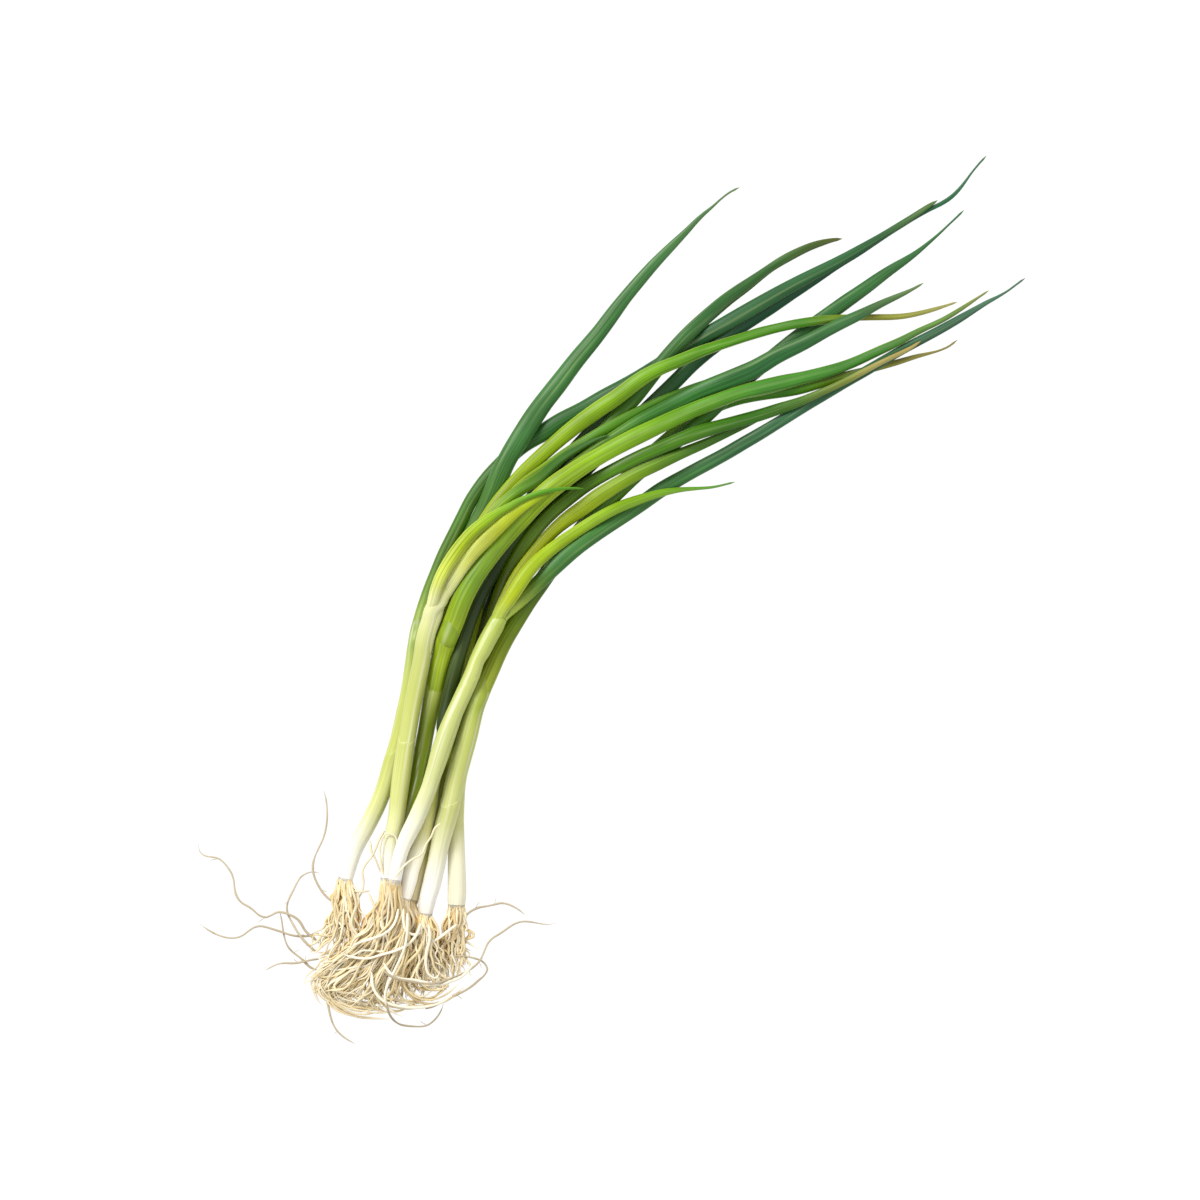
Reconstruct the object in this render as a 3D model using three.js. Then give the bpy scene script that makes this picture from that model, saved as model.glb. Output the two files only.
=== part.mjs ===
import * as THREE from "three";

// A spring onion bunch lying on its side. Millimetres, +Z up, resting on z = 0.
// Root ends point to -X and leaf tips to +X.
// Every piece is a closed tube lofted through its own stations.
// A station is [x, y, z, half width across the piece, half thickness upwards].
// Neighbouring pieces keep a small gap, so each one is a separate solid.

// White to pale green shafts, from the root plate to where the leaves part.
const stems = {
  stem_01: [[-190.15,11.85,2.98,3.06,2.91], [-181.52,15.25,3.43,3.57,3.39], [-174.92,17.31,3.5,3.66,3.48], [-168.21,18.37,3.53,3.71,3.52], [-158.26,19.8,3.53,3.71,3.53], [-149.9,21.49,3.53,3.71,3.53], [-142.21,23.8,3.53,3.71,3.53], [-133.08,27.29,3.53,3.71,3.53], [-124.13,30.48,3.53,3.71,3.53], [-115.71,34.12,3.53,3.71,3.53], [-106.29,38.27,3.53,3.71,3.53], [-98.43,42.18,3.77,3.71,3.53], [-89.98,46.91,4.44,3.59,3.41], [-82.3,50.96,5.41,3.49,3.31]],
  stem_02: [[-178.31,-3.46,9.57,2.81,2.67], [-172.99,-0.24,9.87,3.16,3], [-164.79,4.23,10,3.48,3.31], [-157.41,8.02,9.79,3.6,3.42], [-150.08,11.62,9.51,3.65,3.46], [-141.81,16.37,9.32,3.94,3.74], [-133.02,21.19,9.58,4.05,3.85], [-123.97,26.05,10.19,3.96,3.76], [-115.29,30.4,10.52,3.94,3.74], [-106.46,34.78,11.16,3.94,3.74], [-97.43,39.01,12.26,3.94,3.74], [-88.92,42.96,13.71,3.94,3.74], [-81.5,46.91,15.35,3.94,3.74], [-75.21,49.61,16.93,3.85,3.65], [-66.76,52.63,19.31,3.83,3.63]],
  stem_03: [[-176.7,-6.41,14.4,2.7,2.56], [-170.26,-3.13,14.99,2.94,2.79], [-162.38,-0.11,15.38,3.25,3.09], [-155.36,1.58,15.5,3.6,3.42], [-146.11,3.19,15.94,3.78,3.59], [-136.79,5.36,16.81,3.68,3.5], [-129.06,7.68,17.7,3.6,3.42], [-120.25,10.61,18.39,4.04,3.84], [-111.1,13.66,18.68,4.27,4.06], [-101.51,16.44,18.54,3.92,3.72], [-92.83,18.45,18.04,3.67,3.49], [-83.13,20.52,17.05,3.71,3.53], [-75.36,22.71,15.92,3.53,3.35], [-69.64,23.88,14.99,3.75,3.56], [-61.9,25.23,13.97,3.91,3.72], [-53.01,26.37,13.16,3.83,3.63]],
  stem_04: [[-181.18,-14.36,7.23,2.93,2.78], [-174.44,-11.93,7.9,3.4,3.23], [-167.89,-9.27,8.33,3.48,3.3], [-161.6,-6.98,8.54,3.55,3.38], [-153.7,-4.35,8.55,3.49,3.32], [-145.89,-1.41,8.47,3.43,3.26], [-138.18,2.01,8.07,3.27,3.1], [-131.05,5.79,7.38,3.14,2.98], [-122.63,9.83,6.68,3.11,2.95], [-114.19,13.76,5.78,3.1,2.95], [-105.76,17.66,4.52,3.07,2.91], [-98.11,20.72,3.53,3.06,2.91], [-89.15,23.83,2.78,2.92,2.78]],
  stem_05: [[-180.97,-26.78,4.52,2.81,2.67], [-174.94,-23.16,5.42,3.75,3.56], [-169.73,-21.16,6.11,4.03,3.83], [-163.17,-18.39,6.79,4.12,3.91], [-155.41,-14.95,7.67,4.07,3.87], [-147.14,-11.18,8.98,4.25,4.03], [-138.34,-7.69,10.25,4.48,4.26], [-129.87,-4.12,11.1,4.5,4.27], [-121.2,-0.34,11.68,4.5,4.27], [-112.21,3.11,12.56,4.5,4.27], [-103.43,6.48,13.2,4.49,4.27], [-94.71,10.05,13.44,4.3,4.09], [-87.49,12.48,13.33,4.12,3.91]],
  stem_06: [[-169.8,-35.87,3.7,3.6,3.42], [-162.39,-30.84,3.96,4.12,3.91], [-155.59,-25.72,3.87,3.96,3.76], [-147.87,-19.8,3.59,3.78,3.59], [-139.35,-13.39,3.36,3.54,3.36], [-132.23,-8.49,3.26,3.42,3.25], [-124.94,-3.88,3.43,3.29,3.13], [-119.46,-0.98,3.76,3.26,3.1], [-111.91,2.2,4.47,3.26,3.1], [-102.87,5.93,5.45,3.26,3.09], [-94.46,9.35,5.98,3.13,2.97], [-87.09,11.94,6.14,3.04,2.89]],
  stem_07: [[-180,-18.24,2.4,2.36,2.24], [-172.43,-15.29,2.73,2.87,2.73], [-164.64,-12.16,2.78,2.93,2.78], [-156.4,-8.84,2.78,2.93,2.78], [-150.05,-6.21,2.71,2.84,2.7], [-143.22,-3.35,2.69,2.81,2.67], [-135.54,-0.19,2.56,2.7,2.56], [-127.43,3.1,2.57,2.7,2.56], [-118.01,6.69,2.56,2.7,2.56], [-110.8,9.32,2.57,2.7,2.56], [-101.26,12.46,2.56,2.7,2.56], [-91.15,15.93,2.56,2.7,2.56]],
  stem_08: [[-188.5,-7.46,2.78,2.81,2.67], [-184.9,-5.7,3.02,3.18,3.02], [-178.59,-3.56,3.25,3.35,3.18], [-170.94,-0.93,3.28,3.45,3.28], [-161.08,2.64,3.4,3.57,3.4], [-151.12,6.18,3.52,3.71,3.52], [-141.49,9.87,3.53,3.71,3.53], [-132.67,13.5,3.53,3.71,3.53], [-124.41,17.37,3.56,3.71,3.53], [-115.92,21.49,3.94,3.78,3.59], [-107.52,25.52,4.72,3.91,3.71], [-99.26,29.24,5.85,4.33,4.12], [-91.75,32.7,7.2,4.55,4.32], [-85.05,35.75,8.68,4.62,4.39], [-76.79,38.92,10.77,4.64,4.4]],
};

// Hollow green leaves, from the shaft to the pointed tip.
const leaves = {
  leaf_01: [[-81.08,51.58,5.41,3.15,2.08], [-73.16,55.17,3.29,3.15,2.08], [-63.71,58.48,2.09,3.04,2.01], [-52.9,61.5,2,3.04,2], [-40.79,64.26,2,3.04,2], [-26.64,66.71,1.99,3.01,1.99], [-16.03,68.43,1.98,3,1.98], [-6.06,68.53,2.08,3.15,2.08], [4.06,67.23,2.26,3.42,2.26], [14.76,65.04,2.39,3.62,2.39], [24.46,61.43,2.5,3.79,2.5], [35.29,57.12,2.52,3.82,2.52], [45.68,52.09,2.44,3.7,2.44], [55.46,47.82,2.73,3.58,2.36], [64.48,43.63,3.67,3.47,2.29], [73.17,39.85,3.43,3.37,2.22], [82.72,36.27,2.69,3.26,2.15], [92.21,32.7,2.38,3.26,2.15], [101.57,29.22,3.41,3.26,2.15], [111.69,24.84,5.21,3.26,2.15], [122.57,20.05,5.94,3.26,2.15], [135.07,14.57,5.89,3.19,2.1], [147.71,8.88,5.47,2.9,1.92], [160.47,2.7,5.1,2.44,1.61], [172.15,-2.83,4.48,2,1.32], [182.47,-7.31,3.63,1.69,1.12], [194.92,-12.43,2.87,1.41,0.93], [207.78,-17.28,2.24,1.12,0.74], [216.83,-20.69,1.17,0.45,0.45]],
  leaf_02: [[-77.27,50.19,7.81,2.02,1.34], [-66.91,52.55,5.8,3.06,2.02], [-55.69,54.34,4.6,3.83,2.53], [-44.18,56.02,3.24,4.11,2.71], [-33.39,57.77,2.81,4.26,2.81], [-21.66,59.82,3.15,4.28,2.82], [-11.85,61.57,4.71,4.39,2.9], [-1.46,64.29,6.99,4.32,2.85], [8.36,66.16,8.05,4.29,2.83], [18.62,67.17,7.78,4.36,2.87], [29.12,67.91,6.05,4.38,2.89], [39.75,68.19,3.64,4.19,2.77], [50.15,67.9,2.64,4.01,2.64], [63.22,67.68,2.48,3.75,2.48], [76.77,66.9,2.29,3.47,2.29], [90.65,66.8,2.06,3.12,2.06], [103.87,66.33,1.83,2.77,1.83], [117.65,65.24,1.56,2.36,1.56], [131.25,63.34,1.19,1.81,1.19], [144.63,61.48,0.72,1.09,0.72], [153.25,59.62,0.45,0.63,0.45], [162.5,57.56,0.45,0.45,0.45], [168.66,54.77,0.45,0.45,0.45]],
  leaf_03: [[-63.37,54.85,22.26,2.25,1.49], [-52.71,58.31,24.43,2.8,1.85], [-41.26,59.38,24.91,2.93,1.93], [-29.55,59,23.6,2.89,1.91], [-18.44,56.26,22.4,2.4,1.58], [-7.73,51.84,21.77,1.58,1.04], [2.46,46.23,21.72,1.17,0.77], [10.46,39.18,20.87,0.83,0.55], [17.18,30.35,18.37,0.45,0.45]],
  leaf_04: [[-62.49,52.14,19.31,2.48,1.63], [-52.15,53.12,21.23,3.15,2.08], [-41.37,53.71,22.24,3.3,2.18], [-31.46,53.05,21.81,3.38,2.23], [-20.36,51.35,20.34,3.22,2.13], [-9.71,48.95,19.71,2.55,1.68], [-0.68,45.39,20.18,1.61,1.06], [7.52,40.57,19.8,0.45,0.45]],
  leaf_05: [[-68.92,47.96,8.58,1.8,1.19], [-59.97,51.09,9.1,2.36,1.56], [-48.23,54.26,8.74,2.57,1.69], [-37.6,56.25,8.21,2.66,1.76], [-26.33,57.45,9.34,2.77,1.83], [-14.92,58.14,10.54,2.86,1.89], [-3.97,57.91,10.06,2.91,1.92], [7.26,56.76,7.88,3.03,2], [18.43,54.79,5.88,3.16,2.09], [29.55,52.41,5.6,3.33,2.2], [40.69,49.41,6.68,3.53,2.33], [51.85,45.67,7.93,3.6,2.37], [62.44,41.99,10.6,3.46,2.29], [72.77,38.81,12.23,3.23,2.13], [81.78,34.46,12.36,2.91,1.92], [91.33,28.68,10.93,2.71,1.79], [100.79,23.07,7.94,2.39,1.58], [110.5,16.29,5.52,2.2,1.45], [119.77,9.58,4.69,2.15,1.42], [128.55,2.38,5.61,2.03,1.34], [136.82,-5.3,6.45,2.07,1.36], [144.7,-13.54,5.59,1.83,1.21], [151.9,-21.99,3.1,1.43,0.94], [158.94,-31.03,1.17,1.35,0.89], [165.88,-39.51,0.81,1.23,0.81], [174.64,-47.28,0.62,0.94,0.62], [185.33,-55.08,0.45,0.45,0.45]],
  leaf_06: [[-76.35,41.37,10.77,1.57,1.04], [-66.85,46.41,11.41,2.21,1.46], [-57.42,49.5,12.49,2.25,1.49], [-47.17,50.74,12.26,2.36,1.56], [-35.59,50.95,11.36,2.5,1.65], [-24.51,51.41,12.11,2.64,1.74], [-13.13,53.04,13.45,2.74,1.81], [-3.08,53.85,13.22,2.86,1.89], [5.63,52.35,11.9,2.84,1.87], [17,48.77,9.08,2.71,1.79], [27.94,45.14,7.81,2.55,1.68], [39.66,40.71,8.15,2.36,1.56], [50.95,35.89,8.14,2.15,1.42], [61.95,30.64,6.9,1.83,1.21], [72.17,25.3,5.5,1.47,0.97], [82.6,19.43,2.63,0.87,0.57], [91.63,13.66,0.45,0.45,0.45]],
  leaf_07: [[-71.55,45.47,13.65,1.57,1.04], [-60.85,49.84,15.52,2.16,1.42], [-49.99,52.8,15.64,2.34,1.55], [-38.59,55.06,14.98,2.45,1.62], [-27.2,56.52,16.02,2.69,1.78], [-16.23,56.6,17.57,2.7,1.78], [-5.46,54.68,17.57,2.7,1.78], [4.85,51.13,15.98,2.65,1.75], [14.92,48.23,13.18,2.3,1.52], [25.34,45.27,11.23,1.77,1.17], [35.82,40.57,10.81,1.1,0.73], [43.62,35.58,11.75,0.45,0.45]],
  leaf_08: [[-74.57,39.71,15.67,4.5,2.97], [-63.53,42.45,18.9,4.5,2.97], [-53.5,45,20.33,4.38,2.89], [-43.14,46.16,20.33,4.04,2.67], [-31.92,46.42,18.72,4.02,2.65], [-20.69,46.19,16.22,4.26,2.81], [-9.63,45.37,15.27,4.45,2.94], [1.57,43.84,15.96,4.46,2.94], [11.74,41.46,16.21,4.38,2.89], [22.47,37.89,14.84,4.06,2.68], [32.74,33.75,13.44,3.72,2.46], [43.25,28.93,13.48,3.82,2.52], [53.45,23.73,13.27,3.76,2.48], [64,18.04,11.66,3.5,2.31], [73.81,12.53,11.07,3.35,2.21], [83.4,6.46,11.68,3.16,2.08], [92.56,0.44,11,3.06,2.02], [100.65,-6.25,8.85,3.37,2.23], [109.71,-13.75,5.83,3.27,2.16], [118.41,-21.12,4.58,2.83,1.87], [127.28,-28.12,3.5,2.55,1.69], [136.45,-34.09,2.23,2.23,1.47], [146.36,-39.58,2.59,2.03,1.34], [156,-44.87,2.72,1.68,1.11], [166.07,-49.83,1.95,1.35,0.89], [175.28,-54.76,1.92,1.15,0.76], [185.69,-58.97,0.7,0.89,0.59], [197.9,-63.43,0.45,0.45,0.45]],
  leaf_09: [[-110.86,15.38,13.16,1.8,1.19], [-101.36,20.42,11.83,2.87,1.89], [-90.95,25.12,12.11,3.1,2.05], [-80.62,29.44,13.3,3.09,2.04], [-70.01,33.33,12.93,3,1.98], [-59.4,36.86,10.88,2.94,1.94], [-48.67,39.33,8.89,2.8,1.85], [-38.77,40.52,8.48,2.7,1.78], [-27.89,42.24,8.94,2.7,1.78], [-14.71,43.13,9.03,2.7,1.78], [-1.88,43.17,9.13,2.7,1.78], [10.35,42.37,9.78,2.7,1.78], [21.99,40.19,9.83,2.78,1.84], [32.7,37.19,8.98,2.92,1.93], [43.3,33.26,9.17,2.95,1.95], [54.26,28.95,9.64,3.17,2.09], [64.64,24.05,8.36,3.42,2.26], [74.85,18.84,7.48,3.67,2.42], [84.66,13.76,8.29,3.84,2.54], [94.25,7.72,9.42,3.97,2.62], [103.88,1.97,8.87,3.94,2.6], [113.55,-2.39,7.28,3.61,2.38], [122.91,-7.09,6.89,3.29,2.17], [132.84,-12.27,7.86,2.95,1.95], [143.11,-17.15,7.76,2.64,1.74], [153.09,-22.46,5.94,2.26,1.49], [163.48,-27.55,2.71,1.61,1.06], [173.37,-33.02,0.79,1.03,0.68], [183.13,-37.7,0.45,0.45,0.45]],
  leaf_10: [[-87.24,24.29,4.1,2.48,1.63], [-76.75,28.21,5.19,2.7,1.78], [-64.84,32.84,4.87,2.7,1.78], [-54.26,37.34,3.76,2.73,1.8], [-45.28,40.66,3.82,2.93,1.93], [-33.53,42.78,4.67,2.93,1.93], [-21.41,43.98,4.95,2.93,1.93], [-8.41,43.88,4.8,2.98,1.97], [2.87,42.88,5.11,3.04,2], [14.78,40.75,5.65,3.1,2.05], [26.53,39.88,5.1,3.15,2.08], [38.87,39.19,4.24,3.15,2.08], [50.94,38.08,4.44,3.22,2.13], [61.74,36.66,5.7,3.26,2.15], [72.6,36.12,7.54,3.26,2.15], [83.71,35.8,7.84,3.26,2.15], [95.28,34.89,7.57,3.26,2.15], [106.12,33.33,6.93,3.19,2.1], [117.06,31.05,4.62,3.06,2.02], [127.55,28.32,2.37,2.85,1.88], [139.08,24.58,1.56,2.36,1.56], [150.85,20.71,1.26,1.91,1.26], [161.85,15.53,1.2,1.83,1.2], [170.71,9.82,0.89,1.35,0.89], [177.46,3.68,0.45,0.45,0.45]],
  leaf_11: [[-74.03,39.73,8.94,1.57,1.04], [-65.89,41.83,5.68,1.95,1.29], [-57.86,43.53,3.41,2.17,1.43], [-49.88,44.87,2.05,2.29,1.51], [-41.97,45.87,1.56,2.36,1.56], [-30.93,46.75,1.63,2.47,1.63], [-18.17,47.33,1.63,2.48,1.63], [-5.05,47.59,1.63,2.48,1.63], [6.09,47.38,1.63,2.48,1.63], [17.45,46.47,1.63,2.48,1.63], [30.54,44.98,1.63,2.48,1.63], [42.11,43.56,1.62,2.45,1.62], [54.54,41.65,1.36,2.06,1.36], [65.71,39.69,0.81,1.23,0.81], [74.37,37.84,0.45,0.45,0.45]],
  leaf_12: [[-85.69,22.18,1.36,1.8,1.19], [-78.87,24.55,1.63,2.46,1.62], [-66.66,28.27,1.78,2.7,1.78], [-52.02,32.58,1.78,2.7,1.78], [-40.04,35.91,1.82,2.76,1.82], [-30.37,37.78,1.85,2.8,1.85], [-20.02,38.88,1.89,2.86,1.89], [-9.67,39.12,1.92,2.91,1.92], [0.9,38.5,1.97,2.98,1.97], [12.47,36.94,2.07,3.14,2.07], [26.86,34.74,2.08,3.15,2.08], [41.94,32.45,2.08,3.15,2.08], [55.74,30.33,2.14,3.24,2.14], [70.34,27.82,2.15,3.26,2.15], [83.84,25.61,2.15,3.26,2.15], [94.69,23.91,2.15,3.26,2.15], [104.98,21.21,2.15,3.26,2.15], [116.72,17.7,2.15,3.26,2.15], [127.67,13.54,2.11,3.2,2.11], [140.41,8.64,1.9,2.87,1.9], [154.21,3.47,1.67,2.53,1.67], [166.19,-0.99,1.47,2.23,1.47], [177.11,-5.75,1.2,1.81,1.2], [188.87,-10.42,0.93,1.4,0.93], [201.69,-15.79,0.67,1.01,0.66], [212.04,-20.48,0.62,0.95,0.62], [218.39,-23.68,0.64,0.96,0.63], [222.65,-24.98,0.6,0.91,0.6], [227.92,-25.65,0.47,0.72,0.47], [236.85,-25.67,0.45,0.45,0.45], [246.14,-26.48,0.45,0.45,0.45]],
  leaf_13: [[-50.33,26.16,10.17,2.93,1.93], [-46.2,25.49,10.08,3.15,2.08], [-36.85,23.27,10.71,3.24,2.14], [-27.11,21.61,11.17,3.32,2.19], [-14.84,19.32,11.2,3.37,2.23], [-4.74,16.77,10.41,3.29,2.17], [5.13,13.62,8.37,3.26,2.15], [15.45,9.95,5.01,3.26,2.15], [25.24,6.43,2.88,3.3,2.18], [34.85,3.3,2.19,3.33,2.2], [45.78,-1.09,2.09,3.17,2.09], [58.43,-6.97,1.98,3,1.98], [70.71,-12.67,1.88,2.85,1.88], [84.12,-18.45,1.81,2.75,1.81], [97.62,-23.95,1.71,2.6,1.71], [109.57,-28.85,1.73,2.51,1.65], [119.54,-33.1,2.99,2.38,1.57], [129.15,-37.43,3.97,2.24,1.48], [138.89,-41.71,3.86,2.14,1.41], [148.94,-45.98,2.28,2.08,1.37], [158.09,-50.18,1.39,2.07,1.37], [170.24,-56.07,1.28,1.93,1.28], [182.52,-61.52,1.03,1.56,1.03], [194.1,-66.45,0.62,0.93,0.61], [202.71,-70.37,0.45,0.46,0.45], [212.17,-73.31,0.45,0.45,0.45]],
  leaf_14: [[-47.85,27.71,16,2.25,1.49], [-36.1,28.22,16.36,3.12,2.06], [-25.07,28.32,15.02,3,1.98], [-14.63,26.42,12.52,2.75,1.82], [-3.59,22.95,11.11,2.59,1.71], [7.49,18.79,10.64,2.48,1.64], [18.02,13.93,9.41,2.47,1.63], [27.58,7.98,7.11,2.2,1.45], [36.92,0.98,5.9,1.64,1.08], [44.81,-6.93,3.49,0.96,0.63], [52.28,-15.55,1.1,0.59,0.45], [60.41,-22.48,0.45,0.45,0.45]],
  leaf_15: [[-50.13,28.54,13.16,1.57,1.04], [-39.58,30.58,12.06,2.24,1.48], [-29.38,31.62,9.73,2.56,1.69], [-18.01,31.39,8.05,2.7,1.78], [-7.16,30.47,7.17,2.91,1.92], [2.58,28.24,7.65,3.27,2.16], [12.95,24.83,9.47,3.53,2.33], [23.7,21.18,10.46,3.39,2.24], [34.72,16.46,10.77,3.08,2.04], [44.11,11.45,10.5,2.89,1.91], [53.86,5.94,8.56,2.58,1.7], [63.52,0.26,4.99,2.22,1.47], [73.34,-5.28,2.05,1.76,1.16], [83.15,-10.83,0.8,1.22,0.8], [94.07,-16.96,0.45,0.45,0.45]],
  leaf_16: [[-88.8,16.54,2.56,1.8,1.19], [-78.1,20.48,4.17,2.55,1.68], [-67.54,24.52,5.08,2.7,1.78], [-54.29,29.55,5.48,2.72,1.79], [-42.04,33.5,5.79,2.93,1.93], [-31.2,35.88,6.01,3.12,2.06], [-19.01,37.08,6.17,3.25,2.14], [-7.96,36.97,6.12,3.17,2.09], [2.85,35.26,5.98,3.15,2.08], [13.48,32.55,6.17,3.13,2.06], [22.68,29.24,7.66,2.98,1.97], [32.79,24.47,10.35,2.84,1.88], [42.44,19.58,11.65,2.83,1.87], [51.49,14.35,11.41,2.87,1.9], [61.23,8.58,10.84,3.02,1.99], [69.84,2.88,9.63,3.09,2.04], [78.41,-3.74,6.84,2.84,1.87], [86.99,-10.4,4.5,2.68,1.77], [95.56,-16.72,3.74,2.54,1.68], [104.46,-23.06,4.4,2.15,1.42], [113.7,-28.63,5.09,1.71,1.13], [123.43,-34.11,6.58,1.49,0.98], [133.62,-39.16,6.88,1.38,0.91], [143.65,-44.08,6,1.09,0.72], [153.62,-49.28,4.1,0.88,0.58], [161.14,-52.22,3.58,0.45,0.45]],
  leaf_17: [[-85.96,11.79,6.14,2.05,1.35], [-76.41,14.77,3.45,2.75,1.82], [-67.06,17.45,2.12,2.92,1.93], [-57.48,19.52,1.93,2.93,1.93], [-45.05,21.09,1.93,2.93,1.93], [-32.22,21.95,1.93,2.93,1.93], [-19.14,22.07,1.93,2.93,1.93], [-4.84,21.58,1.93,2.93,1.93], [8.88,20.78,1.93,2.93,1.93], [23.26,19.4,1.93,2.93,1.93], [36.61,17.65,1.93,2.93,1.93], [49.39,15.33,1.93,2.93,1.93], [62.81,12.26,1.93,2.93,1.93], [72.86,9.16,1.93,2.93,1.93], [82.01,5.08,1.93,2.93,1.93], [89.32,0.37,1.91,2.89,1.91], [97.18,-6.4,1.86,2.82,1.86], [106.45,-15.88,1.82,2.76,1.82], [114,-22.89,1.75,2.65,1.75], [124.58,-31.19,1.4,2.12,1.4], [135.82,-40.09,1.06,1.61,1.06], [146.58,-48.84,0.85,1.28,0.85], [155.75,-55.77,0.6,0.91,0.6], [162.48,-61.3,0.45,0.48,0.45], [167.39,-64.09,0.45,0.45,0.45], [171.56,-65.23,0.45,0.45,0.45]],
  leaf_18: [[-86,12.74,13.33,3.94,2.6], [-78.13,14.87,10.35,3.94,2.6], [-69.39,16.92,8.08,3.91,2.58], [-61.53,18.47,6.97,3.81,2.52], [-52.19,19.39,6.62,3.6,2.37], [-38.78,20.16,6.41,3.38,2.23], [-24.95,20.64,6.4,3.38,2.23], [-12.4,20.92,6.45,3.36,2.22], [-0.48,20.49,6.41,3.29,2.17], [11.28,19.33,6.35,3.26,2.15], [24.72,17.37,6.25,3.26,2.15], [36.81,15.25,6.14,3.26,2.15], [48.84,12.32,5.92,3.26,2.15], [62.3,8.92,5.81,3.26,2.15], [72.68,6.43,6.09,3.26,2.15], [81.05,4.89,6.54,3.26,2.15], [89.54,3.4,6.03,3.26,2.15], [97.92,1.6,4.54,3.26,2.15], [106.92,-0.53,2.78,3.26,2.15], [115.4,-2.61,2.16,3.26,2.15], [128.05,-5.93,2.15,3.26,2.15], [140.7,-9.77,2.12,3.21,2.12], [154.47,-14.2,2.06,3.13,2.06], [166.31,-18.14,1.87,2.83,1.87], [177.96,-21.89,1.5,2.27,1.5], [188.7,-25.9,0.96,1.45,0.96], [198.17,-28.61,0.54,0.82,0.54], [208.56,-30.81,0.45,0.45,0.45], [220.39,-32.88,0.45,0.45,0.45]],
};

// Dense beards of roots under each shaft, one tapering mass per shaft.
const rootMasses = {
  roots_01: [[-191.55,11.09,2.98,2.7,1.62], [-196.77,8.54,2.45,3.83,2.3], [-202.48,6.2,2.76,4.6,2.76], [-208.67,3.83,3.36,5.39,3.23], [-214.1,1.77,4.59,5.98,3.59], [-219.62,-0.32,5.21,6.48,3.89], [-224.74,-2.49,4.99,6.53,3.92], [-228.9,-5.03,4.56,6.31,3.79], [-232.37,-8.26,4.11,4.83,2.9], [-235.03,-11.83,3.72,2.25,1.35]],
  roots_02: [[-179.52,-4.47,9.57,2.48,1.49], [-184.31,-7.39,8.44,3.25,1.95], [-189.54,-10.26,7.91,3.89,2.33], [-194.47,-12.63,7.87,4.52,2.71], [-199.54,-14.92,8.61,5.1,3.06], [-204.77,-17.42,10.18,5.77,3.46], [-209.58,-19.97,11.41,6.28,3.77], [-214.36,-22.71,11.9,6.3,3.78], [-219,-25.62,11.63,6.22,3.73], [-223.66,-28.69,10.58,4.81,2.89], [-228.35,-31.51,8.79,2.02,1.21]],
  roots_03: [[-178.02,-7.27,14.4,2.36,1.42], [-182.46,-10.45,13.39,3,1.8], [-187.04,-13.55,13.13,3.61,2.16], [-191.58,-16.71,13.64,4.26,2.56], [-196.06,-19.99,14.92,4.82,2.89], [-200.97,-23.63,16.72,5.48,3.29], [-205.47,-26.95,17.62,6.04,3.62], [-209.93,-30.23,17.74,6.08,3.65], [-214.41,-33.53,17.1,6.03,3.62], [-218.94,-36.87,15.65,4.68,2.81], [-223.57,-40.28,13.36,1.8,1.08]],
  roots_04: [[-182.58,-15.11,7.23,2.48,1.49], [-186.26,-17.61,6.66,3.35,2.01], [-190.22,-21.57,6.64,4.22,2.53], [-194.28,-25.93,7.49,4.94,2.96], [-198.74,-30.57,9.04,5.51,3.31], [-202.99,-34.72,9.69,5.78,3.47], [-207.36,-38.49,9.49,5.78,3.47], [-212.11,-41.91,8.43,4.54,2.72], [-217.22,-45.1,6.45,1.8,1.08]],
  roots_05: [[-182.24,-27.71,4.52,2.59,1.55], [-185.48,-31.09,6.61,3.36,2.01], [-188.86,-35.99,8.46,4.29,2.58], [-192.52,-40.83,9.45,5.15,3.09], [-196.25,-45.41,9.52,5.61,3.36], [-200.31,-49.39,8.76,5.18,3.11], [-204.86,-52.77,7.2,2.25,1.35]],
  roots_06: [[-171.07,-36.81,3.7,3.26,1.96], [-175.24,-39.83,2.65,3.77,2.26], [-179.48,-42.65,2.28,3.83,2.29], [-185.14,-46.26,2.28,3.8,2.28], [-190.1,-49.38,1.96,3.27,1.96], [-194.42,-51.78,1.15,1.8,1.08]],
  roots_07: [[-181.41,-19,2.4,2.03,1.22], [-184.39,-21.98,2.02,2.84,1.7], [-187.7,-26.18,2.17,3.61,2.17], [-191.92,-31.29,2.65,4.42,2.65], [-195.98,-36.26,3.16,5.26,3.15], [-199.75,-40.29,3.34,5.56,3.34], [-203.56,-43.43,3.31,5.5,3.3], [-207.65,-45.96,2.74,4.4,2.64], [-212.2,-48.12,1.53,1.8,1.08]],
  roots_08: [[-190.04,-8.03,2.78,2.48,1.49], [-194.43,-9.35,2.32,3.31,1.99], [-199.91,-10.24,2.47,4.14,2.48], [-206.6,-11.41,3.15,5.22,3.13], [-212.07,-12.59,4.23,6.12,3.67], [-217.62,-14.23,5.72,6.47,3.88], [-222.74,-16.25,6.42,6.44,3.86], [-227.64,-18.7,6.37,5.17,3.1], [-232.32,-21.57,5.56,2.25,1.35]],
};

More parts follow.
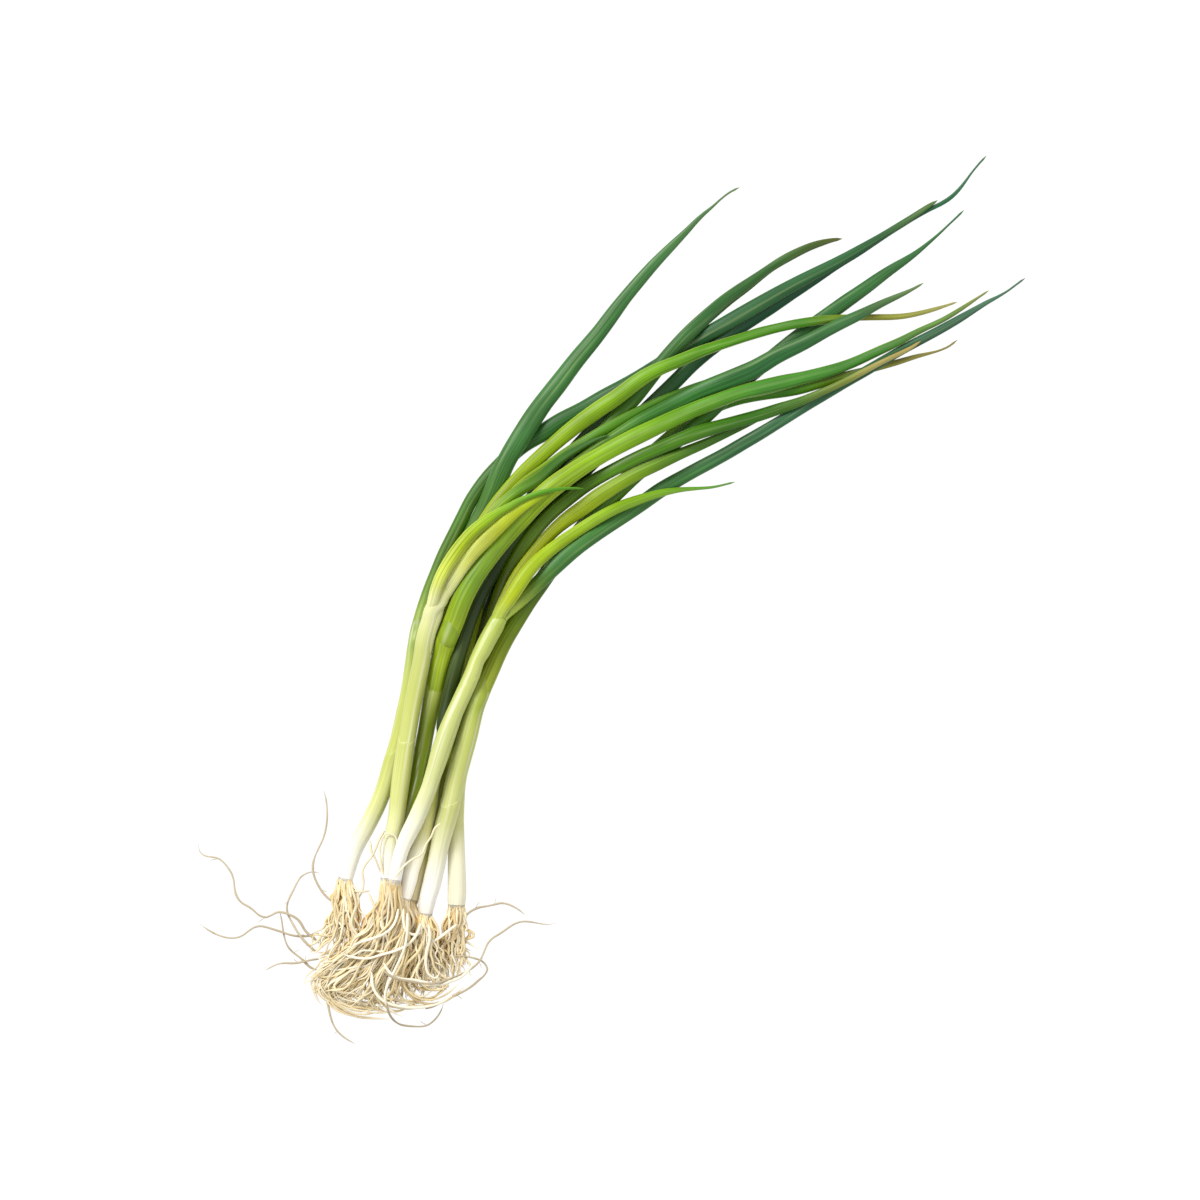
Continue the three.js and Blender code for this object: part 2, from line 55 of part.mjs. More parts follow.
// Single roots that stray out of the mass.
const strayRoots = {
  root_01: [[-218.59,5.31,1.27,0.59,0.59], [-218.02,9.42,2.02,0.59,0.59], [-217.54,13.78,2.2,0.59,0.59], [-215.82,17.92,1.83,0.59,0.59], [-215.61,21.71,2.06,0.59,0.59], [-216.86,26.39,2.09,0.59,0.59], [-218.85,28.97,1.63,0.59,0.59], [-222.66,30.79,0.83,0.59,0.59], [-224.3,33.36,0.6,0.59,0.59], [-224.2,37.67,0.59,0.59,0.59], [-224.41,42.22,0.58,0.59,0.59], [-224.23,46.16,0.59,0.59,0.59], [-222.07,49.74,0.59,0.59,0.59], [-218.48,53.13,0.59,0.59,0.59], [-216.19,56.64,0.59,0.59,0.59], [-214.8,61.41,0.59,0.59,0.59], [-214.93,65.18,0.58,0.58,0.58], [-217.05,69.28,0.46,0.46,0.46], [-217.54,72.27,0.42,0.42,0.42], [-215.03,75.57,0.42,0.42,0.42]],
  root_02: [[-214.97,7.98,0.59,0.59,0.59], [-218.37,10.67,0.59,0.59,0.59], [-221.03,13.82,0.92,0.59,0.59], [-222.96,17.36,1.77,0.59,0.59], [-224.32,21.57,2.14,0.59,0.59], [-225.78,25.81,1.85,0.59,0.59], [-227.45,30.1,1.01,0.59,0.59], [-229.32,32.4,0.64,0.59,0.59], [-232.37,33.91,0.58,0.59,0.59], [-236.35,35.14,0.58,0.59,0.59], [-239.16,37.16,0.59,0.59,0.59], [-241.24,40.19,0.59,0.59,0.59], [-242.68,44.29,0.57,0.57,0.57], [-243.42,48.82,0.45,0.45,0.45], [-243.47,53.49,0.42,0.42,0.42]],
  root_03: [[-224.39,1.04,0.59,0.59,0.59], [-227.2,4.02,1.66,0.59,0.59], [-230.62,7,2.19,0.59,0.59], [-233.28,10.07,2.09,0.59,0.59], [-235.67,13.24,1.42,0.58,0.58], [-238.6,15.5,0.67,0.49,0.49], [-242.52,17.3,0.42,0.42,0.42]],
  root_04: [[-228.91,-1.17,0.59,0.59,0.59], [-229.68,1.32,0.58,0.59,0.59], [-229.23,5.29,0.58,0.59,0.59], [-228.9,9.74,0.59,0.59,0.59], [-228.63,13.95,0.59,0.59,0.59], [-227.35,17.16,0.58,0.59,0.59], [-224.64,20.56,0.58,0.58,0.58], [-220.96,24.22,0.47,0.46,0.46], [-217.77,27.71,0.42,0.42,0.42]],
  root_05: [[-198.93,9.73,5.61,0.59,0.59], [-199.61,12.72,4.24,0.59,0.59], [-199.3,16.2,3.04,0.59,0.59], [-198.14,19.91,2.19,0.59,0.59], [-196.37,23.5,1.84,0.59,0.59], [-194.18,26.45,1.8,0.59,0.59], [-191.7,28.4,1.38,0.59,0.59], [-188.4,29.81,0.73,0.59,0.59], [-184.3,30.74,0.58,0.59,0.59], [-179.71,31.66,0.58,0.59,0.59], [-175.72,33.1,0.58,0.59,0.59], [-171.78,35.22,0.58,0.58,0.58], [-168.1,37.84,0.51,0.51,0.51], [-164.77,40.89,0.43,0.43,0.43], [-161.83,44.34,0.42,0.42,0.42]],
  root_06: [[-222.39,3.63,1.89,0.59,0.59], [-222,8.28,2.61,0.59,0.59], [-221.2,12.76,2.61,0.59,0.59], [-219.82,16.95,1.92,0.59,0.59], [-217.82,21.53,0.86,0.59,0.59], [-215.86,24.97,0.56,0.59,0.59], [-213.25,27.01,0.59,0.59,0.59], [-209.26,28.22,0.58,0.59,0.59], [-204.29,29.07,0.58,0.59,0.59], [-200.17,29.54,0.59,0.58,0.58], [-196.89,28.62,0.53,0.52,0.52], [-194.26,26.46,0.42,0.42,0.42], [-192.97,23.63,0.42,0.42,0.42]],
  root_07: [[-233.12,-9.87,0.59,0.59,0.59], [-235.86,-11.86,0.58,0.59,0.59], [-238.73,-14.72,0.59,0.59,0.59], [-241.81,-18.16,0.59,0.59,0.59], [-243.95,-21.11,0.58,0.59,0.59], [-245.35,-24.08,0.59,0.59,0.59], [-246.02,-27.03,0.57,0.57,0.57], [-246.04,-30.51,0.48,0.48,0.48], [-245.57,-34.69,0.42,0.42,0.42]],
  root_08: [[-173.44,-40.79,6.18,0.59,0.59], [-169.72,-40.67,4.62,0.59,0.59], [-166.2,-41.41,2.94,0.59,0.59], [-163.05,-43.16,1.74,0.59,0.59], [-160.18,-45.88,0.9,0.59,0.59], [-157.09,-48.58,0.57,0.59,0.59], [-154.84,-50.85,0.59,0.59,0.59], [-153.57,-54.12,0.58,0.58,0.58], [-153,-58.11,0.49,0.48,0.48], [-153.19,-62.21,0.42,0.42,0.42]],
  root_09: [[-209.4,-25.37,23.38,0.59,0.59], [-209.79,-28.59,23.01,0.59,0.59], [-209.1,-32.09,22.17,0.59,0.59], [-207.46,-36.15,20.59,0.59,0.59], [-205.5,-40.56,18.17,0.59,0.59], [-203.46,-44.34,16.27,0.59,0.59], [-201.02,-47.5,15.02,0.59,0.59], [-197.91,-50.2,13.2,0.59,0.59], [-194.16,-52.79,10.53,0.59,0.59], [-190.15,-55.29,7.3,0.59,0.59], [-186.24,-57.07,4.95,0.59,0.59], [-182.68,-57.8,3.42,0.59,0.59], [-178.99,-57.42,2.13,0.59,0.59], [-174.75,-56.37,1.06,0.59,0.59], [-171.65,-56.2,0.67,0.59,0.59], [-168.18,-57.35,0.58,0.59,0.59], [-163.75,-58.98,0.59,0.59,0.59], [-159.5,-60.55,0.59,0.59,0.59], [-156.74,-62.43,0.58,0.58,0.58], [-154.6,-65.3,0.54,0.54,0.54], [-152.34,-69.81,0.44,0.44,0.44], [-150.18,-73.39,0.42,0.42,0.42], [-147.82,-75.57,0.42,0.42,0.42]],
  root_10: [[-213.94,-51.07,0.59,0.59,0.59], [-209.97,-53.68,0.59,0.59,0.59], [-205.52,-56.06,0.59,0.59,0.59], [-200.79,-58.48,0.58,0.59,0.59], [-196.29,-60.73,0.58,0.59,0.59], [-192.22,-62.11,0.58,0.59,0.59], [-187.22,-63.22,0.59,0.59,0.59], [-184.07,-63.43,0.57,0.59,0.59], [-182.62,-62.58,0.62,0.59,0.59], [-181.56,-60.32,0.89,0.59,0.59], [-181.68,-57.36,1.48,0.59,0.59], [-183.12,-53.31,2.83,0.57,0.57], [-184.98,-49.43,4.86,0.46,0.46], [-187.17,-46.44,6.42,0.42,0.42]],
  root_11: [[-220.56,-35.26,19.81,0.59,0.59], [-223.59,-38.08,16.89,0.59,0.59], [-225.45,-41.83,13.29,0.59,0.59], [-225.7,-45.67,10.16,0.59,0.59], [-224.06,-49.59,7.29,0.59,0.59], [-221.61,-53.64,4.82,0.59,0.59], [-219,-56.19,3.41,0.59,0.59], [-215.42,-57.29,2.43,0.58,0.58], [-211.22,-57.33,1.88,0.47,0.47], [-207.32,-56.26,1.91,0.42,0.42]],
};

const group = new THREE.Group();
group.name = "spring_onion_bunch";

// Builds a closed tube. The cross-section is an ellipse with n sides that
// stays level across the piece and lies along its path. Points that come
// within snap of the surface are flattened onto it.
function tube(stations, n, snap) {
  const m = stations.length;
  const centre = stations.map((s) => new THREE.Vector3(s[0], s[1], s[2]));
  const verts = [];
  for (let i = 0; i < m; i++) {
    const a = centre[Math.max(0, i - 1)];
    const b = centre[Math.min(m - 1, i + 1)];
    const along = new THREE.Vector3().subVectors(b, a).normalize();
    const side = new THREE.Vector3(-along.y, along.x, 0).normalize();
    const up = new THREE.Vector3().crossVectors(along, side);
    for (let k = 0; k < n; k++) {
      const t = ((k + 0.5) / n) * 2 * Math.PI - Math.PI / 2;
      const p = centre[i]
        .clone()
        .addScaledVector(side, Math.cos(t) * stations[i][3])
        .addScaledVector(up, Math.sin(t) * stations[i][4]);
      if (p.z < snap) p.z = 0;
      verts.push(p.x, p.y, p.z);
    }
  }
  const first = verts.length / 3;
  const c0 = centre[0];
  const c1 = centre[m - 1];
  verts.push(c0.x, c0.y, c0.z, c1.x, c1.y, c1.z);
  const index = [];
  for (let i = 0; i < m - 1; i++) {
    for (let k = 0; k < n; k++) {
      const a = i * n + k;
      const b = i * n + ((k + 1) % n);
      index.push(a, b, b + n, a, b + n, a + n);
    }
  }
  for (let k = 0; k < n; k++) {
    const k1 = (k + 1) % n;
    index.push(first, k1, k);
    index.push(first + 1, (m - 1) * n + k, (m - 1) * n + k1);
  }
  const g = new THREE.BufferGeometry();
  g.setAttribute("position", new THREE.Float32BufferAttribute(verts, 3));
  g.setIndex(index);
  g.computeVertexNormals();
  return g;
}

function add(name, geometry, colour, roughness) {
  const mesh = new THREE.Mesh(
    geometry,
    new THREE.MeshStandardMaterial({ color: colour, roughness, metalness: 0 })
  );
  mesh.name = name;
  group.add(mesh);
}

for (const [name, s] of Object.entries(stems)) add(name, tube(s, 10, 0.3), 0xdfe3b8, 0.5);
for (const [name, s] of Object.entries(leaves)) add(name, tube(s, 8, 0.3), 0x5f9a2c, 0.45);
for (const [name, s] of Object.entries(rootMasses)) add(name, tube(s, 10, 0.5), 0xe6d9b4, 0.8);
for (const [name, s] of Object.entries(strayRoots)) add(name, tube(s, 6, 0.12), 0xe8dcc0, 0.8);

export default group;
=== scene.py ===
# A spring onion bunch, looks only: hollow leaves, sheathed shafts and beards of roots
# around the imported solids. Tables are in millimetres, Blender is in metres.
import math

import bpy
import numpy as np
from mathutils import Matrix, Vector


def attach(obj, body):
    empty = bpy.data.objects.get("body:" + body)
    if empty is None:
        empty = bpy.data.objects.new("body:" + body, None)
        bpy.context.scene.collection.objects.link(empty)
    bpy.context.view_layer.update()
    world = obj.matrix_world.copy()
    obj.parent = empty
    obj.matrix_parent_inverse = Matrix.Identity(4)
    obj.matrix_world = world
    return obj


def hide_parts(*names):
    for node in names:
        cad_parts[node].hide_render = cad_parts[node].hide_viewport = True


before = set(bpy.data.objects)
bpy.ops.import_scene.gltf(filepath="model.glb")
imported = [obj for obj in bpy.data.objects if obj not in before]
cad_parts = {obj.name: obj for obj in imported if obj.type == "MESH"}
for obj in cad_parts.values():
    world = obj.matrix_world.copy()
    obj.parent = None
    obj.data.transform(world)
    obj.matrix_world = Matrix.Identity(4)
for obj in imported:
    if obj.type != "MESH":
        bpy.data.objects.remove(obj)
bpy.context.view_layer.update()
RNG = np.random.default_rng(20)
ROLL = 0.935770  # radians: the view is turned about Z so that the tips point up and to the right
CX, CY = (-0.01869, -0.00502)  # metres: the middle of the view

# ------------------------------------------------------------------ tables
# stations: x, y, z, half width, half thickness
PATHS = {
    "stem_01": [(-190.15, 11.85, 2.98, 3.06, 2.91), (-185.5, 13.74, 3.27, 3.45, 3.28), (-180.8, 15.5, 3.45, 3.58, 3.4), (-176.01, 17.03, 3.51, 3.65, 3.46), (-171.09, 18.01, 3.51, 3.69, 3.51), (-166.11, 18.63, 3.53, 3.71, 3.53), (-161.14, 19.35, 3.53, 3.71, 3.53), (-156.18, 20.16, 3.53, 3.71, 3.53), (-151.26, 21.16, 3.53, 3.71, 3.53), (-146.41, 22.44, 3.53, 3.71, 3.53), (-141.63, 24, 3.53, 3.71, 3.53), (-136.94, 25.79, 3.53, 3.71, 3.53), (-132.25, 27.59, 3.53, 3.71, 3.53), (-127.51, 29.25, 3.53, 3.71, 3.53), (-122.81, 30.99, 3.53, 3.71, 3.53), (-118.2, 32.99, 3.53, 3.71, 3.53), (-113.62, 35.05, 3.53, 3.71, 3.53), (-109.01, 37.05, 3.53, 3.71, 3.53), (-104.44, 39.13, 3.55, 3.71, 3.53), (-99.95, 41.38, 3.69, 3.71, 3.53), (-95.54, 43.77, 3.95, 3.69, 3.51), (-91.17, 46.24, 4.32, 3.61, 3.43), (-86.78, 48.68, 4.81, 3.55, 3.37), (-82.3, 50.96, 5.41, 3.49, 3.31)],
    "stem_02": [(-178.31, -3.46, 9.57, 2.81, 2.67), (-174.06, -0.82, 9.82, 3.09, 2.94), (-169.65, 1.52, 9.97, 3.35, 3.18), (-165.28, 3.96, 10.01, 3.47, 3.29), (-160.88, 6.34, 9.93, 3.58, 3.4), (-156.37, 8.5, 9.76, 3.6, 3.42), (-151.86, 10.66, 9.6, 3.61, 3.42), (-147.5, 13.09, 9.41, 3.74, 3.55), (-143.17, 15.6, 9.33, 3.89, 3.69), (-138.81, 18.04, 9.36, 4.03, 3.83), (-134.42, 20.44, 9.51, 4.05, 3.85), (-130.02, 22.81, 9.77, 4.05, 3.85), (-125.61, 25.18, 10.09, 4, 3.8), (-121.17, 27.48, 10.32, 3.94, 3.74), (-116.69, 29.7, 10.45, 3.94, 3.74), (-112.22, 31.93, 10.69, 3.94, 3.74), (-107.74, 34.16, 11.04, 3.94, 3.74), (-103.23, 36.3, 11.51, 3.94, 3.74), (-98.69, 38.42, 12.08, 3.94, 3.74), (-94.16, 40.53, 12.77, 3.94, 3.74), (-89.62, 42.62, 13.58, 3.94, 3.74), (-85.18, 44.92, 14.5, 3.94, 3.74), (-80.77, 47.28, 15.53, 3.94, 3.74), (-76.18, 49.25, 16.68, 3.87, 3.67), (-71.46, 50.92, 17.93, 3.83, 3.63), (-66.76, 52.63, 19.31, 3.83, 3.63)],
    "stem_03": [(-176.7, -6.41, 14.4, 2.7, 2.56), (-172.17, -3.98, 14.85, 2.88, 2.74), (-167.44, -1.96, 15.17, 3.01, 2.86), (-162.62, -0.19, 15.37, 3.24, 3.07), (-157.66, 1.14, 15.46, 3.48, 3.3), (-152.6, 2.03, 15.59, 3.7, 3.52), (-147.54, 2.9, 15.85, 3.78, 3.59), (-142.52, 3.99, 16.23, 3.78, 3.59), (-137.53, 5.19, 16.72, 3.7, 3.52), (-132.56, 6.49, 17.32, 3.6, 3.42), (-127.69, 8.14, 17.83, 3.61, 3.43), (-122.81, 9.72, 18.23, 3.85, 3.66), (-117.96, 11.42, 18.5, 4.16, 3.96), (-113.08, 13.05, 18.66, 4.26, 4.05), (-108.17, 14.54, 18.69, 4.23, 4.02), (-103.23, 15.96, 18.6, 4.02, 3.82), (-98.27, 17.29, 18.4, 3.74, 3.56), (-93.25, 18.37, 18.07, 3.67, 3.49), (-88.22, 19.41, 17.62, 3.7, 3.51), (-83.2, 20.5, 17.06, 3.71, 3.53), (-78.22, 21.77, 16.37, 3.62, 3.44), (-73.31, 23.29, 15.57, 3.49, 3.32), (-68.24, 24.07, 14.79, 3.86, 3.66), (-63.19, 25.01, 14.12, 3.91, 3.72), (-58.1, 25.73, 13.58, 3.91, 3.72), (-53.01, 26.37, 13.16, 3.83, 3.63)],
    "stem_04": [(-181.18, -14.36, 7.23, 2.93, 2.78), (-176.26, -12.53, 7.74, 3.35, 3.18), (-171.3, -10.79, 8.13, 3.44, 3.27), (-166.5, -8.67, 8.4, 3.49, 3.32), (-161.53, -6.96, 8.54, 3.55, 3.38), (-156.53, -5.37, 8.55, 3.53, 3.36), (-151.59, -3.59, 8.57, 3.49, 3.31), (-146.67, -1.74, 8.5, 3.45, 3.28), (-141.84, 0.32, 8.3, 3.34, 3.17), (-137.09, 2.56, 7.98, 3.24, 3.08), (-132.47, 5.06, 7.54, 3.15, 2.99), (-127.76, 7.37, 7.07, 3.11, 2.95), (-123.02, 9.64, 6.71, 3.11, 2.95), (-118.28, 11.9, 6.26, 3.11, 2.95), (-113.5, 14.07, 5.69, 3.1, 2.95), (-108.73, 16.28, 5, 3.09, 2.94), (-103.95, 18.46, 4.25, 3.06, 2.91), (-99.07, 20.38, 3.64, 3.06, 2.91), (-94.11, 22.12, 3.15, 3.04, 2.89), (-89.15, 23.83, 2.78, 2.92, 2.78)],
    "stem_05": [(-180.97, -26.78, 4.52, 2.81, 2.67), (-176.66, -24.09, 5.15, 3.64, 3.46), (-172.06, -21.96, 5.82, 3.91, 3.72), (-167.31, -20.19, 6.38, 4.09, 3.88), (-162.65, -18.18, 6.83, 4.12, 3.91), (-157.99, -16.18, 7.33, 4.1, 3.9), (-153.41, -13.99, 7.96, 4.06, 3.85), (-148.79, -11.88, 8.7, 4.16, 3.95), (-144.1, -9.94, 9.47, 4.37, 4.15), (-139.37, -8.09, 10.12, 4.47, 4.24), (-134.66, -6.2, 10.66, 4.5, 4.27), (-130, -4.18, 11.09, 4.5, 4.27), (-125.37, -2.11, 11.4, 4.5, 4.27), (-120.69, -0.13, 11.72, 4.5, 4.27), (-115.96, 1.71, 12.17, 4.5, 4.27), (-111.21, 3.48, 12.66, 4.5, 4.27), (-106.46, 5.27, 13.02, 4.5, 4.27), (-101.75, 7.17, 13.28, 4.47, 4.24), (-97.06, 9.11, 13.41, 4.36, 4.14), (-92.33, 10.94, 13.43, 4.25, 4.04), (-87.49, 12.48, 13.33, 4.12, 3.91)],
    "stem_06": [(-169.8, -35.87, 3.7, 3.6, 3.42), (-165.59, -33.06, 3.89, 4.1, 3.9), (-161.44, -30.16, 3.96, 4.12, 3.91), (-157.39, -27.12, 3.92, 4.04, 3.84), (-153.39, -24.01, 3.76, 3.91, 3.71), (-149.38, -20.94, 3.63, 3.82, 3.63), (-145.34, -17.88, 3.52, 3.7, 3.52), (-141.3, -14.83, 3.41, 3.59, 3.41), (-137.21, -11.85, 3.32, 3.5, 3.32), (-133.02, -9, 3.26, 3.43, 3.26), (-128.77, -6.25, 3.3, 3.37, 3.2), (-124.45, -3.59, 3.45, 3.29, 3.12), (-119.98, -1.23, 3.73, 3.26, 3.1), (-115.34, 0.8, 4.11, 3.26, 3.1), (-110.65, 2.71, 4.62, 3.26, 3.1), (-105.97, 4.64, 5.16, 3.26, 3.1), (-101.3, 6.58, 5.58, 3.24, 3.07), (-96.61, 8.5, 5.88, 3.16, 3), (-91.88, 10.31, 6.07, 3.1, 2.94), (-87.09, 11.94, 6.14, 3.04, 2.89)],
    "stem_07": [(-180, -18.24, 2.4, 2.36, 2.24), (-175.33, -16.41, 2.64, 2.77, 2.63), (-170.66, -14.6, 2.76, 2.91, 2.76), (-166.01, -12.73, 2.78, 2.93, 2.78), (-161.38, -10.8, 2.78, 2.93, 2.78), (-156.72, -8.97, 2.78, 2.93, 2.78), (-152.07, -7.09, 2.76, 2.91, 2.76), (-147.47, -5.09, 2.68, 2.81, 2.67), (-142.84, -3.19, 2.69, 2.81, 2.67), (-138.2, -1.3, 2.6, 2.73, 2.6), (-133.57, 0.63, 2.56, 2.7, 2.56), (-128.93, 2.52, 2.56, 2.7, 2.56), (-124.24, 4.3, 2.56, 2.7, 2.56), (-119.56, 6.09, 2.57, 2.7, 2.56), (-114.88, 7.89, 2.57, 2.7, 2.56), (-110.15, 9.54, 2.57, 2.7, 2.56), (-105.39, 11.1, 2.56, 2.7, 2.56), (-100.63, 12.68, 2.56, 2.7, 2.56), (-95.88, 14.29, 2.56, 2.7, 2.56), (-91.15, 15.93, 2.56, 2.7, 2.56)],
    "stem_08": [(-188.5, -7.46, 2.78, 2.81, 2.67), (-183.93, -5.32, 3.07, 3.24, 3.08), (-179.15, -3.73, 3.24, 3.34, 3.18), (-174.35, -2.16, 3.3, 3.41, 3.24), (-169.61, -0.44, 3.29, 3.47, 3.29), (-164.87, 1.29, 3.35, 3.53, 3.35), (-160.11, 2.98, 3.41, 3.59, 3.41), (-155.36, 4.66, 3.47, 3.66, 3.48), (-150.61, 6.37, 3.53, 3.71, 3.52), (-145.89, 8.15, 3.53, 3.71, 3.53), (-141.19, 9.99, 3.53, 3.71, 3.53), (-136.51, 11.87, 3.53, 3.71, 3.53), (-131.87, 13.86, 3.53, 3.71, 3.53), (-127.3, 15.98, 3.53, 3.71, 3.53), (-122.75, 18.18, 3.61, 3.72, 3.53), (-118.21, 20.38, 3.8, 3.76, 3.57), (-113.67, 22.58, 4.11, 3.81, 3.62), (-109.12, 24.76, 4.54, 3.87, 3.68), (-104.55, 26.89, 5.08, 4.05, 3.85), (-99.94, 28.95, 5.74, 4.3, 4.09), (-95.33, 30.98, 6.52, 4.48, 4.26), (-90.78, 33.18, 7.4, 4.56, 4.34), (-86.2, 35.28, 8.41, 4.62, 4.39), (-81.5, 37.13, 9.53, 4.64, 4.4), (-76.79, 38.92, 10.77, 4.64, 4.4)],
    "leaf_01": [(-81.08, 51.58, 5.41, 3.15, 2.08), (-76.54, 53.79, 4.05, 3.15, 2.08), (-71.85, 55.66, 3.04, 3.15, 2.08), (-67.08, 57.34, 2.37, 3.12, 2.06), (-62.29, 58.93, 2.03, 3.04, 2), (-57.44, 60.33, 2.01, 3.04, 2), (-52.54, 61.59, 2, 3.04, 2), (-47.65, 62.83, 2, 3.04, 2), (-42.71, 63.9, 2, 3.04, 2), (-37.74, 64.8, 2, 3.04, 2), (-32.76, 65.66, 2, 3.04, 2), (-27.79, 66.51, 2, 3.03, 2), (-22.81, 67.39, 1.97, 2.99, 1.98), (-17.83, 68.24, 1.97, 2.99, 1.98), (-12.79, 68.61, 2, 3.03, 2), (-7.74, 68.61, 2.06, 3.12, 2.06), (-2.7, 68.27, 2.12, 3.21, 2.12), (2.3, 67.55, 2.21, 3.35, 2.21), (7.27, 66.64, 2.32, 3.51, 2.32), (12.23, 65.68, 2.37, 3.59, 2.37), (17.09, 64.33, 2.42, 3.66, 2.41), (21.82, 62.54, 2.46, 3.74, 2.47), (26.47, 60.58, 2.52, 3.82, 2.52), (31.18, 58.74, 2.52, 3.83, 2.52), (35.87, 56.87, 2.52, 3.82, 2.52), (40.41, 54.67, 2.49, 3.77, 2.49), (44.95, 52.43, 2.45, 3.71, 2.45), (49.56, 50.38, 2.42, 3.65, 2.41), (54.2, 48.38, 2.62, 3.6, 2.37), (58.79, 46.28, 3.17, 3.54, 2.34), (63.37, 44.14, 3.62, 3.49, 2.3), (67.97, 42.05, 3.72, 3.43, 2.26), (72.62, 40.08, 3.46, 3.38, 2.23), (77.33, 38.26, 3.27, 3.31, 2.19), (82.07, 36.51, 2.76, 3.26, 2.15), (86.8, 34.74, 2.39, 3.26, 2.15), (91.52, 32.96, 2.35, 3.26, 2.15), (96.27, 31.22, 2.66, 3.26, 2.15), (101, 29.45, 3.3, 3.26, 2.15), (105.67, 27.53, 4.24, 3.26, 2.15), (110.28, 25.47, 5.02, 3.26, 2.15), (114.89, 23.41, 5.54, 3.26, 2.15), (119.52, 21.39, 5.82, 3.26, 2.15), (124.15, 19.36, 5.96, 3.26, 2.15), (128.77, 17.33, 5.98, 3.24, 2.14), (133.4, 15.3, 5.92, 3.2, 2.11), (138.03, 13.28, 5.81, 3.15, 2.08), (142.64, 11.22, 5.67, 3.07, 2.03), (147.23, 9.1, 5.49, 2.92, 1.93), (151.79, 6.94, 5.34, 2.76, 1.82), (156.34, 4.74, 5.23, 2.59, 1.71), (160.87, 2.51, 5.09, 2.42, 1.6), (165.4, 0.28, 4.9, 2.25, 1.49), (169.97, -1.86, 4.64, 2.08, 1.38), (174.6, -3.9, 4.29, 1.91, 1.26), (179.24, -5.9, 3.89, 1.77, 1.17), (183.87, -7.91, 3.55, 1.66, 1.09), (188.52, -9.88, 3.28, 1.55, 1.03), (193.21, -11.76, 2.97, 1.45, 0.96), (197.92, -13.58, 2.7, 1.34, 0.89), (202.64, -15.38, 2.45, 1.24, 0.82), (207.38, -17.13, 2.26, 1.13, 0.75), (212.12, -18.86, 1.89, 0.96, 0.63), (216.83, -20.69, 1.17, 0.45, 0.45)],
    "leaf_02": [(-77.27, 50.19, 7.81, 2.02, 1.34), (-72.32, 51.36, 6.66, 2.53, 1.67), (-67.36, 52.46, 5.86, 3.02, 1.99), (-62.37, 53.38, 5.18, 3.44, 2.27), (-57.34, 54.11, 4.72, 3.75, 2.48), (-52.31, 54.82, 4.31, 3.95, 2.6), (-47.28, 55.56, 3.66, 4.07, 2.68), (-42.26, 56.3, 3.05, 4.13, 2.73), (-37.24, 57.1, 2.8, 4.2, 2.77), (-32.24, 57.98, 2.82, 4.27, 2.82), (-27.23, 58.87, 2.86, 4.28, 2.82), (-22.23, 59.73, 3.1, 4.28, 2.82), (-17.21, 60.53, 3.69, 4.33, 2.86), (-12.22, 61.48, 4.63, 4.39, 2.9), (-7.3, 62.74, 5.84, 4.37, 2.88), (-2.39, 64.06, 6.84, 4.33, 2.86), (2.56, 65.2, 7.57, 4.28, 2.83), (7.57, 66.05, 8.01, 4.28, 2.83), (12.61, 66.64, 8.11, 4.32, 2.85), (17.68, 67.09, 7.87, 4.35, 2.87), (22.74, 67.48, 7.28, 4.38, 2.89), (27.81, 67.83, 6.35, 4.38, 2.89), (32.89, 68.11, 5.08, 4.32, 2.85), (37.96, 68.21, 3.95, 4.22, 2.79), (43.04, 68.1, 3.16, 4.13, 2.73), (48.12, 67.94, 2.72, 4.04, 2.67), (53.2, 67.87, 2.61, 3.95, 2.61), (58.28, 67.83, 2.54, 3.85, 2.54), (63.36, 67.67, 2.48, 3.75, 2.48), (68.43, 67.37, 2.41, 3.65, 2.41), (73.5, 67.05, 2.34, 3.55, 2.34), (78.58, 66.85, 2.26, 3.43, 2.26), (83.66, 66.8, 2.18, 3.31, 2.18), (88.74, 66.8, 2.1, 3.17, 2.09), (93.82, 66.76, 2, 3.03, 2), (98.9, 66.61, 1.91, 2.89, 1.91), (103.97, 66.33, 1.82, 2.76, 1.82), (109.04, 65.97, 1.73, 2.63, 1.73), (114.1, 65.58, 1.63, 2.48, 1.63), (119.16, 65.06, 1.52, 2.31, 1.52), (124.19, 64.39, 1.4, 2.12, 1.4), (129.22, 63.65, 1.26, 1.91, 1.26), (134.24, 62.88, 1.09, 1.65, 1.09), (139.26, 62.13, 0.91, 1.38, 0.91), (144.31, 61.52, 0.73, 1.11, 0.73), (149.3, 60.63, 0.56, 0.85, 0.56), (154.24, 59.4, 0.45, 0.59, 0.45), (159.22, 58.43, 0.45, 0.45, 0.45), (164.1, 57.01, 0.45, 0.45, 0.45), (168.66, 54.77, 0.45, 0.45, 0.45)],
    "leaf_03": [(-63.37, 54.85, 22.26, 2.25, 1.49), (-58.66, 56.67, 23.44, 2.69, 1.77), (-53.8, 58.07, 24.29, 2.78, 1.84), (-48.82, 58.9, 24.79, 2.86, 1.89), (-43.77, 59.27, 24.95, 2.92, 1.93), (-38.72, 59.44, 24.78, 2.93, 1.93), (-33.67, 59.36, 24.26, 2.92, 1.93), (-28.63, 58.87, 23.45, 2.88, 1.9), (-23.69, 57.84, 22.84, 2.75, 1.82), (-18.85, 56.39, 22.45, 2.44, 1.61), (-14.08, 54.72, 21.95, 1.95, 1.29), (-9.48, 52.62, 21.79, 1.66, 1.1), (-4.86, 50.58, 21.66, 1.44, 0.95), (-0.47, 48.09, 21.7, 1.25, 0.83), (3.76, 45.32, 21.69, 1.13, 0.75), (7.62, 42.06, 21.37, 1.01, 0.67), (11.14, 38.44, 20.71, 0.78, 0.5), (14.36, 34.55, 19.71, 0.51, 0.45), (17.18, 30.35, 18.37, 0.45, 0.45)],
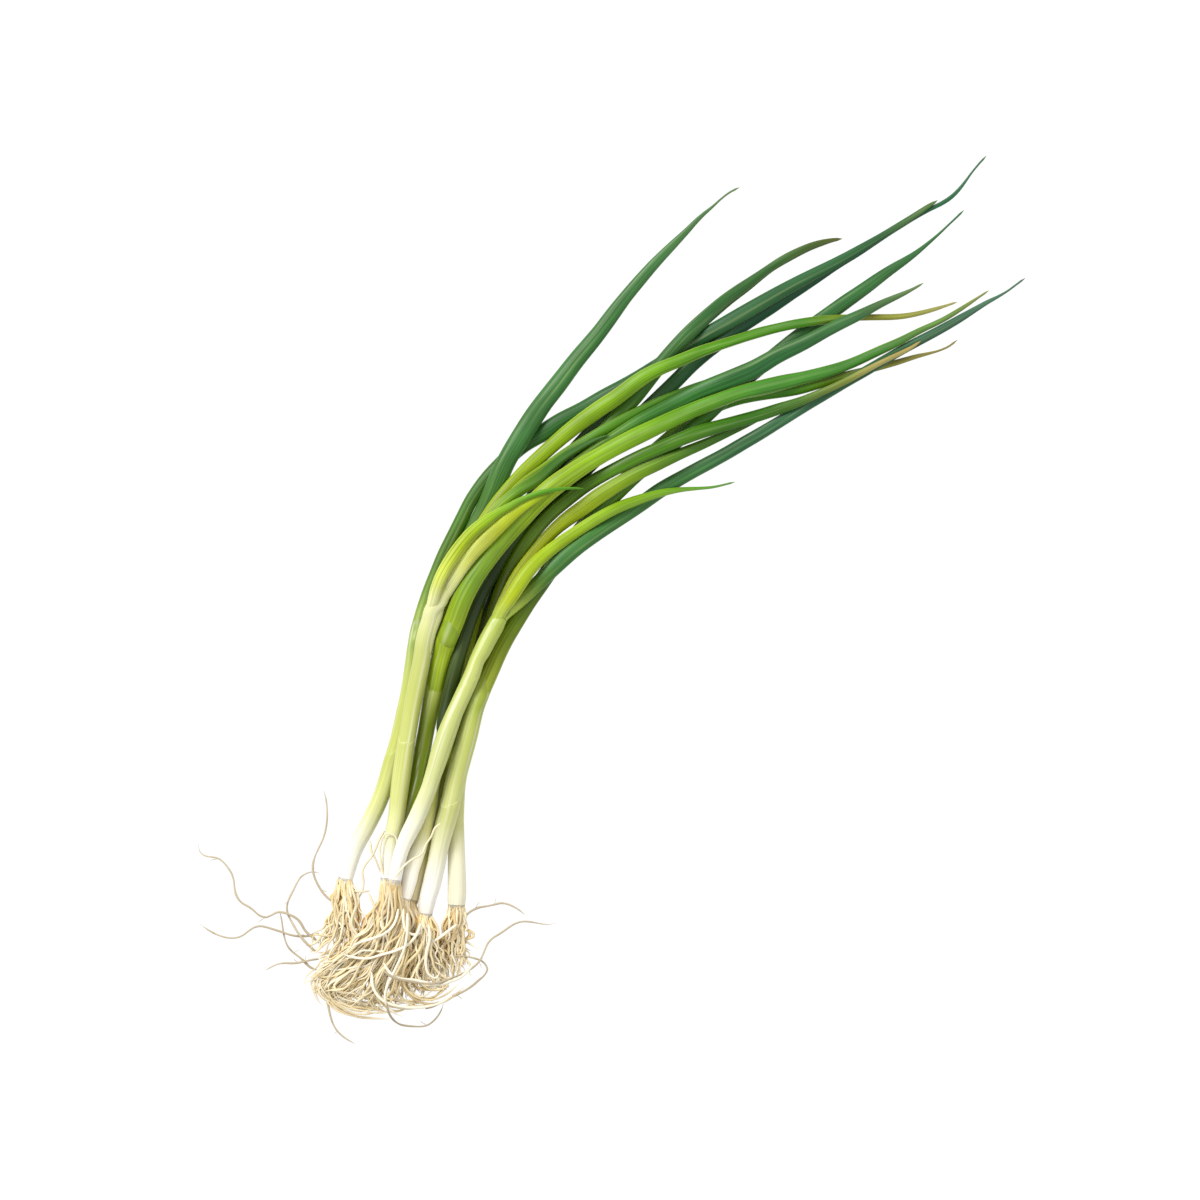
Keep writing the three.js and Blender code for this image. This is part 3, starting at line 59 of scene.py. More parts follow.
    "leaf_04": [(-62.49, 52.14, 19.31, 2.48, 1.63), (-57.35, 52.78, 20.2, 3.05, 2.01), (-52.18, 53.12, 21.22, 3.15, 2.08), (-47.01, 53.47, 21.9, 3.22, 2.13), (-41.84, 53.7, 22.23, 3.29, 2.17), (-36.66, 53.61, 22.2, 3.37, 2.22), (-31.51, 53.06, 21.81, 3.38, 2.23), (-26.38, 52.31, 21.07, 3.36, 2.22), (-21.26, 51.52, 20.44, 3.25, 2.15), (-16.18, 50.51, 19.96, 3, 1.98), (-11.13, 49.35, 19.71, 2.66, 1.76), (-6.21, 47.75, 19.81, 2.23, 1.47), (-1.43, 45.73, 20.16, 1.7, 1.12), (3.18, 43.39, 20.16, 1.06, 0.69), (7.52, 40.57, 19.8, 0.45, 0.45)],
    "leaf_05": [(-68.92, 47.96, 8.58, 1.8, 1.19), (-64.19, 49.79, 8.89, 2.18, 1.44), (-59.36, 51.26, 9.11, 2.38, 1.57), (-54.47, 52.6, 9.08, 2.49, 1.64), (-49.59, 53.92, 8.87, 2.55, 1.68), (-44.66, 55.07, 8.38, 2.6, 1.72), (-39.68, 55.95, 8.19, 2.65, 1.75), (-34.66, 56.62, 8.33, 2.69, 1.77), (-29.63, 57.16, 8.82, 2.74, 1.81), (-24.59, 57.59, 9.63, 2.79, 1.84), (-19.54, 57.94, 10.26, 2.83, 1.87), (-14.48, 58.15, 10.55, 2.86, 1.89), (-9.42, 58.16, 10.5, 2.89, 1.91), (-4.37, 57.93, 10.1, 2.91, 1.92), (0.68, 57.53, 9.37, 2.95, 1.94), (5.71, 56.97, 8.28, 3.01, 1.98), (10.71, 56.22, 7.08, 3.07, 2.03), (15.69, 55.32, 6.21, 3.13, 2.07), (20.66, 54.35, 5.69, 3.19, 2.11), (25.61, 53.31, 5.5, 3.25, 2.15), (30.54, 52.17, 5.66, 3.35, 2.21), (35.44, 50.91, 6.16, 3.46, 2.28), (40.31, 49.53, 6.66, 3.52, 2.32), (45.14, 48.01, 6.99, 3.57, 2.36), (49.93, 46.37, 7.59, 3.6, 2.37), (54.68, 44.62, 8.53, 3.58, 2.36), (59.44, 42.93, 9.83, 3.51, 2.32), (64.28, 41.46, 11, 3.43, 2.26), (69.15, 40.05, 11.83, 3.33, 2.2), (73.92, 38.36, 12.32, 3.19, 2.11), (78.52, 36.25, 12.47, 3, 1.98), (82.94, 33.77, 12.28, 2.88, 1.9), (87.24, 31.11, 11.74, 2.81, 1.85), (91.59, 28.53, 10.87, 2.7, 1.79), (96, 26.04, 9.66, 2.56, 1.69), (100.31, 23.39, 8.11, 2.41, 1.59), (104.49, 20.54, 6.81, 2.27, 1.5), (108.63, 17.62, 5.86, 2.22, 1.46), (112.75, 14.69, 5.15, 2.19, 1.44), (116.86, 11.74, 4.76, 2.16, 1.43), (120.91, 8.71, 4.71, 2.14, 1.41), (124.85, 5.54, 5, 2.07, 1.37), (128.7, 2.25, 5.63, 2.03, 1.34), (132.48, -1.12, 6.21, 2.06, 1.36), (136.14, -4.61, 6.45, 2.07, 1.37), (139.68, -8.23, 6.34, 2.05, 1.35), (143.16, -11.9, 5.9, 1.95, 1.29), (146.59, -15.62, 5.11, 1.68, 1.11), (149.87, -19.47, 3.98, 1.51, 0.99), (153.04, -23.42, 2.68, 1.4, 0.92), (156.16, -27.4, 1.73, 1.37, 0.9), (159.24, -31.42, 1.13, 1.34, 0.89), (162.33, -35.43, 0.86, 1.3, 0.86), (165.64, -39.25, 0.81, 1.23, 0.81), (169.26, -42.78, 0.75, 1.13, 0.75), (173.12, -46.07, 0.66, 1, 0.66), (177.11, -49.17, 0.54, 0.83, 0.54), (181.2, -52.15, 0.44, 0.55, 0.45), (185.33, -55.08, 0.45, 0.45, 0.45)],
    "leaf_06": [(-76.35, 41.37, 10.77, 1.57, 1.04), (-71.93, 43.92, 10.88, 2.04, 1.35), (-67.35, 46.19, 11.34, 2.2, 1.45), (-62.6, 48.07, 12.05, 2.25, 1.48), (-57.68, 49.45, 12.48, 2.25, 1.49), (-52.64, 50.29, 12.56, 2.27, 1.5), (-47.54, 50.72, 12.29, 2.35, 1.55), (-42.44, 50.89, 11.72, 2.42, 1.6), (-37.33, 50.94, 11.4, 2.48, 1.64), (-32.22, 50.98, 11.42, 2.54, 1.68), (-27.12, 51.2, 11.78, 2.6, 1.72), (-22.03, 51.69, 12.51, 2.67, 1.76), (-16.98, 52.42, 13.17, 2.72, 1.79), (-11.94, 53.21, 13.49, 2.75, 1.82), (-6.84, 53.77, 13.46, 2.8, 1.85), (-1.72, 53.78, 13.08, 2.87, 1.9), (3.3, 52.98, 12.36, 2.87, 1.89), (8.21, 51.55, 11.28, 2.81, 1.85), (13.1, 49.97, 9.96, 2.75, 1.81), (17.98, 48.47, 8.9, 2.7, 1.78), (22.84, 46.93, 8.19, 2.64, 1.74), (27.66, 45.24, 7.82, 2.56, 1.69), (32.46, 43.47, 7.81, 2.47, 1.63), (37.23, 41.66, 8.02, 2.39, 1.58), (41.98, 39.78, 8.28, 2.32, 1.53), (46.68, 37.79, 8.32, 2.24, 1.48), (51.35, 35.71, 8.13, 2.14, 1.41), (55.98, 33.55, 7.81, 2.02, 1.33), (60.58, 31.32, 7.14, 1.87, 1.24), (65.15, 29.05, 6.42, 1.74, 1.15), (69.68, 26.68, 5.92, 1.58, 1.04), (74.14, 24.19, 5.1, 1.37, 0.9), (78.58, 21.67, 3.94, 1.11, 0.73), (83.04, 19.18, 2.49, 0.84, 0.55), (87.43, 16.57, 1.29, 0.53, 0.45), (91.63, 13.66, 0.45, 0.45, 0.45)],
    "leaf_07": [(-71.55, 45.47, 13.65, 1.57, 1.04), (-66.94, 47.49, 14.68, 1.89, 1.25), (-62.25, 49.34, 15.38, 2.11, 1.39), (-57.47, 50.93, 15.74, 2.24, 1.48), (-52.6, 52.21, 15.76, 2.31, 1.53), (-47.68, 53.29, 15.44, 2.37, 1.56), (-42.74, 54.3, 15.04, 2.41, 1.59), (-37.79, 55.2, 14.99, 2.46, 1.63), (-32.81, 55.93, 15.29, 2.57, 1.7), (-27.8, 56.47, 15.92, 2.69, 1.77), (-22.76, 56.77, 16.81, 2.7, 1.78), (-17.73, 56.71, 17.45, 2.7, 1.78), (-12.73, 56.16, 17.75, 2.7, 1.78), (-7.77, 55.22, 17.71, 2.7, 1.78), (-2.88, 53.99, 17.33, 2.7, 1.78), (1.88, 52.34, 16.61, 2.69, 1.78), (6.56, 50.46, 15.56, 2.61, 1.73), (11.35, 48.97, 14.18, 2.48, 1.64), (16.29, 47.95, 12.85, 2.22, 1.47), (21.17, 46.72, 11.86, 1.99, 1.31), (25.92, 45.04, 11.17, 1.74, 1.15), (30.55, 43.06, 10.8, 1.48, 0.98), (35.11, 40.92, 10.78, 1.16, 0.77), (39.55, 38.55, 11.1, 0.72, 0.51), (43.62, 35.58, 11.75, 0.45, 0.45)],
    "leaf_08": [(-74.57, 39.71, 15.67, 4.5, 2.97), (-69.68, 40.91, 17.31, 4.5, 2.97), (-64.78, 42.12, 18.62, 4.5, 2.97), (-59.92, 43.47, 19.58, 4.49, 2.96), (-55.03, 44.7, 20.21, 4.42, 2.92), (-50.06, 45.52, 20.49, 4.25, 2.81), (-45.04, 46.04, 20.44, 4.11, 2.72), (-40.01, 46.28, 20.05, 3.95, 2.6), (-34.96, 46.39, 19.32, 3.97, 2.62), (-29.92, 46.42, 18.24, 4.05, 2.68), (-24.88, 46.33, 17, 4.18, 2.76), (-19.84, 46.15, 16.09, 4.28, 2.82), (-14.81, 45.84, 15.51, 4.36, 2.88), (-9.79, 45.38, 15.28, 4.45, 2.94), (-4.78, 44.81, 15.38, 4.46, 2.94), (0.21, 44.07, 15.81, 4.46, 2.94), (5.16, 43.13, 16.22, 4.45, 2.94), (10.07, 41.94, 16.27, 4.41, 2.91), (14.88, 40.46, 15.99, 4.3, 2.84), (19.66, 38.85, 15.37, 4.15, 2.74), (24.43, 37.2, 14.49, 4, 2.64), (29.11, 35.34, 13.84, 3.83, 2.53), (33.73, 33.3, 13.37, 3.71, 2.45), (38.33, 31.23, 13.25, 3.77, 2.49), (42.9, 29.1, 13.46, 3.82, 2.52), (47.42, 26.87, 13.61, 3.81, 2.52), (51.89, 24.55, 13.4, 3.78, 2.49), (56.34, 22.18, 12.95, 3.7, 2.44), (60.78, 19.78, 12.23, 3.6, 2.37), (65.21, 17.38, 11.5, 3.46, 2.29), (69.63, 14.94, 11.12, 3.37, 2.23), (74, 12.42, 11.07, 3.35, 2.21), (78.29, 9.78, 11.37, 3.32, 2.19), (82.52, 7.03, 11.67, 3.19, 2.1), (86.75, 4.28, 11.62, 3.1, 2.04), (90.98, 1.53, 11.24, 3.07, 2.02), (95.04, -1.45, 10.52, 3.09, 2.04), (98.88, -4.71, 9.46, 3.31, 2.19), (102.71, -7.99, 8.06, 3.37, 2.22), (106.61, -11.19, 6.68, 3.35, 2.21), (110.49, -14.41, 5.64, 3.23, 2.13), (114.34, -17.67, 4.95, 2.96, 1.95), (118.19, -20.93, 4.59, 2.83, 1.87), (122.08, -24.14, 4.33, 2.74, 1.81), (126.06, -27.23, 3.75, 2.61, 1.72), (130.17, -30.16, 2.93, 2.42, 1.6), (134.41, -32.89, 2.37, 2.28, 1.5), (138.77, -35.41, 2.16, 2.18, 1.44), (143.19, -37.84, 2.29, 2.1, 1.39), (147.61, -40.28, 2.69, 2, 1.32), (152, -42.76, 2.86, 1.84, 1.21), (156.46, -45.1, 2.68, 1.67, 1.1), (161.02, -47.27, 2.22, 1.5, 0.99), (165.52, -49.54, 1.96, 1.37, 0.9), (169.93, -51.99, 2.05, 1.26, 0.83), (174.39, -54.34, 1.97, 1.17, 0.77), (179, -56.37, 1.55, 1.08, 0.71), (183.7, -58.22, 0.9, 0.96, 0.63), (188.42, -59.98, 0.51, 0.77, 0.5), (193.16, -61.71, 0.45, 0.51, 0.45), (197.9, -63.43, 0.45, 0.45, 0.45)],
    "leaf_09": [(-110.86, 15.38, 13.16, 1.8, 1.19), (-106.48, 17.87, 12.34, 2.39, 1.58), (-101.98, 20.12, 11.87, 2.83, 1.87), (-97.39, 22.21, 11.73, 3.02, 1.99), (-92.8, 24.28, 11.93, 3.09, 2.04), (-88.19, 26.33, 12.49, 3.11, 2.05), (-83.54, 28.26, 13.09, 3.1, 2.05), (-78.86, 30.13, 13.35, 3.07, 2.03), (-74.13, 31.87, 13.27, 3.03, 2), (-69.38, 33.55, 12.86, 3, 1.98), (-64.62, 35.21, 12.1, 2.97, 1.96), (-59.82, 36.74, 11, 2.94, 1.94), (-54.94, 37.99, 9.85, 2.88, 1.9), (-50.02, 39.06, 9.05, 2.81, 1.86), (-45.05, 39.92, 8.59, 2.77, 1.83), (-40.03, 40.38, 8.46, 2.71, 1.79), (-35.06, 41.13, 8.68, 2.7, 1.78), (-30.09, 41.98, 8.89, 2.7, 1.78), (-25.08, 42.51, 8.98, 2.7, 1.78), (-20.05, 42.89, 9.02, 2.7, 1.78), (-15.02, 43.12, 9.03, 2.7, 1.78), (-9.98, 43.2, 9, 2.7, 1.78), (-4.94, 43.19, 9.01, 2.7, 1.78), (0.1, 43.13, 9.23, 2.7, 1.78), (5.13, 42.9, 9.52, 2.7, 1.78), (10.15, 42.4, 9.77, 2.7, 1.78), (15.13, 41.62, 9.85, 2.71, 1.79), (20.06, 40.62, 9.87, 2.76, 1.82), (24.97, 39.46, 9.69, 2.81, 1.86), (29.82, 38.11, 9.22, 2.88, 1.9), (34.61, 36.53, 8.89, 2.92, 1.93), (39.33, 34.77, 8.9, 2.93, 1.93), (44.04, 32.98, 9.25, 2.96, 1.96), (48.74, 31.17, 9.63, 3.06, 2.02), (53.42, 29.31, 9.67, 3.15, 2.08), (58.04, 27.29, 9.37, 3.25, 2.15), (62.58, 25.1, 8.73, 3.37, 2.22), (67.07, 22.81, 7.99, 3.48, 2.3), (71.55, 20.51, 7.57, 3.6, 2.37), (76.06, 18.25, 7.49, 3.7, 2.44), (80.57, 16, 7.75, 3.78, 2.49), (84.98, 13.57, 8.35, 3.85, 2.54), (89.26, 10.91, 9.04, 3.91, 2.58), (93.5, 8.19, 9.4, 3.96, 2.61), (97.78, 5.53, 9.41, 4, 2.64), (102.11, 2.95, 9.09, 3.98, 2.63), (106.56, 0.58, 8.43, 3.85, 2.54), (111.18, -1.42, 7.59, 3.7, 2.44), (115.83, -3.37, 7.05, 3.52, 2.32), (120.32, -5.64, 6.85, 3.37, 2.22), (124.72, -8.11, 6.99, 3.23, 2.13), (129.16, -10.49, 7.47, 3.08, 2.03), (133.7, -12.68, 7.92, 2.92, 1.93), (138.27, -14.81, 8.02, 2.77, 1.83), (142.81, -16.99, 7.78, 2.65, 1.75), (147.28, -19.32, 7.21, 2.5, 1.65), (151.7, -21.73, 6.3, 2.32, 1.53), (156.19, -24.02, 5.05, 2.09, 1.38), (160.74, -26.19, 3.53, 1.78, 1.18), (165.23, -28.47, 2.25, 1.51, 1), (169.63, -30.93, 1.32, 1.27, 0.84), (174.03, -33.38, 0.72, 0.99, 0.65), (178.52, -35.68, 0.46, 0.62, 0.46), (183.13, -37.7, 0.45, 0.45, 0.45)],
    "leaf_10": [(-87.24, 24.29, 4.1, 2.48, 1.63), (-82.56, 26.08, 4.79, 2.68, 1.77), (-77.86, 27.8, 5.15, 2.7, 1.78), (-73.16, 29.55, 5.17, 2.7, 1.78), (-68.48, 31.36, 5.01, 2.7, 1.78), (-63.84, 33.25, 4.8, 2.7, 1.78), (-59.22, 35.17, 4.27, 2.7, 1.78), (-54.61, 37.18, 3.78, 2.72, 1.8), (-49.99, 39.13, 3.63, 2.88, 1.9), (-45.24, 40.67, 3.82, 2.93, 1.93), (-40.33, 41.71, 4.22, 2.93, 1.93), (-35.36, 42.51, 4.57, 2.93, 1.93), (-30.39, 43.21, 4.8, 2.93, 1.93), (-25.42, 43.74, 4.92, 2.93, 1.93), (-20.42, 44.01, 4.95, 2.93, 1.93), (-15.4, 44.06, 4.93, 2.95, 1.95), (-10.38, 43.95, 4.85, 2.97, 1.96), (-5.37, 43.72, 4.79, 2.99, 1.98), (-0.37, 43.3, 4.95, 3.02, 1.99), (4.59, 42.6, 5.2, 3.05, 2.01), (9.52, 41.67, 5.49, 3.07, 2.03), (14.45, 40.8, 5.65, 3.1, 2.05), (19.43, 40.25, 5.54, 3.13, 2.06), (24.44, 39.97, 5.27, 3.15, 2.08), (29.45, 39.75, 4.85, 3.15, 2.08), (34.45, 39.48, 4.4, 3.15, 2.08), (39.45, 39.15, 4.24, 3.15, 2.08), (44.45, 38.75, 4.35, 3.15, 2.08), (49.44, 38.25, 4.39, 3.19, 2.11), (54.41, 37.64, 4.67, 3.26, 2.15), (59.38, 36.95, 5.29, 3.26, 2.15), (64.36, 36.43, 6.25, 3.26, 2.15), (69.37, 36.19, 7.14, 3.26, 2.15), (74.38, 36.08, 7.7, 3.26, 2.15), (79.39, 35.97, 7.92, 3.26, 2.15), (84.4, 35.76, 7.81, 3.26, 2.15), (89.41, 35.45, 7.52, 3.26, 2.15), (94.4, 34.99, 7.55, 3.26, 2.15), (99.37, 34.39, 7.52, 3.26, 2.15), (104.33, 33.65, 7.15, 3.21, 2.12), (109.26, 32.72, 6.45, 3.14, 2.07), (114.16, 31.68, 5.41, 3.09, 2.04), (119.05, 30.59, 4.07, 3.04, 2.01), (123.92, 29.38, 2.97, 2.94, 1.94), (128.72, 27.94, 2.21, 2.82, 1.86), (133.48, 26.36, 1.78, 2.67, 1.76), (138.25, 24.84, 1.59, 2.41, 1.59), (143.05, 23.38, 1.4, 2.12, 1.4), (147.82, 21.84, 1.25, 1.9, 1.26), (152.49, 20.03, 1.28, 1.94, 1.28), (157.06, 17.95, 1.3, 1.97, 1.3), (161.53, 15.7, 1.21, 1.84, 1.21), (165.89, 13.22, 1.09, 1.65, 1.09), (170.01, 10.36, 0.93, 1.4, 0.93), (173.9, 7.2, 0.65, 0.97, 0.63), (177.46, 3.68, 0.45, 0.45, 0.45)],
    "leaf_11": [(-74.03, 39.73, 8.94, 1.57, 1.04), (-69.04, 41.06, 6.83, 1.82, 1.2), (-64.01, 42.26, 5.07, 2.01, 1.33), (-58.95, 43.32, 3.67, 2.15, 1.42), (-53.87, 44.24, 2.62, 2.24, 1.48), (-48.77, 45.03, 1.93, 2.3, 1.52), (-43.64, 45.69, 1.6, 2.35, 1.55), (-38.5, 46.2, 1.59, 2.41, 1.59), (-33.35, 46.6, 1.63, 2.47, 1.63), (-28.2, 46.91, 1.63, 2.48, 1.63), (-23.04, 47.15, 1.63, 2.48, 1.63), (-17.87, 47.34, 1.63, 2.48, 1.63), (-12.71, 47.47, 1.63, 2.48, 1.63), (-7.55, 47.56, 1.63, 2.48, 1.63), (-2.38, 47.6, 1.63, 2.48, 1.63), (2.78, 47.52, 1.63, 2.48, 1.63), (7.94, 47.28, 1.63, 2.48, 1.63), (13.1, 46.89, 1.63, 2.48, 1.63), (18.24, 46.39, 1.63, 2.48, 1.63), (23.37, 45.81, 1.63, 2.48, 1.63), (28.5, 45.2, 1.63, 2.48, 1.63), (33.63, 44.64, 1.63, 2.48, 1.63), (38.76, 44.04, 1.63, 2.47, 1.63), (43.87, 43.28, 1.6, 2.42, 1.6), (48.98, 42.49, 1.52, 2.31, 1.52), (54.09, 41.72, 1.37, 2.08, 1.37), (59.18, 40.89, 1.17, 1.77, 1.17), (64.27, 39.97, 0.9, 1.36, 0.9), (69.33, 38.95, 0.56, 0.82, 0.55), (74.37, 37.84, 0.45, 0.45, 0.45)],
    "leaf_12": [(-85.69, 22.18, 1.36, 1.8, 1.19), (-80.92, 23.87, 1.53, 2.33, 1.54), (-76.1, 25.43, 1.69, 2.57, 1.7), (-71.25, 26.91, 1.77, 2.69, 1.77), (-66.39, 28.35, 1.78, 2.7, 1.78), (-61.53, 29.78, 1.78, 2.7, 1.78), (-56.67, 31.21, 1.78, 2.7, 1.78), (-51.81, 32.64, 1.78, 2.7, 1.78), (-46.94, 34.06, 1.79, 2.71, 1.79), (-42.06, 35.41, 1.81, 2.74, 1.81), (-37.13, 36.58, 1.83, 2.77, 1.83), (-32.15, 37.51, 1.84, 2.79, 1.84), (-27.13, 38.22, 1.86, 2.81, 1.86), (-22.08, 38.73, 1.88, 2.85, 1.88), (-17.03, 39.04, 1.9, 2.88, 1.9), (-11.96, 39.14, 1.91, 2.9, 1.91), (-6.89, 39.04, 1.92, 2.92, 1.92), (-1.83, 38.74, 1.95, 2.95, 1.95), (3.21, 38.26, 1.99, 3.01, 1.99), (8.23, 37.59, 2.03, 3.08, 2.03), (13.24, 36.81, 2.07, 3.14, 2.08), (18.25, 36.04, 2.08, 3.15, 2.08), (23.26, 35.28, 2.08, 3.15, 2.08), (28.27, 34.53, 2.08, 3.15, 2.08), (33.28, 33.77, 2.08, 3.15, 2.08), (38.29, 33, 2.08, 3.15, 2.08), (43.3, 32.25, 2.08, 3.15, 2.08), (48.31, 31.5, 2.1, 3.18, 2.1), (53.32, 30.72, 2.13, 3.22, 2.13), (58.31, 29.89, 2.15, 3.25, 2.15), (63.31, 29.03, 2.15, 3.26, 2.15), (68.3, 28.17, 2.15, 3.26, 2.15), (73.29, 27.31, 2.15, 3.26, 2.15), (78.29, 26.46, 2.15, 3.26, 2.15), (83.3, 25.69, 2.15, 3.26, 2.15), (88.32, 24.98, 2.15, 3.26, 2.15), (93.32, 24.18, 2.15, 3.26, 2.15), (98.26, 23.08, 2.15, 3.26, 2.15), (103.15, 21.74, 2.15, 3.26, 2.15), (108.02, 20.34, 2.15, 3.26, 2.15), (112.89, 18.92, 2.15, 3.26, 2.15), (117.71, 17.36, 2.15, 3.26, 2.15), (122.46, 15.61, 2.15, 3.26, 2.15), (127.17, 13.74, 2.12, 3.21, 2.12), (131.88, 11.86, 2.06, 3.13, 2.06), (136.61, 10.06, 1.97, 2.99, 1.97), (141.36, 8.29, 1.88, 2.85, 1.88), (146.11, 6.51, 1.79, 2.71, 1.79), (150.85, 4.73, 1.72, 2.6, 1.72), (155.59, 2.96, 1.65, 2.5, 1.65), (160.36, 1.22, 1.58, 2.39, 1.58), (165.1, -0.56, 1.49, 2.26, 1.49), (169.78, -2.5, 1.39, 2.1, 1.39), (174.41, -4.57, 1.26, 1.92, 1.26), (179.07, -6.56, 1.15, 1.74, 1.15), (183.78, -8.41, 1.04, 1.58, 1.04), (188.5, -10.27, 0.94, 1.42, 0.94), (193.18, -12.19, 0.82, 1.24, 0.82), (197.85, -14.16, 0.73, 1.1, 0.73), (202.52, -16.14, 0.65, 0.99, 0.65), (207.16, -18.18, 0.62, 0.95, 0.62), (211.74, -20.33, 0.62, 0.95, 0.62), (216.23, -22.68, 0.63, 0.96, 0.63), (220.93, -24.56, 0.62, 0.94, 0.62), (225.92, -25.5, 0.53, 0.81, 0.53), (230.98, -25.71, 0.45, 0.61, 0.45), (236.05, -25.66, 0.45, 0.46, 0.45), (241.1, -25.92, 0.45, 0.45, 0.45), (246.14, -26.48, 0.45, 0.45, 0.45)],
    "leaf_13": [(-50.33, 26.16, 10.17, 2.93, 1.93), (-45.4, 25.26, 10.09, 3.15, 2.08), (-40.51, 24.09, 10.35, 3.2, 2.11), (-35.59, 23, 10.81, 3.25, 2.15), (-30.63, 22.21, 11.06, 3.3, 2.18), (-25.68, 21.33, 11.21, 3.33, 2.2), (-20.73, 20.41, 11.29, 3.37, 2.23), (-15.78, 19.5, 11.23, 3.38, 2.23), (-10.87, 18.43, 10.99, 3.35, 2.21), (-6.01, 17.14, 10.57, 3.3, 2.18), (-1.19, 15.69, 9.85, 3.27, 2.16), (3.59, 14.14, 8.79, 3.26, 2.15), (8.36, 12.51, 7.39, 3.26, 2.15), (13.09, 10.82, 5.75, 3.26, 2.15), (17.81, 9.08, 4.37, 3.26, 2.15), (22.54, 7.37, 3.32, 3.29, 2.17), (27.3, 5.74, 2.61, 3.31, 2.18), (32.09, 4.21, 2.24, 3.32, 2.19), (36.86, 2.6, 2.2, 3.33, 2.2), (41.54, 0.76, 2.16, 3.27, 2.16), (46.15, -1.25, 2.09, 3.16, 2.09), (50.74, -3.33, 2.05, 3.1, 2.05), (55.29, -5.45, 2.01, 3.05, 2.01), (59.82, -7.65, 1.96, 2.97, 1.96), (64.35, -9.82, 1.91, 2.89, 1.91), (68.93, -11.9, 1.89, 2.86, 1.89), (73.55, -13.9, 1.88, 2.84, 1.88), (78.17, -15.9, 1.85, 2.81, 1.85), (82.79, -17.89, 1.82, 2.76, 1.82), (87.43, -19.83, 1.79, 2.71, 1.79), (92.09, -21.72, 1.75, 2.65, 1.75), (96.75, -23.6, 1.72, 2.61, 1.72), (101.42, -25.49, 1.69, 2.56, 1.69), (106.07, -27.39, 1.66, 2.53, 1.67), (110.72, -29.33, 1.8, 2.5, 1.65), (115.35, -31.29, 2.27, 2.45, 1.62), (119.96, -33.29, 3.06, 2.37, 1.56), (124.56, -35.33, 3.69, 2.3, 1.52), (129.14, -37.42, 3.97, 2.24, 1.48), (133.73, -39.48, 4.1, 2.19, 1.45), (138.34, -41.47, 3.9, 2.14, 1.42), (142.97, -43.44, 3.37, 2.11, 1.39), (147.6, -45.4, 2.53, 2.08, 1.37), (152.21, -47.43, 1.81, 2.07, 1.37), (156.77, -49.55, 1.43, 2.07, 1.37), (161.3, -51.73, 1.36, 2.07, 1.36), (165.82, -53.95, 1.33, 2.02, 1.33), (170.35, -56.13, 1.27, 1.93, 1.27), (174.93, -58.22, 1.21, 1.84, 1.21), (179.53, -60.24, 1.13, 1.71, 1.13), (184.16, -62.21, 0.96, 1.46, 0.96), (188.81, -64.14, 0.79, 1.2, 0.79), (193.42, -66.13, 0.64, 0.97, 0.64), (197.94, -68.35, 0.45, 0.68, 0.45), (202.57, -70.32, 0.45, 0.47, 0.45), (207.37, -71.81, 0.45, 0.45, 0.45), (212.17, -73.31, 0.45, 0.45, 0.45)],
    "leaf_14": [(-47.85, 27.71, 16, 2.25, 1.49), (-42.65, 27.82, 16.39, 2.9, 1.91), (-37.47, 28.12, 16.41, 3.09, 2.04), (-32.29, 28.44, 16.08, 3.15, 2.08), (-27.09, 28.44, 15.39, 3.04, 2), (-21.92, 27.97, 14.34, 2.93, 1.93), (-16.83, 26.97, 13, 2.79, 1.84), (-11.81, 25.63, 11.99, 2.73, 1.8), (-6.85, 24.07, 11.34, 2.66, 1.76), (-1.95, 22.38, 11.06, 2.56, 1.69), (2.93, 20.59, 10.73, 2.51, 1.66), (7.76, 18.68, 10.63, 2.48, 1.64), (12.53, 16.62, 10.28, 2.48, 1.63), (17.21, 14.36, 9.57, 2.48, 1.63), (21.74, 11.82, 8.48, 2.46, 1.62), (26.1, 9, 7.4, 2.28, 1.51), (30.37, 6.03, 6.69, 2.06, 1.36), (34.54, 2.94, 6.26, 1.81, 1.2), (38.5, -0.42, 5.57, 1.5, 0.99), (42.21, -4.06, 4.52, 1.16, 0.77), (45.68, -7.92, 3.11, 0.9, 0.59), (49.03, -11.89, 1.91, 0.7, 0.46), (52.49, -15.76, 1.06, 0.58, 0.45), (56.38, -19.2, 0.58, 0.47, 0.45), (60.41, -22.48, 0.45, 0.45, 0.45)],
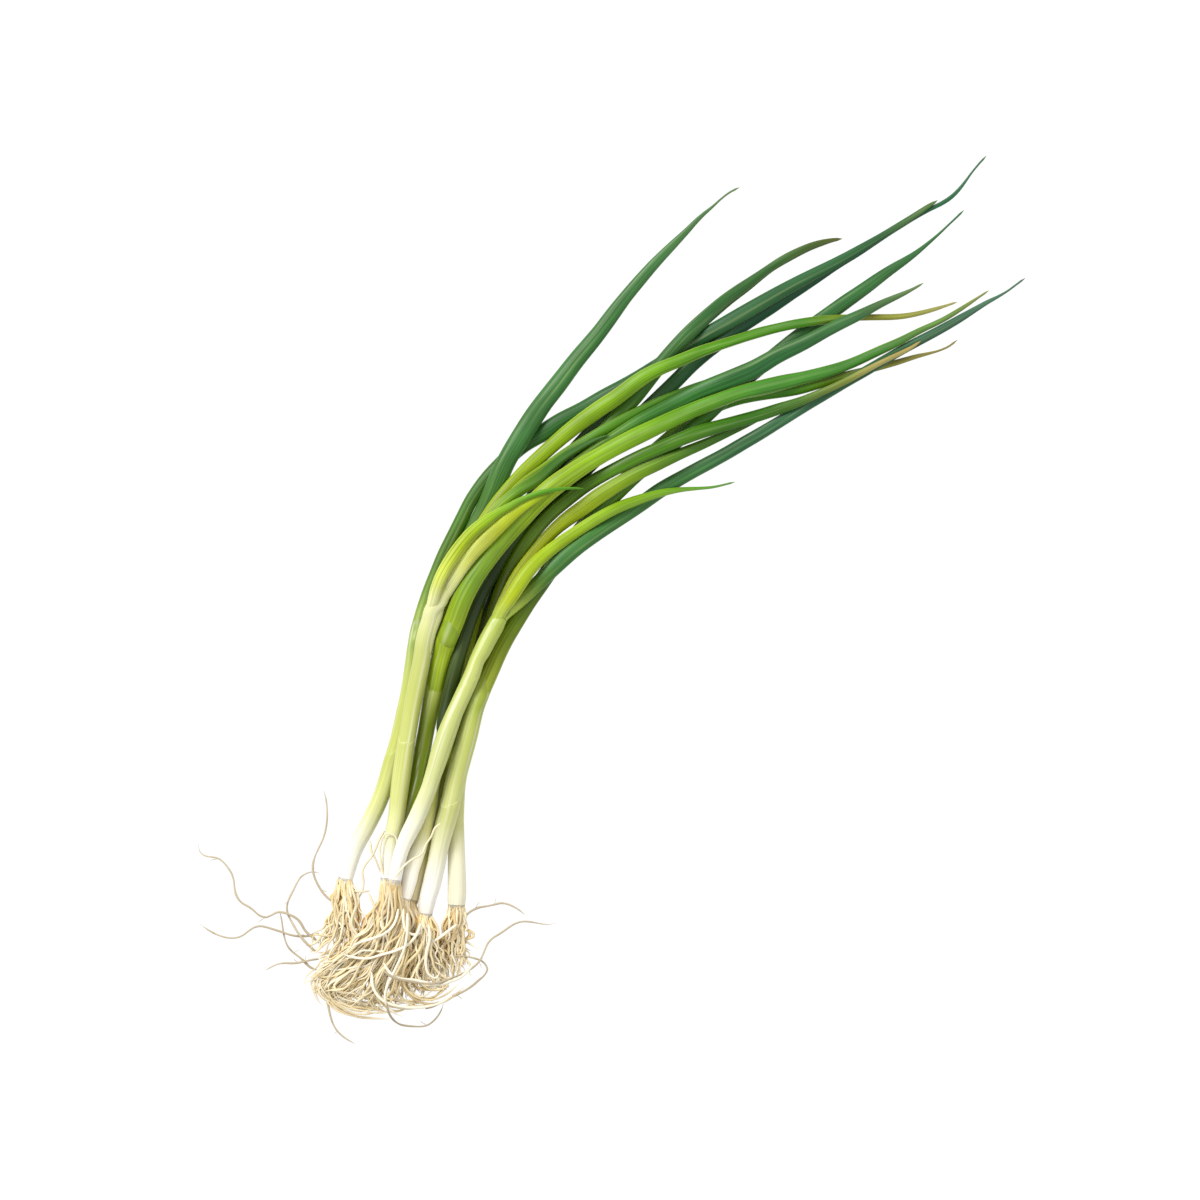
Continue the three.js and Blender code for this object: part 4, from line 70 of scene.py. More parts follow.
    "leaf_15": [(-50.13, 28.54, 13.16, 1.57, 1.04), (-45.23, 29.6, 12.84, 2.03, 1.34), (-40.28, 30.46, 12.18, 2.22, 1.46), (-35.31, 31.21, 11.19, 2.42, 1.6), (-30.31, 31.6, 9.94, 2.55, 1.68), (-25.28, 31.63, 8.94, 2.66, 1.75), (-20.27, 31.48, 8.28, 2.7, 1.78), (-15.25, 31.26, 7.75, 2.71, 1.79), (-10.24, 30.89, 7.29, 2.83, 1.87), (-5.28, 30.14, 7.16, 2.97, 1.96), (-0.37, 29.07, 7.36, 3.16, 2.08), (4.44, 27.63, 7.9, 3.34, 2.21), (9.19, 26, 8.77, 3.48, 2.3), (13.99, 24.52, 9.63, 3.54, 2.34), (18.78, 23.01, 10.14, 3.54, 2.33), (23.48, 21.26, 10.45, 3.4, 2.24), (28.14, 19.38, 10.66, 3.25, 2.14), (32.74, 17.37, 10.73, 3.12, 2.06), (37.28, 15.21, 10.86, 3.04, 2), (41.69, 12.83, 10.72, 2.94, 1.94), (46.05, 10.33, 10.24, 2.84, 1.87), (50.42, 7.86, 9.43, 2.7, 1.78), (54.8, 5.4, 8.29, 2.55, 1.68), (59.13, 2.86, 6.81, 2.39, 1.58), (63.45, 0.3, 5.02, 2.23, 1.47), (67.81, -2.2, 3.5, 2.03, 1.34), (72.19, -4.64, 2.31, 1.82, 1.2), (76.58, -7.09, 1.45, 1.6, 1.06), (80.95, -9.57, 0.93, 1.36, 0.9), (85.3, -12.07, 0.7, 1.06, 0.7), (89.66, -14.55, 0.47, 0.64, 0.47), (94.07, -16.96, 0.45, 0.45, 0.45)],
    "leaf_16": [(-88.8, 16.54, 2.56, 1.8, 1.19), (-84.06, 18.24, 3.1, 2.19, 1.44), (-79.34, 20.01, 3.95, 2.48, 1.63), (-74.64, 21.81, 4.65, 2.69, 1.77), (-69.93, 23.6, 5, 2.7, 1.78), (-65.22, 25.4, 5.15, 2.7, 1.78), (-60.52, 27.19, 5.31, 2.7, 1.78), (-55.81, 28.98, 5.44, 2.71, 1.79), (-51.07, 30.7, 5.55, 2.76, 1.82), (-46.27, 32.23, 5.66, 2.84, 1.87), (-41.44, 33.67, 5.81, 2.94, 1.94), (-36.56, 34.91, 5.92, 3.04, 2), (-31.61, 35.82, 6, 3.12, 2.06), (-26.61, 36.46, 6.06, 3.17, 2.09), (-21.59, 36.92, 6.13, 3.22, 2.13), (-16.56, 37.18, 6.19, 3.26, 2.15), (-11.52, 37.18, 6.16, 3.21, 2.12), (-6.5, 36.83, 6.1, 3.16, 2.08), (-1.51, 36.14, 6.05, 3.15, 2.08), (3.43, 35.13, 5.96, 3.15, 2.08), (8.32, 33.91, 5.89, 3.15, 2.08), (13.19, 32.63, 6.14, 3.13, 2.07), (17.99, 31.11, 6.73, 3.08, 2.03), (22.67, 29.25, 7.66, 2.98, 1.97), (27.26, 27.16, 8.92, 2.91, 1.92), (31.8, 24.96, 10.13, 2.85, 1.88), (36.31, 22.72, 11, 2.84, 1.87), (40.8, 20.44, 11.53, 2.83, 1.87), (45.23, 18.04, 11.73, 2.84, 1.87), (49.57, 15.49, 11.59, 2.86, 1.89), (53.91, 12.92, 11.12, 2.9, 1.91), (58.25, 10.37, 10.93, 2.97, 1.96), (62.56, 7.76, 10.75, 3.04, 2.01), (66.8, 5.03, 10.23, 3.09, 2.04), (70.89, 2.1, 9.37, 3.07, 2.03), (74.88, -0.98, 8.18, 2.92, 1.93), (78.85, -4.08, 6.68, 2.83, 1.87), (82.84, -7.15, 5.44, 2.76, 1.82), (86.81, -10.26, 4.54, 2.69, 1.77), (90.81, -13.32, 3.97, 2.62, 1.73), (94.9, -16.26, 3.75, 2.55, 1.68), (99.02, -19.16, 3.85, 2.47, 1.63), (103.11, -22.11, 4.28, 2.25, 1.48), (107.28, -24.92, 4.54, 1.99, 1.31), (111.63, -27.47, 4.85, 1.79, 1.18), (116.02, -29.94, 5.44, 1.64, 1.08), (120.4, -32.44, 6.21, 1.54, 1.02), (124.82, -34.85, 6.69, 1.47, 0.97), (129.32, -37.1, 6.84, 1.43, 0.95), (133.87, -39.28, 6.88, 1.37, 0.91), (138.41, -41.46, 6.65, 1.23, 0.81), (142.92, -43.71, 6.12, 1.1, 0.73), (147.39, -46.03, 5.26, 1.03, 0.68), (151.85, -48.38, 4.36, 0.94, 0.62), (156.38, -50.57, 3.8, 0.72, 0.49), (161.14, -52.22, 3.58, 0.45, 0.45)],
    "leaf_17": [(-85.96, 11.79, 6.14, 2.05, 1.35), (-81.19, 13.31, 4.63, 2.53, 1.67), (-76.39, 14.78, 3.45, 2.76, 1.82), (-71.58, 16.2, 2.6, 2.87, 1.9), (-66.75, 17.53, 2.1, 2.92, 1.93), (-61.87, 18.68, 1.92, 2.93, 1.93), (-56.94, 19.61, 1.93, 2.93, 1.93), (-51.98, 20.31, 1.93, 2.93, 1.93), (-47, 20.89, 1.93, 2.93, 1.93), (-42.01, 21.37, 1.93, 2.93, 1.93), (-37.01, 21.72, 1.93, 2.93, 1.93), (-32, 21.95, 1.93, 2.93, 1.93), (-26.99, 22.08, 1.93, 2.93, 1.93), (-21.98, 22.1, 1.93, 2.93, 1.93), (-16.97, 22.02, 1.93, 2.93, 1.93), (-11.95, 21.87, 1.93, 2.93, 1.93), (-6.95, 21.67, 1.93, 2.93, 1.93), (-1.94, 21.45, 1.93, 2.93, 1.93), (3.07, 21.19, 1.93, 2.93, 1.93), (8.07, 20.85, 1.93, 2.93, 1.93), (13.06, 20.4, 1.93, 2.93, 1.93), (18.05, 19.92, 1.93, 2.93, 1.93), (23.04, 19.42, 1.93, 2.93, 1.93), (28.02, 18.85, 1.93, 2.93, 1.93), (32.99, 18.19, 1.93, 2.93, 1.93), (37.95, 17.44, 1.93, 2.93, 1.93), (42.89, 16.61, 1.93, 2.93, 1.93), (47.81, 15.66, 1.93, 2.93, 1.93), (52.72, 14.61, 1.93, 2.93, 1.93), (57.61, 13.51, 1.93, 2.93, 1.93), (62.48, 12.34, 1.93, 2.93, 1.93), (67.32, 11.03, 1.93, 2.93, 1.93), (72.08, 9.45, 1.93, 2.93, 1.93), (76.73, 7.58, 1.93, 2.93, 1.93), (81.28, 5.46, 1.93, 2.93, 1.93), (85.62, 2.96, 1.93, 2.92, 1.93), (89.72, 0.06, 1.9, 2.88, 1.9), (93.6, -3.11, 1.88, 2.85, 1.88), (97.29, -6.5, 1.86, 2.82, 1.86), (100.84, -10.04, 1.84, 2.79, 1.84), (104.32, -13.66, 1.83, 2.77, 1.83), (107.81, -17.26, 1.81, 2.74, 1.81), (111.44, -20.72, 1.78, 2.7, 1.78), (115.29, -23.92, 1.72, 2.61, 1.72), (119.25, -27, 1.62, 2.45, 1.62), (123.19, -30.1, 1.46, 2.21, 1.46), (127.13, -33.2, 1.3, 1.97, 1.3), (131.07, -36.3, 1.18, 1.79, 1.18), (134.99, -39.42, 1.08, 1.64, 1.08), (138.89, -42.58, 1, 1.52, 1), (142.76, -45.76, 0.92, 1.4, 0.92), (146.66, -48.9, 0.85, 1.28, 0.85), (150.68, -51.91, 0.75, 1.14, 0.75), (154.69, -54.92, 0.64, 0.96, 0.64), (158.53, -58.14, 0.46, 0.69, 0.46), (162.44, -61.27, 0.45, 0.48, 0.45), (166.76, -63.81, 0.45, 0.45, 0.45), (171.56, -65.23, 0.45, 0.45, 0.45)],
    "leaf_18": [(-86, 12.74, 13.33, 3.94, 2.6), (-81.13, 14.14, 11.37, 3.94, 2.6), (-76.21, 15.31, 9.76, 3.94, 2.6), (-71.28, 16.47, 8.48, 3.93, 2.59), (-66.34, 17.6, 7.55, 3.88, 2.56), (-61.35, 18.49, 6.96, 3.81, 2.52), (-56.32, 19.08, 6.7, 3.7, 2.44), (-51.27, 19.45, 6.6, 3.58, 2.36), (-46.22, 19.78, 6.5, 3.46, 2.29), (-41.16, 20.05, 6.43, 3.4, 2.24), (-36.1, 20.26, 6.39, 3.38, 2.23), (-31.04, 20.43, 6.38, 3.38, 2.23), (-25.97, 20.6, 6.39, 3.38, 2.23), (-20.91, 20.8, 6.42, 3.38, 2.23), (-15.85, 20.92, 6.45, 3.37, 2.23), (-10.78, 20.91, 6.45, 3.35, 2.21), (-5.72, 20.77, 6.44, 3.33, 2.2), (-0.66, 20.5, 6.41, 3.29, 2.17), (4.39, 20.1, 6.38, 3.26, 2.15), (9.42, 19.56, 6.36, 3.26, 2.15), (14.45, 18.9, 6.34, 3.26, 2.15), (19.46, 18.18, 6.3, 3.26, 2.15), (24.46, 17.42, 6.26, 3.26, 2.15), (29.47, 16.61, 6.21, 3.26, 2.15), (34.45, 15.73, 6.17, 3.26, 2.15), (39.41, 14.67, 6.1, 3.26, 2.15), (44.32, 13.46, 6, 3.26, 2.15), (49.24, 12.22, 5.92, 3.26, 2.15), (54.15, 11.01, 5.87, 3.26, 2.15), (59.06, 9.76, 5.83, 3.26, 2.15), (63.96, 8.49, 5.81, 3.26, 2.15), (68.88, 7.28, 5.9, 3.26, 2.15), (73.83, 6.19, 6.18, 3.26, 2.15), (78.81, 5.26, 6.51, 3.26, 2.15), (83.8, 4.43, 6.48, 3.26, 2.15), (88.79, 3.54, 6.12, 3.26, 2.15), (93.75, 2.53, 5.41, 3.26, 2.15), (98.7, 1.42, 4.35, 3.26, 2.15), (103.62, 0.26, 3.29, 3.26, 2.15), (108.55, -0.93, 2.58, 3.26, 2.15), (113.47, -2.13, 2.21, 3.26, 2.15), (118.38, -3.36, 2.15, 3.26, 2.15), (123.28, -4.63, 2.15, 3.26, 2.15), (128.17, -5.97, 2.15, 3.26, 2.15), (133.03, -7.38, 2.14, 3.25, 2.14), (137.87, -8.87, 2.13, 3.22, 2.13), (142.7, -10.41, 2.11, 3.19, 2.11), (147.52, -11.97, 2.09, 3.16, 2.09), (152.34, -13.51, 2.07, 3.14, 2.07), (157.16, -15.07, 2.05, 3.11, 2.05), (161.96, -16.7, 1.97, 2.99, 1.97), (166.77, -18.28, 1.86, 2.81, 1.86), (171.6, -19.78, 1.71, 2.59, 1.71), (176.42, -21.35, 1.55, 2.35, 1.55), (181.18, -23.07, 1.36, 2.07, 1.36), (185.91, -24.89, 1.12, 1.69, 1.12), (190.69, -26.56, 0.85, 1.29, 0.85), (195.56, -27.96, 0.63, 0.96, 0.63), (200.48, -29.16, 0.48, 0.72, 0.48), (205.43, -30.24, 0.45, 0.55, 0.45), (210.41, -31.13, 0.45, 0.45, 0.45), (215.4, -32.04, 0.45, 0.45, 0.45), (220.39, -32.88, 0.45, 0.45, 0.45)],
    "roots_01": [(-191.55, 11.09, 2.98, 2.7, 1.62), (-196.53, 8.65, 2.46, 3.8, 2.28), (-201.65, 6.51, 2.69, 4.48, 2.69), (-206.83, 4.53, 3.12, 5.17, 3.1), (-212.02, 2.55, 4.1, 5.75, 3.45), (-217.21, 0.6, 5.04, 6.32, 3.79), (-222.38, -1.43, 5.2, 6.53, 3.92), (-227.33, -3.93, 4.65, 6.51, 3.9), (-231.62, -7.45, 4.16, 5.25, 3.15), (-235.03, -11.83, 3.72, 2.25, 1.35)],
    "roots_08": [(-190.04, -8.03, 2.78, 2.48, 1.49), (-195.42, -9.54, 2.29, 3.47, 2.08), (-200.96, -10.4, 2.58, 4.3, 2.58), (-206.47, -11.38, 3.13, 5.2, 3.12), (-211.94, -12.56, 4.2, 6.1, 3.66), (-217.32, -14.12, 5.66, 6.45, 3.87), (-222.53, -16.16, 6.41, 6.46, 3.88), (-227.55, -18.65, 6.38, 5.21, 3.13), (-232.32, -21.57, 5.56, 2.25, 1.35)],
    "roots_02": [(-179.52, -4.47, 9.57, 2.48, 1.49), (-183.86, -7.12, 8.51, 3.2, 1.92), (-188.29, -9.61, 8.03, 3.73, 2.24), (-192.84, -11.87, 7.8, 4.32, 2.59), (-197.46, -13.98, 8.22, 4.87, 2.92), (-202.08, -16.1, 9.27, 5.39, 3.23), (-206.62, -18.37, 10.75, 6.04, 3.62), (-211.08, -20.81, 11.65, 6.3, 3.78), (-215.47, -23.38, 11.9, 6.3, 3.78), (-219.75, -26.11, 11.51, 6.08, 3.65), (-223.99, -28.9, 10.47, 4.68, 2.81), (-228.35, -31.51, 8.79, 2.02, 1.21)],
    "roots_03": [(-178.02, -7.27, 14.4, 2.36, 1.42), (-182.17, -10.25, 13.44, 2.96, 1.78), (-186.41, -13.12, 13.12, 3.52, 2.11), (-190.62, -16.03, 13.46, 4.13, 2.48), (-194.76, -19.03, 14.46, 4.67, 2.8), (-198.87, -22.08, 16.02, 5.17, 3.1), (-202.98, -25.11, 17.22, 5.8, 3.48), (-207.1, -28.14, 17.75, 6.08, 3.65), (-211.22, -31.18, 17.64, 6.08, 3.65), (-215.33, -34.21, 16.87, 5.87, 3.52), (-219.45, -37.25, 15.44, 4.47, 2.68), (-223.57, -40.28, 13.36, 1.8, 1.08)],
    "roots_04": [(-182.58, -15.11, 7.23, 2.48, 1.49), (-186.75, -18.05, 6.61, 3.46, 2.08), (-190.35, -21.7, 6.66, 4.25, 2.55), (-193.83, -25.45, 7.35, 4.87, 2.92), (-197.35, -29.15, 8.61, 5.37, 3.22), (-200.96, -32.78, 9.49, 5.68, 3.41), (-204.7, -36.27, 9.71, 5.83, 3.5), (-208.67, -39.49, 9.28, 5.53, 3.32), (-212.87, -42.41, 8.19, 4.25, 2.55), (-217.22, -45.1, 6.45, 1.8, 1.08)],
    "roots_07": [(-181.41, -19, 2.4, 2.03, 1.22), (-185.12, -22.86, 1.99, 3.02, 1.81), (-188.43, -27.09, 2.25, 3.76, 2.26), (-191.86, -31.21, 2.64, 4.41, 2.65), (-195.24, -35.37, 3.08, 5.13, 3.08), (-198.81, -39.37, 3.31, 5.52, 3.31), (-202.85, -42.91, 3.34, 5.57, 3.34), (-207.37, -45.8, 2.8, 4.51, 2.7), (-212.2, -48.12, 1.53, 1.8, 1.08)],
    "roots_05": [(-182.24, -27.71, 4.52, 2.59, 1.55), (-186.05, -31.88, 6.97, 3.51, 2.11), (-189.26, -36.55, 8.62, 4.4, 2.64), (-192.69, -41.05, 9.47, 5.19, 3.11), (-196.27, -45.43, 9.51, 5.61, 3.36), (-200.32, -49.4, 8.76, 5.18, 3.11), (-204.86, -52.77, 7.2, 2.25, 1.35)],
    "roots_06": [(-171.07, -36.81, 3.7, 3.26, 1.96), (-175.57, -40.06, 2.6, 3.78, 2.27), (-180.2, -43.12, 2.28, 3.83, 2.29), (-184.88, -46.1, 2.28, 3.81, 2.28), (-189.57, -49.06, 2.02, 3.37, 2.02), (-194.42, -51.78, 1.15, 1.8, 1.08)],
    "root_01": [(-218.59, 5.31, 1.27, 0.59, 0.59), (-218.04, 8.27, 1.87, 0.59, 0.59), (-217.98, 11.3, 2.17, 0.59, 0.59), (-217.39, 14.22, 2.18, 0.59, 0.59), (-216.15, 17, 1.88, 0.59, 0.59), (-215.47, 19.84, 1.88, 0.59, 0.59), (-215.83, 22.84, 2.15, 0.59, 0.59), (-216.69, 25.92, 2.12, 0.59, 0.59), (-218.2, 28.49, 1.8, 0.59, 0.59), (-220.83, 29.88, 1.17, 0.59, 0.59), (-223.37, 31.43, 0.72, 0.59, 0.59), (-224.45, 34.28, 0.59, 0.59, 0.59), (-224.25, 37.3, 0.59, 0.59, 0.59), (-224.12, 40.27, 0.59, 0.59, 0.59), (-224.54, 43.27, 0.59, 0.59, 0.59), (-224.21, 46.22, 0.59, 0.59, 0.59), (-222.75, 48.92, 0.59, 0.59, 0.59), (-220.63, 51.15, 0.59, 0.59, 0.59), (-218.43, 53.18, 0.59, 0.59, 0.59), (-216.71, 55.55, 0.59, 0.59, 0.59), (-215.57, 58.36, 0.59, 0.59, 0.59), (-214.8, 61.38, 0.59, 0.59, 0.59), (-214.71, 64.36, 0.59, 0.59, 0.59), (-215.85, 67.11, 0.53, 0.53, 0.53), (-217.26, 69.76, 0.45, 0.45, 0.45), (-217.47, 72.51, 0.42, 0.42, 0.42), (-215.03, 75.57, 0.42, 0.42, 0.42)],
    "root_02": [(-214.97, 7.98, 0.59, 0.59, 0.59), (-217.38, 9.77, 0.59, 0.59, 0.59), (-219.54, 11.9, 0.65, 0.59, 0.59), (-221.36, 14.31, 1.02, 0.59, 0.59), (-222.79, 16.97, 1.69, 0.59, 0.59), (-223.8, 19.81, 2.06, 0.59, 0.59), (-224.67, 22.69, 2.13, 0.59, 0.59), (-225.67, 25.51, 1.9, 0.59, 0.59), (-226.71, 28.38, 1.36, 0.59, 0.59), (-228.05, 31.08, 0.82, 0.59, 0.59), (-230.3, 33.05, 0.59, 0.59, 0.59), (-233.14, 34.13, 0.59, 0.59, 0.59), (-236.01, 34.99, 0.59, 0.59, 0.59), (-238.57, 36.6, 0.59, 0.59, 0.59), (-240.53, 38.9, 0.59, 0.59, 0.59), (-241.85, 41.62, 0.59, 0.59, 0.59), (-242.73, 44.52, 0.56, 0.56, 0.56), (-243.28, 47.48, 0.48, 0.48, 0.48), (-243.52, 50.48, 0.42, 0.42, 0.42), (-243.47, 53.49, 0.42, 0.42, 0.42)],
    "root_03": [(-224.39, 1.04, 0.59, 0.59, 0.59), (-226.45, 3.33, 1.44, 0.59, 0.59), (-228.77, 5.38, 1.98, 0.59, 0.59), (-231.08, 7.45, 2.21, 0.59, 0.59), (-233.08, 9.78, 2.12, 0.59, 0.59), (-234.86, 12.31, 1.71, 0.59, 0.59), (-237.04, 14.46, 0.98, 0.55, 0.55), (-239.69, 16.09, 0.54, 0.45, 0.45), (-242.52, 17.3, 0.42, 0.42, 0.42)],
    "root_04": [(-228.91, -1.17, 0.59, 0.59, 0.59), (-229.69, 2.04, 0.59, 0.59, 0.59), (-229.23, 5.29, 0.58, 0.59, 0.59), (-228.9, 8.57, 0.59, 0.59, 0.59), (-228.88, 11.88, 0.58, 0.59, 0.59), (-228.31, 15.11, 0.59, 0.59, 0.59), (-226.77, 18.02, 0.58, 0.59, 0.59), (-224.61, 20.58, 0.58, 0.58, 0.58), (-222.28, 22.93, 0.52, 0.52, 0.52), (-219.96, 25.23, 0.43, 0.42, 0.42), (-217.77, 27.71, 0.42, 0.42, 0.42)],
    "root_05": [(-198.93, 9.73, 5.61, 0.59, 0.59), (-199.62, 12.78, 4.21, 0.59, 0.59), (-199.36, 15.87, 3.14, 0.59, 0.59), (-198.54, 18.87, 2.38, 0.59, 0.59), (-197.33, 21.73, 1.95, 0.59, 0.59), (-195.76, 24.46, 1.83, 0.59, 0.59), (-193.76, 26.86, 1.76, 0.59, 0.59), (-191.25, 28.65, 1.28, 0.59, 0.59), (-188.35, 29.82, 0.72, 0.59, 0.59), (-185.29, 30.56, 0.58, 0.59, 0.59), (-182.24, 31.1, 0.59, 0.59, 0.59), (-179.22, 31.8, 0.58, 0.59, 0.59), (-176.3, 32.85, 0.58, 0.59, 0.59), (-173.49, 34.22, 0.59, 0.59, 0.59), (-170.83, 35.84, 0.57, 0.57, 0.57), (-168.32, 37.67, 0.52, 0.52, 0.52), (-165.97, 39.71, 0.45, 0.45, 0.45), (-163.81, 41.93, 0.42, 0.42, 0.42), (-161.83, 44.34, 0.42, 0.42, 0.42)],
    "root_06": [(-222.39, 3.63, 1.89, 0.59, 0.59), (-222.17, 6.68, 2.44, 0.59, 0.59), (-221.8, 9.74, 2.68, 0.59, 0.59), (-221.2, 12.75, 2.61, 0.59, 0.59), (-220.31, 15.66, 2.22, 0.59, 0.59), (-219.17, 18.49, 1.52, 0.59, 0.59), (-217.91, 21.33, 0.9, 0.59, 0.59), (-216.49, 24.11, 0.59, 0.59, 0.59), (-214.44, 26.3, 0.59, 0.59, 0.59), (-211.65, 27.64, 0.59, 0.59, 0.59), (-208.64, 28.32, 0.59, 0.59, 0.59), (-205.62, 28.8, 0.59, 0.59, 0.59), (-202.59, 29.4, 0.59, 0.59, 0.59), (-199.54, 29.48, 0.58, 0.58, 0.58), (-196.61, 28.47, 0.52, 0.52, 0.52), (-194.25, 26.45, 0.42, 0.42, 0.42), (-192.97, 23.63, 0.42, 0.42, 0.42)],
    "root_07": [(-233.12, -9.87, 0.59, 0.59, 0.59), (-235.79, -11.8, 0.58, 0.59, 0.59), (-238.15, -14.1, 0.59, 0.59, 0.59), (-240.38, -16.53, 0.58, 0.59, 0.59), (-242.52, -19.04, 0.59, 0.59, 0.59), (-244.34, -21.8, 0.58, 0.59, 0.59), (-245.6, -24.87, 0.59, 0.59, 0.59), (-246.09, -28.11, 0.56, 0.55, 0.55), (-245.96, -31.42, 0.45, 0.45, 0.45), (-245.57, -34.69, 0.42, 0.42, 0.42)],
    "root_08": [(-173.44, -40.79, 6.18, 0.59, 0.59), (-170.37, -40.64, 4.95, 0.59, 0.59), (-167.33, -41.04, 3.44, 0.59, 0.59), (-164.48, -42.22, 2.26, 0.59, 0.59), (-161.99, -44.05, 1.39, 0.59, 0.59), (-159.83, -46.23, 0.83, 0.59, 0.59), (-157.51, -48.25, 0.59, 0.59, 0.59), (-155.24, -50.29, 0.59, 0.59, 0.59), (-153.87, -53.05, 0.59, 0.59, 0.59), (-153.19, -56.09, 0.55, 0.55, 0.55), (-152.98, -59.14, 0.45, 0.45, 0.45), (-153.19, -62.21, 0.42, 0.42, 0.42)],
    "root_09": [(-209.4, -25.37, 23.38, 0.59, 0.59), (-209.79, -28.48, 23.03, 0.59, 0.59), (-209.3, -31.45, 22.36, 0.59, 0.59), (-208.26, -34.33, 21.38, 0.59, 0.59), (-207.02, -37.16, 20.09, 0.59, 0.59), (-205.78, -39.96, 18.51, 0.59, 0.59), (-204.42, -42.7, 17.02, 0.59, 0.59), (-202.8, -45.31, 15.89, 0.59, 0.59), (-200.85, -47.68, 14.93, 0.59, 0.59), (-198.56, -49.71, 13.6, 0.59, 0.59), (-196.07, -51.5, 11.98, 0.59, 0.59), (-193.53, -53.21, 10.02, 0.59, 0.59), (-190.95, -54.84, 7.89, 0.59, 0.59), (-188.21, -56.28, 6.03, 0.59, 0.59), (-185.28, -57.37, 4.48, 0.59, 0.59), (-182.28, -57.81, 3.28, 0.59, 0.59), (-179.27, -57.48, 2.22, 0.59, 0.59), (-176.23, -56.71, 1.35, 0.59, 0.59), (-173.18, -56.15, 0.82, 0.59, 0.59), (-170.22, -56.54, 0.6, 0.59, 0.59), (-167.36, -57.71, 0.58, 0.59, 0.59), (-164.48, -58.76, 0.59, 0.59, 0.59), (-161.56, -59.7, 0.58, 0.59, 0.59), (-158.73, -60.95, 0.59, 0.59, 0.59), (-156.38, -62.81, 0.58, 0.58, 0.58), (-154.61, -65.28, 0.54, 0.54, 0.54), (-153.17, -68.09, 0.48, 0.48, 0.48), (-151.76, -70.94, 0.42, 0.42, 0.42), (-150.07, -73.53, 0.42, 0.42, 0.42), (-147.82, -75.57, 0.42, 0.42, 0.42)],
    "root_10": [(-213.94, -51.07, 0.59, 0.59, 0.59), (-211.4, -52.82, 0.59, 0.59, 0.59), (-208.77, -54.36, 0.59, 0.59, 0.59), (-206.08, -55.78, 0.59, 0.59, 0.59), (-203.35, -57.15, 0.59, 0.59, 0.59), (-200.61, -58.57, 0.59, 0.59, 0.59), (-197.87, -59.99, 0.59, 0.59, 0.59), (-195.09, -61.22, 0.59, 0.59, 0.59), (-192.26, -62.1, 0.59, 0.59, 0.59), (-189.28, -62.76, 0.59, 0.59, 0.59), (-186.06, -63.43, 0.59, 0.59, 0.59), (-183.14, -63.04, 0.59, 0.59, 0.59), (-181.57, -60.39, 0.88, 0.59, 0.59), (-181.69, -57.32, 1.49, 0.59, 0.59), (-182.69, -54.39, 2.41, 0.58, 0.58), (-183.88, -51.55, 3.64, 0.53, 0.53), (-185.31, -48.88, 5.19, 0.45, 0.45), (-187.17, -46.44, 6.42, 0.42, 0.42)],
    "root_11": [(-220.56, -35.26, 19.81, 0.59, 0.59), (-222.9, -37.25, 17.69, 0.59, 0.59), (-224.64, -39.77, 15.26, 0.59, 0.59), (-225.65, -42.69, 12.52, 0.59, 0.59), (-225.68, -45.76, 10.09, 0.59, 0.59), (-224.58, -48.62, 7.97, 0.59, 0.59), (-223.1, -51.3, 6.17, 0.59, 0.59), (-221.42, -53.9, 4.68, 0.59, 0.59), (-219.24, -56.04, 3.5, 0.59, 0.59), (-216.38, -57.12, 2.63, 0.59, 0.59), (-213.29, -57.45, 2.08, 0.55, 0.55), (-210.26, -57.18, 1.84, 0.44, 0.44), (-207.32, -56.26, 1.91, 0.42, 0.42)],
}

# Which leaf carries on each shaft's own sheath.
MAIN_LEAF = {
    "stem_01": "leaf_01", "stem_02": "leaf_04", "stem_03": "leaf_13", "stem_04": "leaf_10",
    "stem_05": "leaf_18", "stem_06": "leaf_17", "stem_07": "leaf_16", "stem_08": "leaf_08",
}
PARENT = {
    "leaf_01": "stem_01", "leaf_02": "stem_01", "leaf_03": "stem_02", "leaf_04": "stem_02",
    "leaf_05": "stem_08", "leaf_06": "stem_08", "leaf_07": "stem_08", "leaf_08": "stem_08",
    "leaf_09": "stem_03", "leaf_10": "stem_04", "leaf_11": "stem_08", "leaf_12": "stem_04",
    "leaf_13": "stem_03", "leaf_14": "stem_03", "leaf_15": "stem_03", "leaf_16": "stem_07",
    "leaf_17": "stem_06", "leaf_18": "stem_05",
}

